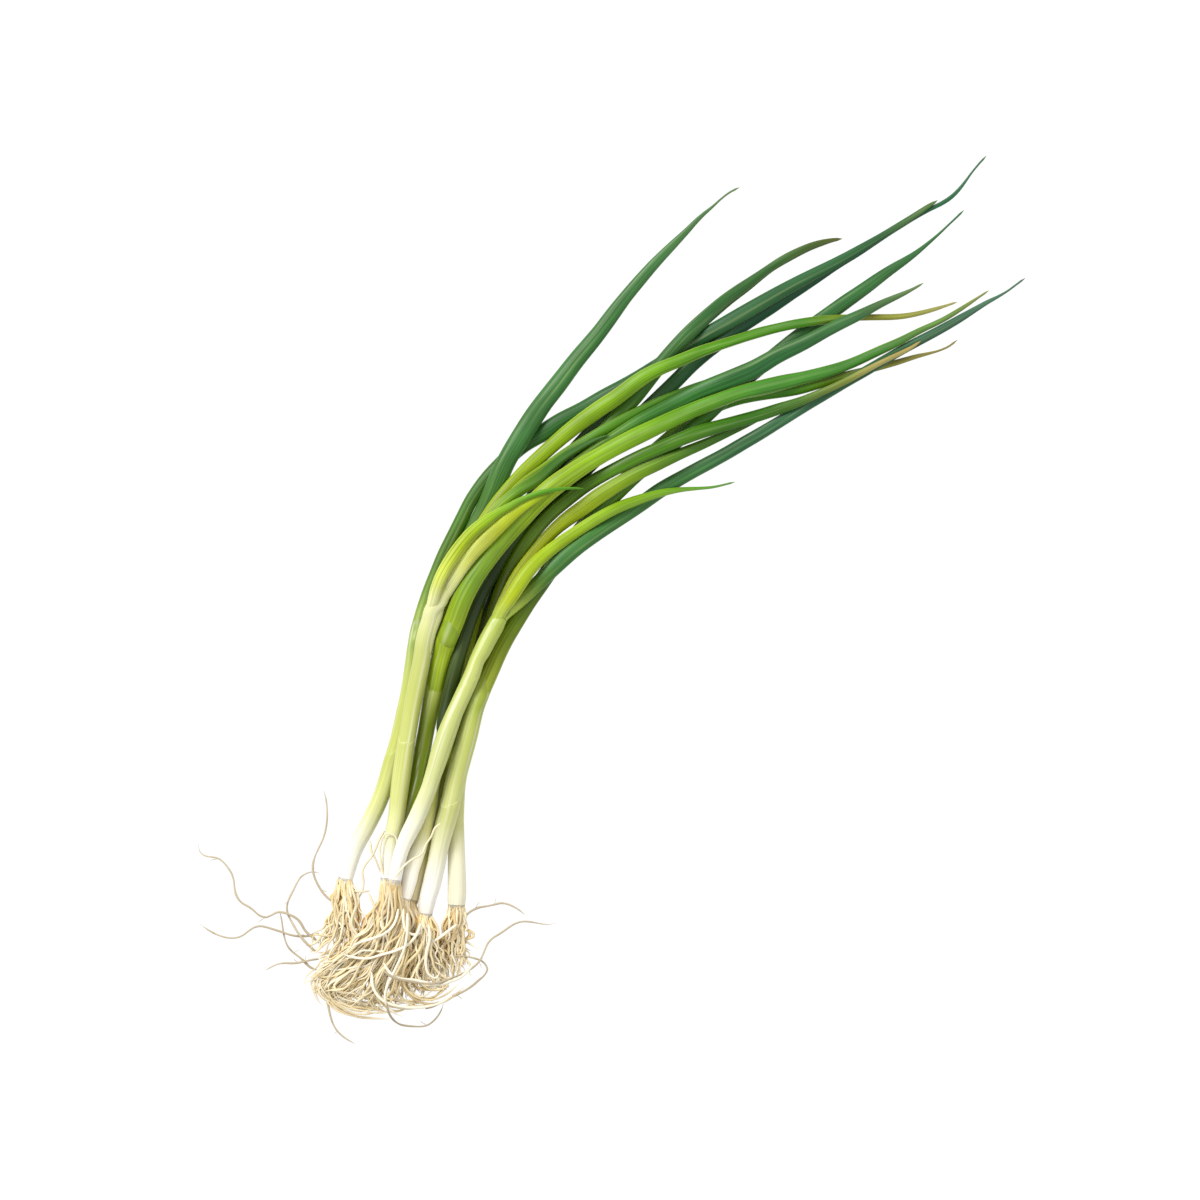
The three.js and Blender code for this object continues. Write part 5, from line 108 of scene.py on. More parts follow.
# Colours along each piece: (fraction of its length, sRGB 0-255).
# The dark low stops of leaf_09, leaf_10 and leaf_12 are painted shade where these leaves run under other pieces.
COLOURS = {
    "stem_01": [(0, 250, 248, 240), (.12, 240, 240, 226), (.22, 228, 228, 193), (.31, 214, 217, 146), (.41, 204, 210, 118), (.6, 196, 204, 100), (.85, 190, 201, 98), (1, 160, 182, 84)],
    "stem_02": [(0, 251, 248, 240), (.1, 243, 240, 222), (.19, 224, 225, 168), (.29, 212, 216, 134), (.5, 202, 209, 116), (.7, 196, 204, 108), (.85, 200, 207, 120), (1, 220, 222, 160)],
    "stem_03": [(0, 252, 249, 240), (.08, 248, 245, 234), (.15, 244, 242, 222), (.24, 233, 232, 202), (.33, 219, 221, 164), (.43, 206, 212, 136), (.55, 198, 207, 124), (.8, 194, 204, 112), (1, 180, 198, 80)],
    "stem_04": [(0, 250, 246, 236), (.12, 248, 244, 230), (.25, 238, 234, 200), (.35, 218, 214, 140), (.5, 196, 202, 96), (.75, 190, 203, 112), (1, 172, 190, 66)],
    "stem_05": [(0, 248, 244, 232), (.10, 250, 247, 240), (.22, 242, 240, 222), (.34, 228, 228, 182), (.46, 212, 216, 142), (.6, 202, 209, 122), (.85, 190, 200, 96), (1, 160, 178, 50)],
    "stem_06": [(0, 240, 234, 208), (.25, 238, 234, 200), (.4, 214, 216, 144), (.6, 200, 206, 108), (1, 176, 188, 70)],
    "stem_07": [(0, 232, 220, 180), (.22, 214, 205, 140), (.34, 185, 184, 72), (.5, 140, 146, 18), (.8, 140, 154, 26), (1, 162, 178, 60)],
    "stem_08": [(0, 250, 247, 238), (.16, 242, 240, 218), (.25, 205, 206, 120), (.33, 148, 162, 28), (.5, 122, 146, 4), (.70, 130, 152, 8), (.84, 176, 190, 84), (.95, 176, 190, 72), (1, 152, 176, 30)],
    "leaf_01": [(0, 164, 184, 88), (.06, 128, 162, 76), (.18, 90, 138, 52), (.33, 64, 120, 54), (.6, 55, 110, 62), (.9, 62, 116, 70), (1, 100, 134, 74)],
    "leaf_02": [(0, 205, 212, 120), (.1, 165, 188, 66), (.2, 96, 146, 60), (.38, 80, 141, 72), (.8, 88, 143, 84), (.95, 108, 152, 96), (1, 132, 160, 104)],
    "leaf_03": [(0, 222, 226, 164), (.12, 206, 215, 118), (.3, 176, 195, 58), (.55, 140, 178, 32), (.75, 96, 152, 20), (1, 80, 140, 24)],
    "leaf_04": [(0, 220, 223, 160), (.3, 210, 215, 126), (.6, 192, 204, 88), (.85, 170, 190, 56), (1, 120, 156, 20)],
    "leaf_05": [(0, 198, 207, 98), (.15, 170, 188, 44), (.3, 150, 179, 16), (.45, 130, 170, 12), (.6, 96, 154, 16), (.76, 74, 134, 22), (.86, 136, 142, 60), (1, 172, 168, 108)],
    "leaf_06": [(0, 150, 170, 30), (.3, 180, 194, 66), (.45, 146, 180, 28), (.6, 96, 146, 14), (.8, 88, 144, 12), (1, 80, 134, 28)],
    "leaf_07": [(0, 150, 170, 30), (.3, 196, 208, 84), (.45, 160, 188, 40), (.58, 112, 160, 14), (.75, 62, 116, 10), (1, 42, 98, 14)],
    "leaf_08": [(0, 152, 176, 30), (.10, 122, 158, 6), (.20, 138, 170, 10), (.27, 158, 188, 38), (.42, 134, 178, 30), (.52, 106, 162, 40), (.62, 84, 146, 60), (.82, 80, 138, 64), (.94, 110, 140, 76), (1, 150, 150, 90)],
    "leaf_09": [(0, 66, 88, 6), (.12, 84, 110, 8), (.2, 62, 92, 6), (.34, 74, 112, 8), (.46, 122, 166, 40), (.56, 74, 136, 58), (.74, 54, 118, 62), (.9, 82, 132, 80), (1, 120, 148, 98)],
    "leaf_10": [(0, 226, 236, 110), (.06, 216, 232, 90), (.11, 176, 196, 40), (.18, 70, 100, 8), (.36, 50, 86, 6), (.5, 92, 142, 30), (.6, 66, 122, 46), (.74, 64, 118, 62), (.88, 66, 116, 54), (.95, 88, 116, 56), (1, 106, 114, 56)],
    "leaf_11": [(0, 178, 198, 50), (.4, 114, 154, 14), (.7, 72, 124, 42), (.85, 58, 106, 62), (1, 52, 104, 54)],
    "leaf_12": [(0, 150, 168, 48), (.12, 60, 92, 8), (.34, 52, 92, 20), (.45, 66, 120, 62), (.6, 40, 94, 62), (.8, 44, 102, 68), (.93, 58, 118, 82), (1, 90, 132, 100)],
    "leaf_13": [(0, 158, 184, 58), (.05, 116, 158, 44), (.12, 80, 140, 70), (.3, 86, 144, 74), (.45, 68, 122, 76), (.6, 64, 118, 82), (.75, 60, 106, 70), (.9, 76, 124, 100), (1, 100, 138, 112)],
    "leaf_14": [(0, 190, 203, 52), (.15, 172, 195, 26), (.4, 156, 188, 30), (.6, 138, 177, 46), (.75, 120, 166, 50), (.9, 100, 158, 62), (1, 116, 156, 94)],
    "leaf_15": [(0, 192, 205, 50), (.2, 182, 194, 38), (.4, 155, 177, 22), (.55, 130, 163, 30), (.7, 94, 141, 14), (.85, 68, 120, 16), (1, 76, 116, 42)],
    "leaf_16": [(0, 192, 204, 104), (.13, 146, 166, 46), (.25, 116, 151, 12), (.45, 86, 134, 14), (.6, 82, 134, 14), (.7, 66, 124, 36), (.78, 84, 126, 50), (.86, 136, 150, 72), (.92, 190, 180, 120), (1, 196, 176, 116)],
    "leaf_17": [(0, 178, 190, 74), (.3, 98, 136, 34), (.5, 116, 162, 24), (.62, 88, 150, 10), (.73, 80, 140, 24), (.82, 112, 132, 44), (.9, 150, 148, 80), (1, 174, 164, 106)],
    "leaf_18": [(0, 182, 193, 70), (.1, 138, 162, 38), (.2, 98, 140, 40), (.4, 86, 134, 30), (.58, 52, 108, 36), (.75, 60, 118, 60), (.87, 70, 122, 70), (1, 66, 126, 78)],
}
# Painted highlight: how far each leaf's rims turn pale, where light shows through the thin edges, 0 to 1.
RIM_HIGHLIGHT = {"leaf_03": .8, "leaf_04": .5, "leaf_05": .75, "leaf_06": .6, "leaf_07": .5, "leaf_08": .6, "leaf_09": .35,
       "leaf_14": .7, "leaf_15": .7, "leaf_16": .3, "leaf_13": .3, "leaf_02": .35, "leaf_10": .35, "leaf_12": .1,
       "leaf_01": .25, "leaf_17": .2, "leaf_18": .1, "leaf_11": .2}


# How deep each leaf's green is, as a factor.
DEPTH = {"leaf_01": .62, "leaf_02": .56, "leaf_03": .88, "leaf_04": .92, "leaf_05": .84, "leaf_06": .76, "leaf_07": .74, "leaf_08": .80, "leaf_09": .64, "leaf_10": .60, "leaf_11": .70, "leaf_12": .64, "leaf_13": .62, "leaf_14": .86, "leaf_15": .84, "leaf_16": .72, "leaf_17": .72, "leaf_18": .66}
# Painted shade on the stretches that lie low in the bundle, under other pieces: from, to, factor.
SHADE = {"leaf_09": (0, .38, .55), "leaf_10": (.12, .46, .5), "leaf_11": (0, 1, .6), "leaf_12": (0, .5, .5), "leaf_16": (0, .28, .6), "leaf_17": (0, .45, .6), "leaf_18": (.1, .3, .8), "leaf_15": (0, .12, .7)}


def lin(c):
    c = np.asarray(c, float) / 255.0
    return np.where(c <= 0.04045, c / 12.92, ((c + 0.055) / 1.055) ** 2.4)


def ramp(name, f):
    t = np.array(COLOURS[name], float)
    rgb = lin(t[:, 1:])
    grey = rgb.mean(1, keepdims=True)
    rgb = np.clip(grey + (rgb - grey) * (1.24 if name.startswith("leaf") else 1.0), 0.002, 1)
    # painted light: stem_04 and stem_07 lie in the shade of the shafts beside them, so their colour is lifted to make
    # up for it
    rgb = rgb * (DEPTH.get(name, .86) * .66 if name.startswith("leaf") else (.96 if name in ("stem_04", "stem_07") else .82))
    out = np.stack([np.interp(f, t[:, 0], rgb[:, i]) for i in range(3)], -1)
    # painted shade: the low stretches that lie under other pieces are darkened
    if name in SHADE:
        a, b, k = SHADE[name]
        w = np.clip((np.asarray(f) - a) / .06 + (1 if a == 0 else 0), 0, 1) * np.clip((b - np.asarray(f)) / .08, 0, 1)
        out = out * (1 - (1 - k) * w)[..., None]
    if name.startswith("stem"):
        green = np.clip((out[:, 0] - out[:, 2]) / out[:, 0] * 1.25, 0, 1)
        out = out * (1 - .15 * green)[:, None]
    return out


# ------------------------------------------------------------------ curves
def spline(P, n):
    """Catmull-Rom resampling of rows (x, y, z, ...) at n even steps of length."""
    P = np.asarray(P, float)
    d = np.r_[0, np.cumsum(np.linalg.norm(np.diff(P[:, :3], axis=0), axis=1))]
    t = np.linspace(0, d[-1], n)
    m = np.gradient(P, d, axis=0)
    k = np.clip(np.searchsorted(d, t, side="right") - 1, 0, len(d) - 2)
    h = (d[k + 1] - d[k])[:, None]
    s = ((t - d[k]) / (d[k + 1] - d[k]))[:, None]
    a = 2 * s**3 - 3 * s**2 + 1
    b = s**3 - 2 * s**2 + s
    c = -2 * s**3 + 3 * s**2
    e = s**3 - s**2
    return a * P[k] + b * h * m[k] + c * P[k + 1] + e * h * m[k + 1], t


def frames(C):
    T = np.gradient(C, axis=0)
    T /= np.linalg.norm(T, axis=1)[:, None]
    S = np.stack([-T[:, 1], T[:, 0], np.zeros(len(T))], -1)
    S /= np.linalg.norm(S, axis=1)[:, None]
    return T, S, np.cross(T, S)


def wob(n, amp, scale, seed):
    """Smooth random walk of n steps, zero mean."""
    r = np.random.default_rng(seed)
    k = max(3, int(n / scale) + 3)
    v = r.normal(size=k)
    x = np.linspace(0, k - 1, n)
    i = np.clip(x.astype(int), 0, k - 2)
    s = x - i
    s = s * s * (3 - 2 * s)
    return amp * (v[i] * (1 - s) + v[i + 1] * s)


class Soup:
    """Collects tubes into one mesh with a colour and a UV for every corner."""

    def __init__(self):
        self.v, self.f, self.c, self.uv, self.n = [], [], [], [], 0

    def grid(self, V, col, u, v, close_start=True, close_end=True, flip=False):
        m, n = V.shape[:2]
        base = self.n
        self.v.append(V.reshape(-1, 3))
        self.n += m * n
        i = np.arange(m - 1)[:, None] * n
        k = np.arange(n)[None, :]
        k1 = (k + 1) % n
        F = np.stack([i + k, i + k1, i + n + k1, i + n + k], -1).reshape(-1, 4) + base
        if flip:
            F = F[:, ::-1]
        self.f.append(F)
        self.c.append(col.reshape(-1, 3))
        uu = np.broadcast_to(u, (m, n))
        vv = np.broadcast_to(v[:, None], (m, n))
        self.uv.append(np.stack([uu, vv], -1).reshape(-1, 2))
        for end, on in ((0, close_start), (m - 1, close_end)):
            if not on:
                continue
            c = V[end].mean(0)
            self.v.append(np.vstack([V[end], c[None]]))
            self.c.append(np.vstack([col[end], col[end].mean(0)[None]]))
            self.uv.append(np.array([[uu[end, 0], v[end]]] * (n + 1)))
            j = self.n
            ring = [[j + n, j + (q + 1) % n, j + q] for q in range(n)]
            if end:
                ring = [r[::-1] for r in ring]
            if flip:
                ring = [r[::-1] for r in ring]
            self.f.append(np.array(ring))
            self.n += n + 1

    def build(self, name, mat, nodes=()):
        V = np.vstack(self.v) / 1000.0
        faces = [tuple(int(a) for a in r) for F in self.f for r in F]
        me = bpy.data.meshes.new(name)
        me.from_pydata(V.tolist(), [], faces)
        C = np.vstack(self.c)
        UV = np.vstack(self.uv)
        idx = np.empty(len(me.loops), dtype=np.int32)
        me.loops.foreach_get("vertex_index", idx)
        ca = me.color_attributes.new("Tint", "FLOAT_COLOR", "POINT")
        ca.data.foreach_set("color", np.c_[C, np.ones(len(C))].astype(np.float32).ravel())
        uvl = me.uv_layers.new(name="UVMap")
        uvl.data.foreach_set("uv", UV[idx].astype(np.float32).ravel())
        me.polygons.foreach_set("use_smooth", np.ones(len(me.polygons), dtype=bool))
        me.materials.append(mat)
        me.update()
        ob = bpy.data.objects.new(name, me)
        bpy.context.scene.collection.objects.link(ob)
        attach(ob, "root")
        if nodes:
            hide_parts(*nodes)
        return ob


# --------------------------------------------------------------- materials
def material(name, rough, streak_u, streak_v, streak_amt, bump, sub, spec=0.5, coat=0.0, glow=(0.8, 1.0, 0.3), dark=0.75, light=1.22, blotch=0.12):
    m = bpy.data.materials.new(name)
    m.use_nodes = True
    nt = m.node_tree
    for n in list(nt.nodes):
        nt.nodes.remove(n)
    N = nt.nodes.new
    L = nt.links.new
    out = N("ShaderNodeOutputMaterial")
    b = N("ShaderNodeBsdfPrincipled")
    L(b.outputs[0], out.inputs[0])
    b.inputs["Roughness"].default_value = rough
    b.inputs["Specular IOR Level"].default_value = spec
    b.inputs["Subsurface Weight"].default_value = sub
    b.inputs["Subsurface Radius"].default_value = glow
    b.inputs["Subsurface Scale"].default_value = 0.002
    b.inputs["Coat Weight"].default_value = coat
    tint = N("ShaderNodeVertexColor")
    tint.layer_name = "Tint"
    uv = N("ShaderNodeUVMap")
    uv.uv_map = "UVMap"
    mp = N("ShaderNodeMapping")
    mp.inputs["Scale"].default_value = (streak_u, streak_v, 1)
    L(uv.outputs[0], mp.inputs[0])
    nz = N("ShaderNodeTexNoise")
    nz.inputs["Scale"].default_value = 1.0
    nz.inputs["Detail"].default_value = 3.0
    nz.inputs["Roughness"].default_value = 0.65
    L(mp.outputs[0], nz.inputs["Vector"])
    r = N("ShaderNodeMapRange")
    r.inputs["From Min"].default_value = 0.3
    r.inputs["From Max"].default_value = 0.7
    r.inputs["To Min"].default_value = dark
    r.inputs["To Max"].default_value = light
    L(nz.outputs["Fac"], r.inputs["Value"])
    # slow blotches along the piece
    mp2 = N("ShaderNodeMapping")
    mp2.inputs["Scale"].default_value = (3.0, 45.0, 1)
    L(uv.outputs[0], mp2.inputs[0])
    nz2 = N("ShaderNodeTexNoise")
    nz2.inputs["Scale"].default_value = 1.0
    nz2.inputs["Detail"].default_value = 2.0
    L(mp2.outputs[0], nz2.inputs["Vector"])
    r2 = N("ShaderNodeMapRange")
    r2.inputs["From Min"].default_value = 0.3
    r2.inputs["From Max"].default_value = 0.7
    r2.inputs["To Min"].default_value = 1 - blotch
    r2.inputs["To Max"].default_value = 1 + blotch
    L(nz2.outputs["Fac"], r2.inputs["Value"])
    mu = N("ShaderNodeMath")
    mu.operation = "MULTIPLY"
    L(r.outputs[0], mu.inputs[0])
    L(r2.outputs[0], mu.inputs[1])
    mix = N("ShaderNodeMix")
    mix.data_type = "RGBA"
    mix.blend_type = "MULTIPLY"
    mix.inputs["Factor"].default_value = streak_amt
    L(tint.outputs["Color"], mix.inputs["A"])
    L(mu.outputs[0], mix.inputs["B"])
    L(mix.outputs["Result"], b.inputs["Base Color"])
    if bump > 0:
        bp = N("ShaderNodeBump")
        bp.inputs["Strength"].default_value = bump
        bp.inputs["Distance"].default_value = 0.00012
        L(nz.outputs["Fac"], bp.inputs["Height"])
        L(bp.outputs[0], b.inputs["Normal"])
    return m


M_LEAF = material("leaf_skin", 0.42, 42, 8, 0.9, 0.45, 0.0, spec=0.24, dark=.54, light=1.42, blotch=.18)
M_STEM = material("shaft_skin", 0.40, 40, 6, 0.85, 0.3, 0.0, spec=0.40, glow=(1.0, 0.9, 0.6), dark=0.84, light=1.10, blotch=0.04)
M_ROOT = material("root_fibre", 0.62, 4, 260, 0.7, 0.2, 0.0, spec=0.12, glow=(1.0, 0.72, 0.36), dark=0.90, light=1.08, blotch=0.06)

# ------------------------------------------------------------------ leaves
NA = 28


def ring_points(C, S, U, a, b, n=NA, shape=None):
    th = (np.arange(n) + 0.5) / n * 2 * np.pi - np.pi / 2
    cs, sn = np.cos(th), np.sin(th)
    R = np.ones((len(C), n)) if shape is None else shape
    V = C[:, None] + S[:, None] * (cs * R)[..., None] * a[:, None, None] + U[:, None] * (sn * R)[..., None] * b[:, None, None]
    V[..., 2] = np.maximum(V[..., 2], 0.05)
    return V, th


def leaf(name, k):
    own = np.array(PATHS[name], float)
    par = np.array(PATHS[PARENT[name]], float)
    own_d = np.r_[0, np.cumsum(np.linalg.norm(np.diff(own[:, :3], axis=0), axis=1))]
    # run back inside the shaft so that the leaf grows out of it
    if name != "leaf_09":
        end = par[-1]
        back = par[-5:-1].copy()
        s = np.linspace(0.45, 0.8, len(back))[:, None]
        full = np.array([np.interp(22.0, own_d, own[:, 3]), np.interp(22.0, own_d, own[:, 4])])
        grow = np.clip(own_d / 22.0, 0, 1)[:, None]
        own[:, 3:] = np.maximum(own[:, 3:], full * (0.86 + 0.14 * grow) * (own_d < 22)[:, None])
        back[:, 3:] = np.minimum(own[0, 3:] if MAIN_LEAF[PARENT[name]] != name else back[:, 3:], back[:, 3:] * 0.95) * (0.955 if MAIN_LEAF[PARENT[name]] == name else (0.7 + 0.3 * s))
        off = (own[0, :3] - end[:3])
        w = np.linspace(0.1, 0.75, len(back))[:, None]
        back[:, :3] += off * w * np.array([1, 1, 0.7])
        P = np.vstack([back, own])
    else:
        P = own
        P[:, 3] = np.maximum(P[:, 3], 3.0 * (own_d < 20) * np.clip(.6 + own_d / 8, 0, 1))
    step = 2.2
    L = np.linalg.norm(np.diff(P[:, :3], axis=0), axis=1).sum()
    X, t = spline(P, int(L / step) + 2)
    lb = L - np.linalg.norm(np.diff(own[:, :3], axis=0), axis=1).sum()
    f = np.clip((t - lb) / (L - lb), 0, 1)
    C, a, b = X[:, :3], np.maximum(X[:, 3], 0.12), np.maximum(X[:, 4], 0.12)
    # the last few mm close to a point
    tip = np.clip((t[-1] - t) / 1.6, 0, 1) ** 0.5
    a = np.maximum(a, 0.30) * np.maximum(tip, .15)
    b = np.maximum(b, 0.26) * np.maximum(tip, .15)
    T, S, U = frames(C)
    m = len(t)
    th = (np.arange(NA) + 0.5) / NA * 2 * np.pi - np.pi / 2
    # faint flats and creases that drift around the tube, and a soft keel
    ph = wob(m, 0.5, 28, 100 + k)[:, None]
    R = 1 + 0.016 * np.cos(7 * th[None] + 3 * ph) + 0.012 * np.cos(12 * th[None] - 5 * ph) + wob(m, 0.012, 5, 300 + k)[:, None]
    crease = np.exp(-((np.angle(np.exp(1j * (th[None] - (np.pi / 2 + 0.5 * np.sin(1.7 * k) + ph * 0.5))))) ** 2) / 0.03)
    R = R - (0.05 + 0.04 * math.sin(k * 2.3)) * crease * np.clip(f * 4, 0, 1)[:, None]
    V, th = ring_points(C, S, U, a * 1.035, b * 1.02, shape=R)
    mix0 = np.clip((t - lb + 4.0) / (30.0 if PARENT[name] in MAIN_LEAF and MAIN_LEAF[PARENT[name]] == name else 12.0), 0, 1)[:, None]
    mix0 = mix0 * mix0 * (3 - 2 * mix0)
    if name == "leaf_09":
        mix0 = mix0 * 0 + 1  # it leaves from under the shafts already green; its dark low stops are painted shade
    start = ramp(PARENT[name], np.ones(1))
    col = np.repeat((start * (1 - mix0) + ramp(name, f) * mix0)[:, None], NA, 1)
    # painted highlight: the two edges of the tube turn pale, where light shows through the thin wall
    side = np.abs(np.cos(th))[None]
    rim_highlight = RIM_HIGHLIGHT.get(name, .3)
    rim_highlight_colour = (lin((214, 222, 120)) if rim_highlight > .45 else lin((150, 185, 110))) * .66
    dry = np.clip((f - .86) * 8, 0, 1)[:, None]
    w = (rim_highlight * np.clip((side - .80) / .2, 0, 1) ** 1.4 * (0.55 + wob(m, .2, 14, 500 + k)[:, None]) * (1 - dry * .6))[..., None]
    w = np.clip(w, 0, 1)
    col = col * (1 - w) + rim_highlight_colour * w
    # waxy bloom and painted highlight: long pale streaks on the upper side, where the light falls
    for q in range(3):
        c0 = np.pi / 2 + np.random.default_rng(900 + 7 * k + q).uniform(-1.0, 1.0)
        band = np.exp(-((th[None] - c0 - 0.25 * wob(m, 1, 30, 40 * k + q)[:, None]) ** 2) / 0.012)
        amt = np.clip(0.16 + wob(m, .16, 22, 60 * k + q), 0, .5)[:, None]
        w = (band * amt)[..., None]
        col = col * (1 - w) + (col * 0.45 + lin((190, 208, 150)) * 0.36) * w
    so = Soup()
    u = th / (2 * np.pi) + 1.7 * k
    so.grid(V, col, u[None], t / 1000.0 * 1.0 + 0.37 * k)
    return so.build("skin_" + name, M_LEAF, [name])


# ------------------------------------------------------------------ shafts
def stem(name, k):
    own = np.array(PATHS[name], float)
    lf = np.array(PATHS[MAIN_LEAF[name]], float)
    d = np.r_[0, np.cumsum(np.linalg.norm(np.diff(lf[:, :3], axis=0), axis=1))]
    q = np.interp([3.0, 8.0, 14.0], d, np.arange(len(d)))
    ext = np.stack([np.interp(q, np.arange(len(d)), lf[:, j]) for j in range(5)], -1)
    full = np.array([np.interp(22.0, d, lf[:, 3]), np.interp(22.0, d, lf[:, 4])])
    ext[:, 3:] = np.maximum(ext[:, 3:], full * 0.9) + np.array([0.12, 0.05, -0.10])[:, None]
    hold = np.array([0.8, 0.4, 0.1])[:, None]
    ext[:, 3:] = np.maximum(ext[:, 3:], ext[:, 3:] * (1 - hold) + own[-1, 3:] * hold)
    ext[:, :2] += np.array(LEAN.get(name, (0, 0))) * np.array([1.0, 1.0, .6])[:, None]
    Pn = np.vstack([own, ext])
    L = np.linalg.norm(np.diff(Pn[:, :3], axis=0), axis=1).sum()
    Lown = np.linalg.norm(np.diff(own[:, :3], axis=0), axis=1).sum()
    X, t = spline(Pn, int(L / (1.4)) + 2)
    f = np.clip(t / Lown, 0, 1)
    C, a, b = X[:, :3], X[:, 3].copy(), X[:, 4].copy()
    n = 36
    T, S, U = frames(C)
    m = len(t)
    th = (np.arange(n) + 0.5) / n * 2 * np.pi - np.pi / 2
    ph = wob(m, 0.4, 30, 1100 + k)[:, None]
    # the root plate: a knobbly brown collar at the base
    plate = np.exp(-((t - 0.5) / 0.8) ** 2)
    R = 1 + 0.005 * np.cos(9 * th[None] + 2 * ph) + 0.003 * np.cos(17 * th[None] + ph) + wob(m, 0.006, 6, 1300 + k)[:, None]
    R = R + (plate * 0.012)[:, None] * (1 + 0.6 * np.cos(11 * th[None] + k))
    base = np.clip(t / 1.6, 0, 1) ** 0.5
    a = a * (0.95 + 0.05 * base)
    b = b * (0.95 + 0.05 * base)
    V, th = ring_points(C, S, U, a, b, n=n, shape=R)
    # slanted mouth: the last rings slide along the leaf by angle
    cut = 7.0 * (0.5 + 0.5 * np.cos(th - MOUTH.get(name, 1.2))) ** 0.8 + 0.3 * np.cos(6 * th)
    back = np.clip((t - (L - 24.0)) / 24.0, 0, 1)[:, None] * cut[None]
    V = V - T[:, None] * back[..., None]
    col = np.repeat(ramp(name, f)[:, None], n, 1)
    over = np.clip((t - Lown + 4.0) / 30.0, 0, 1)[:, None, None]
    over = over * over * (3 - 2 * over)
    col = col * (1 - over) + ramp(MAIN_LEAF[name], np.clip((t - Lown) / d[-1], 0, 1))[:, None] * over
    brown = (plate * .7)[:, None] * (0.6 + 0.4 * np.cos(7 * th[None] + 2 * k))
    brown = np.clip(brown, 0, 1)[..., None]
    col = col * (1 - brown) + lin((232, 200, 140)) * .85 * brown
    # whitish veins
    for q in range(9):
        c0 = np.random.default_rng(1500 + 11 * k + q).uniform(-np.pi / 2, 3 * np.pi / 2)
        dth = np.angle(np.exp(1j * (th[None] - c0 - 0.10 * wob(m, 1, 30, 33 * k + q)[:, None])))
        w = (np.exp(-(dth**2) / 0.006) * np.clip(0.30 + wob(m, .22, 18, 70 * k + q), 0, .7)[:, None] * np.clip((f - .2) * 4, 0, 1)[:, None])[..., None]
        col = col * (1 - w) + lin((243, 243, 214)) * .74 * w
    so = Soup()
    so.grid(V, col, (th / (2 * np.pi) + 2.3 * k)[None], t / 1000.0 + 0.41 * k)
    # outer sheaths: thin papery coats that stop part way up with a torn, slanted edge
    for (f1, slant, lift, phs) in SHEATHS.get(name, []):
        tend = f1 * Lown
        sel = t <= tend
        ms = int(sel.sum())
        if ms < 6:
            continue
        r_ = R[:ms] * 1.0
        grow = lift * np.clip((t[:ms] - 3) / 12, 0, 1)
        A = a[:ms] + grow
        B = b[:ms] + grow
        W, _ = ring_points(C[:ms], S[:ms], U[:ms], A, B, n=n, shape=r_)
        ragged = 0.5 * np.cos(5 * th + phs) + 0.35 * np.cos(11 * th - 2 * phs)
        cut = slant * (0.5 + 0.5 * np.cos(th - phs)) + ragged
        bk = np.clip((t[:ms] - (tend - 1.6 * slant - 3)) / (1.6 * slant + 3), 0, 1)[:, None] * cut[None]
        W = W - T[:ms, None] * bk[..., None]
        cc = col[:ms].copy()
        e = np.clip((t[:ms] - (tend - 1.4)) / 1.4, 0, 1)[:, None, None] * 0.25
        cc = cc * (1 - e) + lin((238, 236, 205)) * .74 * e
        # the coat folds inward at its edge to meet the shaft
        inner = W[-1] * 1.0
        Cn = C[ms - 1]
        W2 = np.concatenate([W, (Cn + (inner - Cn) * 0.985)[None]], 0)
        cc2 = np.concatenate([cc, cc[-1:]], 0)
        tv = np.r_[t[:ms], t[ms - 1] + 0.3]
        so.grid(W2, cc2, (th / (2 * np.pi) + 2.3 * k + .5)[None], tv / 1000.0 + 0.41 * k)
    return so.build("skin_" + name, M_STEM, [name])


# How far a mouth leans towards its second leaf, along and across the row.
LEAN = {"stem_03": (-0.35, 0.75), "stem_02": (-0.1, 0.3)}
# Which way each mouth's low side faces, as an angle around the shaft.
MOUTH = {"stem_01": 0.4, "stem_02": 2.0, "stem_03": 2.2, "stem_04": 1.0, "stem_05": 2.6, "stem_06": 1.2, "stem_07": 2.6, "stem_08": 2.8}
SHEATHS = {
    "stem_01": [(.62, 8.0, .08, .8)],
    "stem_02": [(.56, 6.0, .10, 1.4)],
    "stem_03": [(.84, 9.0, .06, 1.1)],
    "stem_04": [(.60, 9.0, .08, 1.8)],
    "stem_05": [(.62, 11.0, .08, 1.0)],
    "stem_06": [(.55, 9.0, .08, 2.2)],
    "stem_07": [(.36, 9.0, .08, 1.7)],
}

# ------------------------------------------------------------------- roots


def strand(so, P, r0, r1, col0, col1, n=7, seed=0, bump=0.10):
    P = np.asarray(P, float)
    L = np.linalg.norm(np.diff(P, axis=0), axis=1).sum()
    X, t = spline(P, max(6, int(L / (1.5)) + 2))
    m = len(t)
    s = t / t[-1]
    r = (r0 * (1 - s) + r1 * s) * (1 + wob(m, bump, 3, seed))
    r = r * np.clip((1 - s) * 12, 0.25, 1) * np.clip(.45 + t / 4.0, 0, 1)
    C = X.copy()
    T, S, U = frames(C)
    th = np.arange(n) / n * 2 * np.pi
    V = C[:, None] + S[:, None] * np.cos(th)[None, :, None] * r[:, None, None] + U[:, None] * np.sin(th)[None, :, None] * r[:, None, None]
    V[..., 2] = np.maximum(V[..., 2], 0.03)
    c = col0 * (1 - s[:, None]) + col1 * s[:, None]
    c = np.repeat((c * (1 + wob(m, .06, 4, seed + 1))[:, None])[:, None], n, 1)
    so.grid(V, np.clip(c, 0, 1), (th / (2 * np.pi) + seed * .13)[None], t / 1000.0 + seed * .071)


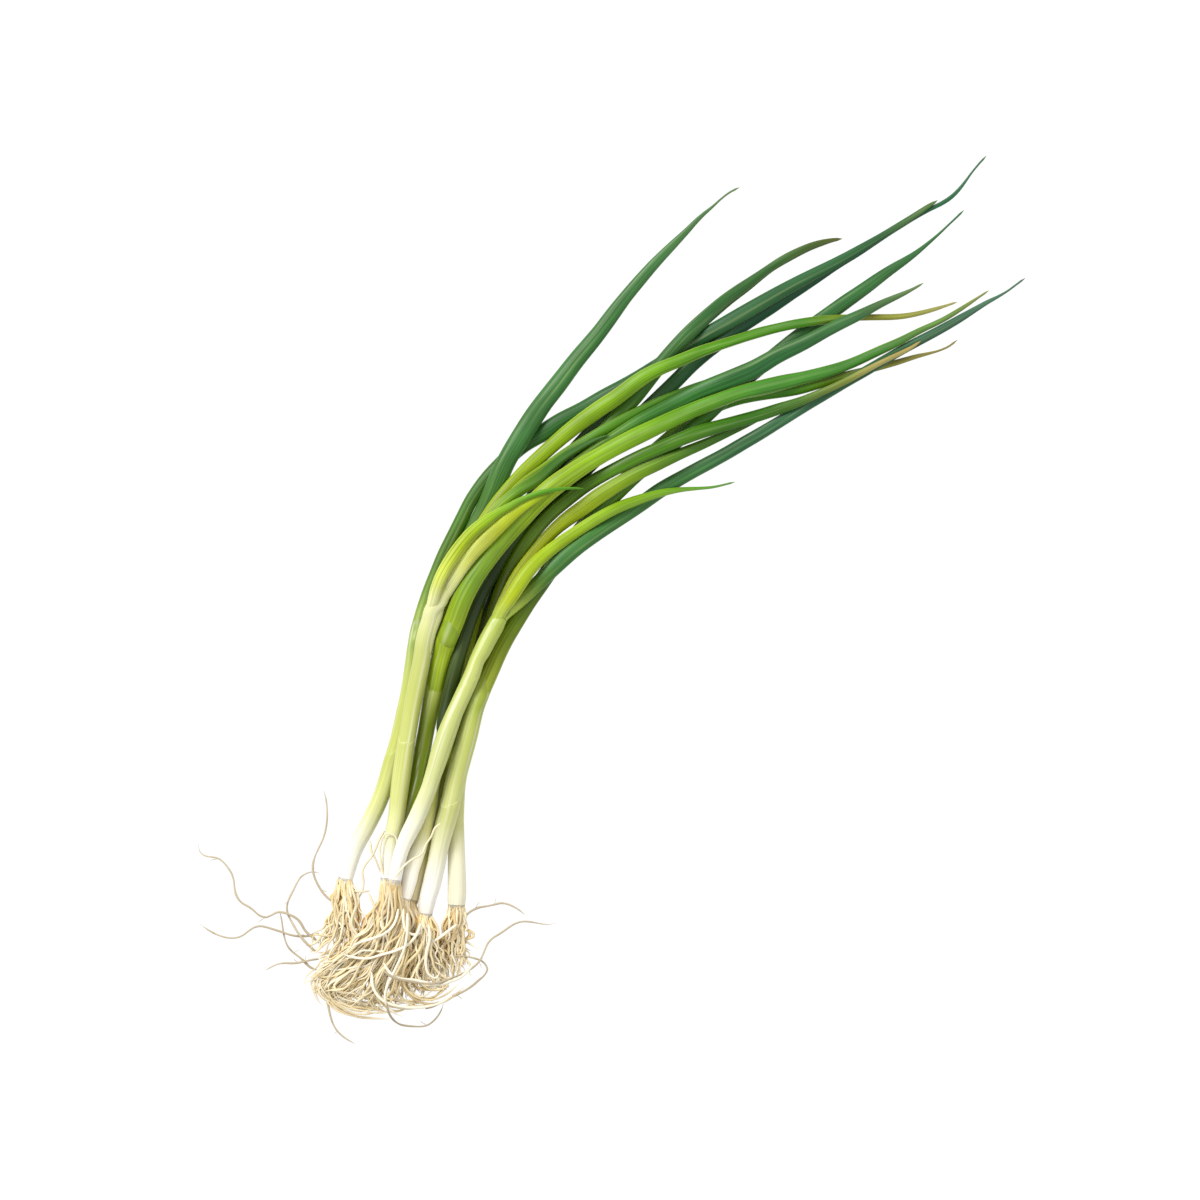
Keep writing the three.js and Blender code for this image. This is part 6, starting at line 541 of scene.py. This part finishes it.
CREAM = [lin(c) * .84 for c in ((240, 228, 196), (236, 220, 182), (231, 213, 168), (244, 236, 214))]
OCHRE = [lin(c) * .86 for c in ((228, 198, 140), (220, 186, 122), (232, 204, 150), (214, 178, 110))]
# Painted warm shade: saturated ochre for the low strands of the mass, standing in for the warm light that scatters into
# the gaps between strands.
DEEP_SHADE_OCHRE = [lin(c) for c in ((230, 180, 88), (222, 170, 78), (236, 190, 104))]
SIDE = 1.0


def seen(u, v):
    """A point given as millimetres right and up in the view, as row millimetres."""
    c, s_ = math.cos(-ROLL), math.sin(-ROLL)
    return np.array([c * u - s_ * v + CX * 1000, s_ * u + c * v + CY * 1000])


# The courses that roots follow away from each shaft, as millimetres right and up in the view
# from its middle: every strand takes a course between two neighbours.
GUIDES = {
    "roots_01": [
        (59, 1, 8, 0.1, [
            [(-117.9, -129.6), (-118.8, -135.9), (-119.7, -143.1), (-122.4, -149.4), (-126.9, -153.9), (-132.3, -157.5)],
            [(-116.5, -129.6), (-116.5, -137.2), (-117.0, -144.9), (-118.4, -152.1), (-121.5, -158.4), (-126.9, -162.9)],
            [(-114.3, -129.6), (-113.4, -137.2), (-113.4, -145.8), (-114.3, -153.0), (-116.1, -159.8), (-120.6, -165.6)],
            [(-112.5, -129.6), (-110.7, -137.2), (-109.4, -144.9), (-108.9, -153.0), (-110.2, -160.2), (-113.4, -167.4)],
        ]),
    ],
    "roots_02": [
        (80, 1.5, 12, 0.12, [
            [(-97.7, -128.7), (-98.1, -135.0), (-99.9, -141.3), (-104.0, -148.5), (-109.8, -154.8), (-117.0, -160.2), (-125.1, -164.7), (-131.4, -169.2)],
            [(-96.3, -129.2), (-96.3, -136.3), (-97.7, -144.0), (-100.8, -152.1), (-106.2, -159.8), (-113.4, -166.5), (-121.5, -171.9), (-126.9, -175.5)],
            [(-95.0, -129.2), (-94.5, -137.2), (-95.0, -145.8), (-97.2, -154.8), (-101.2, -163.3), (-107.5, -171.0), (-114.8, -177.3), (-120.6, -180.9)],
            [(-94.0, -129.2), (-93.2, -137.7), (-92.7, -146.7), (-93.6, -156.6), (-96.3, -166.5), (-100.4, -174.6), (-104.4, -180.9), (-107.1, -185.0)],
        ]),
        (19, 2, 9, 0.2, [
            [(-95.9, -129.2), (-97.7, -139.5), (-102.6, -150.8), (-110.2, -161.1), (-117.9, -168.3), (-123.3, -173.7), (-121.5, -179.1), (-114.3, -182.7), (-106.2, -185.0), (-98.1, -185.8)],
            [(-95.9, -129.2), (-96.8, -140.4), (-100.8, -153.0), (-107.1, -163.8), (-113.4, -171.9), (-114.3, -177.3), (-108.9, -181.3), (-100.8, -183.2), (-92.7, -183.6)],
        ]),
        (16, 1, 6, 0.2, [
            [(-96.3, -129.6), (-99.9, -141.8), (-107.1, -153.0), (-116.1, -162.9), (-124.2, -171.0), (-129.6, -173.7), (-127.8, -178.2), (-121.5, -182.2), (-112.5, -185.0), (-102.6, -186.8)],
            [(-95.9, -129.6), (-99.0, -143.1), (-105.3, -155.2), (-113.4, -165.6), (-119.7, -173.7), (-118.8, -179.6), (-111.6, -183.6), (-101.7, -185.4), (-90.9, -185.8), (-81.9, -184.1)],
        ]),
    ],
    "roots_03": [
        (70, 2, 14, 0.15, [
            [(-94.0, -129.2), (-95.0, -136.3), (-96.3, -144.0), (-99.5, -152.1), (-104.4, -160.2), (-111.6, -167.4), (-119.7, -172.8), (-126.0, -176.4)],
            [(-93.2, -129.6), (-93.6, -137.7), (-95.0, -146.7), (-97.7, -155.7), (-102.6, -164.7), (-108.9, -172.8), (-115.2, -178.2)],
            [(-91.8, -129.6), (-91.8, -138.6), (-92.7, -148.5), (-95.0, -158.4), (-99.0, -168.3), (-103.5, -176.4), (-107.1, -183.6)],
            [(-90.9, -129.6), (-90.0, -139.5), (-89.5, -150.3), (-90.5, -161.1), (-93.2, -171.9), (-96.3, -180.9), (-97.2, -185.4)],
        ]),
    ],
    "roots_04": [
        (84, 1.5, 14, 0.1, [
            [(-91.4, -137.7), (-92.7, -143.1), (-95.4, -148.5), (-100.8, -153.9), (-108.9, -157.5), (-117.9, -160.2), (-126.9, -162.9)],
            [(-90.0, -138.2), (-90.5, -144.9), (-92.7, -152.1), (-97.7, -158.8), (-104.9, -164.7), (-112.5, -169.2), (-121.5, -173.7)],
            [(-88.2, -138.2), (-87.8, -146.2), (-89.1, -154.8), (-92.7, -163.3), (-98.1, -171.0), (-103.5, -177.3), (-108.0, -181.8)],
            [(-86.4, -138.2), (-84.6, -146.7), (-84.2, -155.7), (-85.5, -164.7), (-88.7, -172.8), (-91.8, -180.0), (-92.7, -184.5)],
        ]),
        (24, 3, 13, 0.05, [
            [(-88.7, -138.2), (-90.5, -148.5), (-95.4, -158.4), (-101.7, -166.5), (-105.3, -173.7), (-102.6, -180.0), (-95.4, -183.6), (-87.3, -185.0), (-80.1, -183.2)],
            [(-87.3, -138.2), (-87.8, -149.4), (-90.9, -160.2), (-95.4, -169.2), (-97.2, -175.5), (-93.6, -180.5), (-86.4, -182.2), (-79.2, -181.3), (-72.9, -178.2)],
        ]),
    ],
    "roots_05": [
        (92, 1, 12, 0.15, [
            [(-81.0, -144.5), (-83.7, -150.3), (-88.2, -156.6), (-94.5, -162.0), (-101.7, -166.5), (-109.8, -170.1), (-117.9, -171.9)],
            [(-80.1, -144.9), (-81.5, -152.1), (-84.2, -160.2), (-87.3, -168.3), (-89.1, -175.5), (-86.4, -180.9)],
            [(-78.8, -145.3), (-78.8, -153.0), (-79.2, -161.1), (-79.2, -168.3), (-76.5, -172.8), (-72.0, -172.8)],
            [(-77.4, -145.3), (-75.6, -153.0), (-73.8, -160.2), (-72.0, -166.5), (-69.3, -171.0), (-66.6, -172.8)],
            [(-76.5, -144.9), (-72.9, -150.3), (-69.3, -156.6), (-67.5, -162.9), (-66.6, -169.2)],
        ]),
        (19, 4, 13, 0.05, [
            [(-79.2, -145.3), (-81.0, -153.9), (-84.6, -162.0), (-88.2, -169.2), (-89.1, -174.6), (-84.6, -178.2), (-77.4, -178.2), (-71.1, -174.6), (-66.6, -170.1)],
            [(-77.9, -145.3), (-77.9, -154.8), (-80.5, -162.9), (-83.7, -169.2), (-82.8, -174.6), (-77.4, -177.3), (-70.2, -175.5), (-64.8, -171.0)],
        ]),
    ],
    "roots_06": [
        (66, 1, 7, 0.22, [
            [(-67.5, -141.3), (-69.3, -147.6), (-70.7, -154.8), (-70.7, -162.0), (-69.3, -168.3)],
            [(-65.7, -141.8), (-67.0, -149.4), (-67.5, -157.5), (-67.0, -165.6), (-66.6, -171.0)],
            [(-63.9, -141.8), (-63.9, -149.4), (-64.4, -157.5), (-64.4, -164.7), (-64.8, -170.1)],
            [(-62.1, -141.3), (-62.1, -148.5), (-62.6, -155.7), (-63.5, -161.1), (-63.9, -165.6)],
        ]),
    ],
    "roots_07": [
        (49, 1, 8, 0.15, [
            [(-86.4, -138.6), (-86.4, -145.8), (-88.2, -153.9), (-91.8, -162.0), (-96.3, -170.1), (-99.9, -177.3), (-100.8, -181.8)],
            [(-85.0, -139.1), (-83.7, -146.7), (-83.2, -155.7), (-84.6, -165.6), (-87.3, -173.7), (-88.2, -180.0)],
            [(-84.2, -139.1), (-81.5, -146.7), (-79.2, -154.8), (-78.3, -163.8), (-79.2, -172.8), (-81.0, -179.1)],
        ]),
    ],
    "roots_08": [
        (78, 1, 8, 0.12, [
            [(-100.4, -139.1), (-103.5, -143.1), (-107.5, -149.4), (-112.5, -154.8), (-118.8, -158.4), (-126.9, -161.1), (-133.2, -164.7)],
            [(-99.5, -139.5), (-102.2, -144.9), (-106.2, -152.1), (-111.6, -158.4), (-118.8, -163.8), (-126.0, -168.3), (-131.4, -172.8)],
            [(-98.1, -140.0), (-99.9, -146.7), (-103.5, -154.8), (-108.9, -162.0), (-116.1, -168.3), (-123.3, -173.7), (-127.8, -178.2)],
            [(-96.8, -140.0), (-97.2, -147.6), (-99.9, -156.6), (-104.4, -164.7), (-110.7, -171.9), (-117.0, -177.3), (-120.6, -180.9)],
        ]),
        (11, 1, 6, 0.3, [
            [(-99.0, -139.5), (-102.6, -147.6), (-109.8, -157.5), (-119.7, -165.6), (-128.7, -170.1), (-126.9, -175.5), (-119.7, -180.5), (-109.8, -183.6), (-99.9, -185.4)],
            [(-98.5, -139.5), (-101.2, -149.4), (-108.0, -160.2), (-117.0, -168.3), (-123.3, -172.8), (-120.6, -178.2), (-113.4, -181.8), (-104.4, -184.1), (-94.5, -185.0)],
        ]),
    ],
}
# Bold strands that lie on top of the mass: height, then the course.
BOLD = {
    "roots_02": [
        (12.2, [(-102.6, -167.4), (-102.2, -173.2), (-99.5, -178.2), (-95.0, -181.3), (-89.1, -182.7), (-83.2, -183.2), (-77.4, -182.7), (-72.0, -181.3), (-66.6, -178.2)]),
    ],
    "roots_04": [
        (15.5, [(-86.4, -140.4), (-86.4, -146.2), (-86.9, -152.1), (-88.2, -157.5), (-90.5, -162.9), (-92.7, -167.4), (-95.0, -171.9), (-96.5, -176.8), (-95.9, -181.8), (-92.7, -185.4), (-89.1, -187.2)]),
        (14.8, [(-90.5, -138.6), (-91.4, -143.1), (-93.6, -147.2), (-97.7, -150.3), (-102.6, -152.1), (-108.0, -153.9), (-112.5, -156.6)]),
        (15.2, [(-88.2, -138.6), (-88.2, -144.0), (-86.9, -148.5), (-83.7, -150.3), (-80.5, -149.4), (-80.1, -146.7)]),
    ],
    "roots_05": [
        (13.5, [(-97.2, -162.9), (-95.4, -166.1), (-92.7, -168.8), (-89.1, -170.1), (-83.2, -170.6), (-77.9, -171.9), (-72.9, -172.8), (-67.5, -171.5), (-62.1, -169.2), (-58.5, -165.6), (-55.4, -162.0)]),
        (13.2, [(-80.5, -145.3), (-82.4, -150.3), (-86.4, -154.8), (-91.8, -157.5), (-98.1, -159.3), (-104.4, -161.1), (-110.7, -160.7), (-116.1, -159.3)]),
        (12.5, [(-77.0, -145.8), (-76.5, -152.1), (-77.9, -158.0), (-78.3, -163.8), (-77.0, -168.3), (-73.8, -170.1), (-72.0, -167.4)]),
    ],
    "roots_06": [
        (9.5, [(-64.4, -145.8), (-68.9, -149.4), (-73.4, -152.6), (-78.3, -155.2), (-83.7, -157.5), (-89.1, -159.8), (-94.5, -160.7), (-99.9, -160.7)]),
    ],
    "roots_08": [
        (8.5, [(-100.8, -140.0), (-102.6, -144.5), (-105.3, -148.5), (-108.9, -150.8), (-111.6, -153.0)]),
    ],
}
# Thin loops of root that stand clear of the mass.
LOOPS = {
    "roots_01": [[(-97, -104, 6), (-99.5, -108, 7), (-101, -112, 7), (-103, -116, 6), (-105.5, -119, 5), (-107, -122, 4.5), (-106.5, -127, 4), (-107, -131, 4), (-110, -136, 4)],
                 [(-103.5, -108.5, 5), (-103, -113, 6), (-101, -117, 6), (-99.5, -121, 5), (-98, -124, 5)],
                 [(-111.5, -131, 5), (-107, -131.3, 7), (-103.5, -131, 5)]],
    "roots_02": [[(-104, -132, 8), (-101, -139, 9), (-99, -143, 9), (-95, -147, 9), (-90, -149.5, 9), (-85, -150.5, 8), (-81, -149, 8)],
                 [(-97, -124, 12), (-98.5, -117, 13.5), (-98.5, -110, 14), (-96, -105, 14.5), (-92, -106, 15), (-91, -111, 15)]],
    "roots_03": [[(-71.5, -100, 22), (-73.8, -102, 22), (-75.6, -106, 21.5), (-78, -109.5, 21), (-80, -114, 20.5), (-83.3, -115.7, 20), (-86, -117.5, 20), (-90.5, -122.5, 20), (-93, -126, 20)]],
}


def tuft(name, k):
    P = np.array(PATHS[name], float)
    st = np.array(PATHS[name.replace("roots", "stem")], float)
    rng = np.random.default_rng(4000 + k)
    so = Soup()
    C0, T0 = P[0, :3], P[1, :3] - P[0, :3]
    T0 = T0 / np.linalg.norm(T0)
    S0 = np.array([-T0[1], T0[0], 0])
    S0 /= np.linalg.norm(S0)
    U0 = np.cross(T0, S0)
    A0, B0 = st[0, 3], st[0, 4]
    for g, (count, top0, top1, tone, lines) in enumerate(GUIDES[name]):
        count = count
        G = []
        for ln in lines:
            w = np.array([seen(u_, v_) for u_, v_ in ln])
            w, _ = spline(np.c_[w, np.zeros(len(w))], 20)
            G.append(w[:, :2])
        G = np.array(G)
        for j in range(count):
            seed = 5000 + 977 * k + 131 * g + j
            layer = (j + 0.5) / count
            at = rng.uniform(0, len(G) - 1)
            i = min(int(at), len(G) - 2)
            w = at - i
            Q = G[i] * (1 - w) + G[i + 1] * w
            e = np.linspace(0, 1, 20)
            reach = 1.0 if rng.random() < .45 else rng.uniform(.5, 1.0)
            if layer < .46:
                reach = min(reach, rng.uniform(.6, .88))
            e2 = e * reach
            Q = np.stack([np.interp(e2, e, Q[:, c]) for c in range(2)], -1)
            # across the plate: the side it leaves from follows the course it takes
            across = (at / max(len(G) - 1, 1) - .5) * 2
            ang = math.pi / 2 - SIDE * across * 1.25 + rng.normal() * .3
            if layer < .45:
                ang = -math.pi / 2 + SIDE * across * 1.0 + rng.normal() * .5
            rad = rng.uniform(.86, 1.0) if layer < .6 else rng.uniform(.98, 1.05)
            z0 = max(C0[2] + math.sin(ang) * rad * B0, .8)
            p0 = C0 - T0 * (rng.uniform(.4, 1.6) if layer < .6 else rng.uniform(1.8, 4.6)) + S0 * math.cos(ang) * rad * A0
            off = p0[:2] - Q[0]
            fade = np.clip(1 - e * 2.6, 0, 1)[:, None] ** 1.3
            Q = Q + off[None] * fade
            d = np.gradient(Q, axis=0)
            d /= np.maximum(np.linalg.norm(d, axis=1)[:, None], 1e-6)
            nrm = np.stack([-d[:, 1], d[:, 0]], -1)
            env = np.clip(e * 5, 0, 1)
            # slow sway, a finer wiggle and a few real bends
            sway = rng.normal() * 2.6 * e + wob(20, rng.uniform(.6, 2.0), 5.5, seed) + wob(20, rng.uniform(.3, .8), 3.0, seed + 7)
            if rng.random() < .16:
                sway = sway + rng.choice([-1, 1]) * rng.uniform(2, 6) * np.clip(e - .55, 0, 1) ** 1.5 * 3
            Q = Q + nrm * (sway * env)[:, None]
            zt = top0 + (top1 - top0) * layer * rng.uniform(.75, 1.05)
            z = z0 * (1 - np.clip(e * 3.2, 0, 1)) + zt * np.clip(e * 3.2, 0, 1)
            z = z * (1 - .55 * e ** 2) + wob(20, .5, 4, seed + 3) * env
            r0 = rng.uniform(.46, .76)
            z = np.maximum(z, r0 * .95)
            Q3 = np.c_[Q, z]
            low_shaded_layer = layer < .46
            light = rng.uniform(.9, 1.05)
            far = CREAM[rng.integers(4)] * light
            # low strands take the painted warm shade colour; middle strands take ochre, which is partly their own tone
            # and partly painted shade
            if low_shaded_layer:
                base = DEEP_SHADE_OCHRE[rng.integers(3)] * light
            elif layer < .62 or rng.random() < tone:
                base = OCHRE[rng.integers(4)] * light
            else:
                base = far * 0.78 + lin((222, 188, 120)) * 0.16
            strand(so, Q3, r0, r0 * rng.uniform(.5, .85), base, far, n=6, seed=seed, bump=.07)
    for q, (zt, ln) in enumerate(BOLD.get(name, [])):
        w = np.array([seen(u_, v_) for u_, v_ in ln])
        w, _ = spline(np.c_[w, np.full(len(w), zt)], 22)
        w[:, 2] = w[:, 2] * (1 - .35 * np.linspace(-.4, 1, 22) ** 2) + wob(22, .3, 5, 21000 + 31 * k + q)
        strand(so, w, .70, .56, CREAM[3] * .95, CREAM[3], n=8, seed=20000 + 31 * k + q, bump=.06)
    for q, loop in enumerate(LOOPS.get(name, [])):
        pts = np.array([[*seen(u_, v_), z_] for u_, v_, z_ in loop])
        strand(so, pts, .5, .36, CREAM[1] * .95, CREAM[0] * .92, n=6, seed=19000 + 31 * k + q, bump=.08)
    return so.build("beard_" + name, M_ROOT, [name])


def single(name, k):
    P = np.array(PATHS[name], float)
    so = Soup()
    Q = P[:, :3].copy()
    c = lin((206, 190, 160)) * .62
    strand(so, Q, max(.5, P[:, 3].max() * .95), .34, c, lin((210, 196, 168)) * .66, n=9, seed=11000 + 17 * k, bump=.12)
    # a few hair-fine side rootlets
    rng = np.random.default_rng(12000 + k)
    for q in range(2):
        i = int(rng.integers(2, max(3, len(Q) - 2)))
        d = rng.normal(size=3)
        d[2] = abs(d[2]) * .15
        d /= np.linalg.norm(d)
        ln = rng.uniform(2.0, 4.5)
        pts = np.array([Q[i] + d * ln * s + np.array([0, 0, 0.25 * math.sin(3 * s)]) for s in np.linspace(0, 1, 5)])
        pts[:, 2] = np.maximum(pts[:, 2], .2)
        strand(so, pts, .2, .1, c, c * .9, n=5, seed=13000 + 19 * k + q)
    return so.build("single_" + name, M_ROOT, [name])


for k, nm in enumerate(sorted(n for n in PATHS if n.startswith("stem"))):
    stem(nm, k + 1)
for k, nm in enumerate(sorted(n for n in PATHS if n.startswith("leaf"))):
    leaf(nm, k + 1)
for k, nm in enumerate(sorted(n for n in PATHS if n.startswith("roots_"))):
    tuft(nm, k + 1)
for k, nm in enumerate(sorted(n for n in PATHS if n.startswith("root_"))):
    single(nm, k + 1)

# ------------------------------------------------------------------- stage
me = bpy.data.meshes.new("floor")
s = 12.0
me.from_pydata([(-s, -s, 0), (s, -s, 0), (s, s, 0), (-s, s, 0)], [], [(0, 1, 2, 3)])
floor = bpy.data.objects.new("floor", me)
bpy.context.scene.collection.objects.link(floor)
fm = bpy.data.materials.new("pale_floor")
fm.use_nodes = True
fb = fm.node_tree.nodes["Principled BSDF"]
fb.inputs["Base Color"].default_value = (0.05, 0.05, 0.05, 1)
fb.inputs["Roughness"].default_value = 0.9
fb.inputs["Specular IOR Level"].default_value = 0.1
fb.inputs["Emission Color"].default_value = (1, 1, 1, 1)
fb.inputs["Emission Strength"].default_value = 0.98
me.materials.append(fm)

world = bpy.data.worlds.new("studio")
bpy.context.scene.world = world
world.use_nodes = True
bg = world.node_tree.nodes["Background"]
bg.inputs[0].default_value = (1.0, 1.0, 1.0, 1)
bg.inputs[1].default_value = 0.92

def turned(x, y):
    c, s_ = math.cos(-ROLL), math.sin(-ROLL)
    return Vector((c * x - s_ * y, s_ * x + c * y, 0))


def lamp(name, x, y, z, size, power, colour=(1.0, 0.985, 0.955)):
    d = bpy.data.lights.new(name, "AREA")
    d.energy = power
    d.size = size
    d.color = colour
    o = bpy.data.objects.new(name, d)
    p = turned(x, y) + Vector((CX, CY, z))
    o.location = p
    o.rotation_euler = (Vector((CX, CY, 0)) - p).to_track_quat("-Z", "Y").to_euler()
    bpy.context.scene.collection.objects.link(o)


lamp("key", -1.0, 1.0, 1.25, 0.8, 40.0)
lamp("fill", 1.0, 0.1, 1.2, 1.0, 4.0)

cam_d = bpy.data.cameras.new("view")
cam_d.sensor_width = 36.0
DIST = 2.6
cam_d.lens = 36.0 * (DIST - 0.008) / 0.540
cam_d.clip_end = 60
cam = bpy.data.objects.new("view", cam_d)
cam.location = (CX, CY, DIST)
cam.rotation_euler = (0, 0, -ROLL)
bpy.context.scene.collection.objects.link(cam)
bpy.context.scene.camera = cam
bpy.context.scene.view_settings.view_transform = "Standard"
bpy.context.scene.view_settings.look = "None"
bpy.context.scene.view_settings.exposure = 0.0
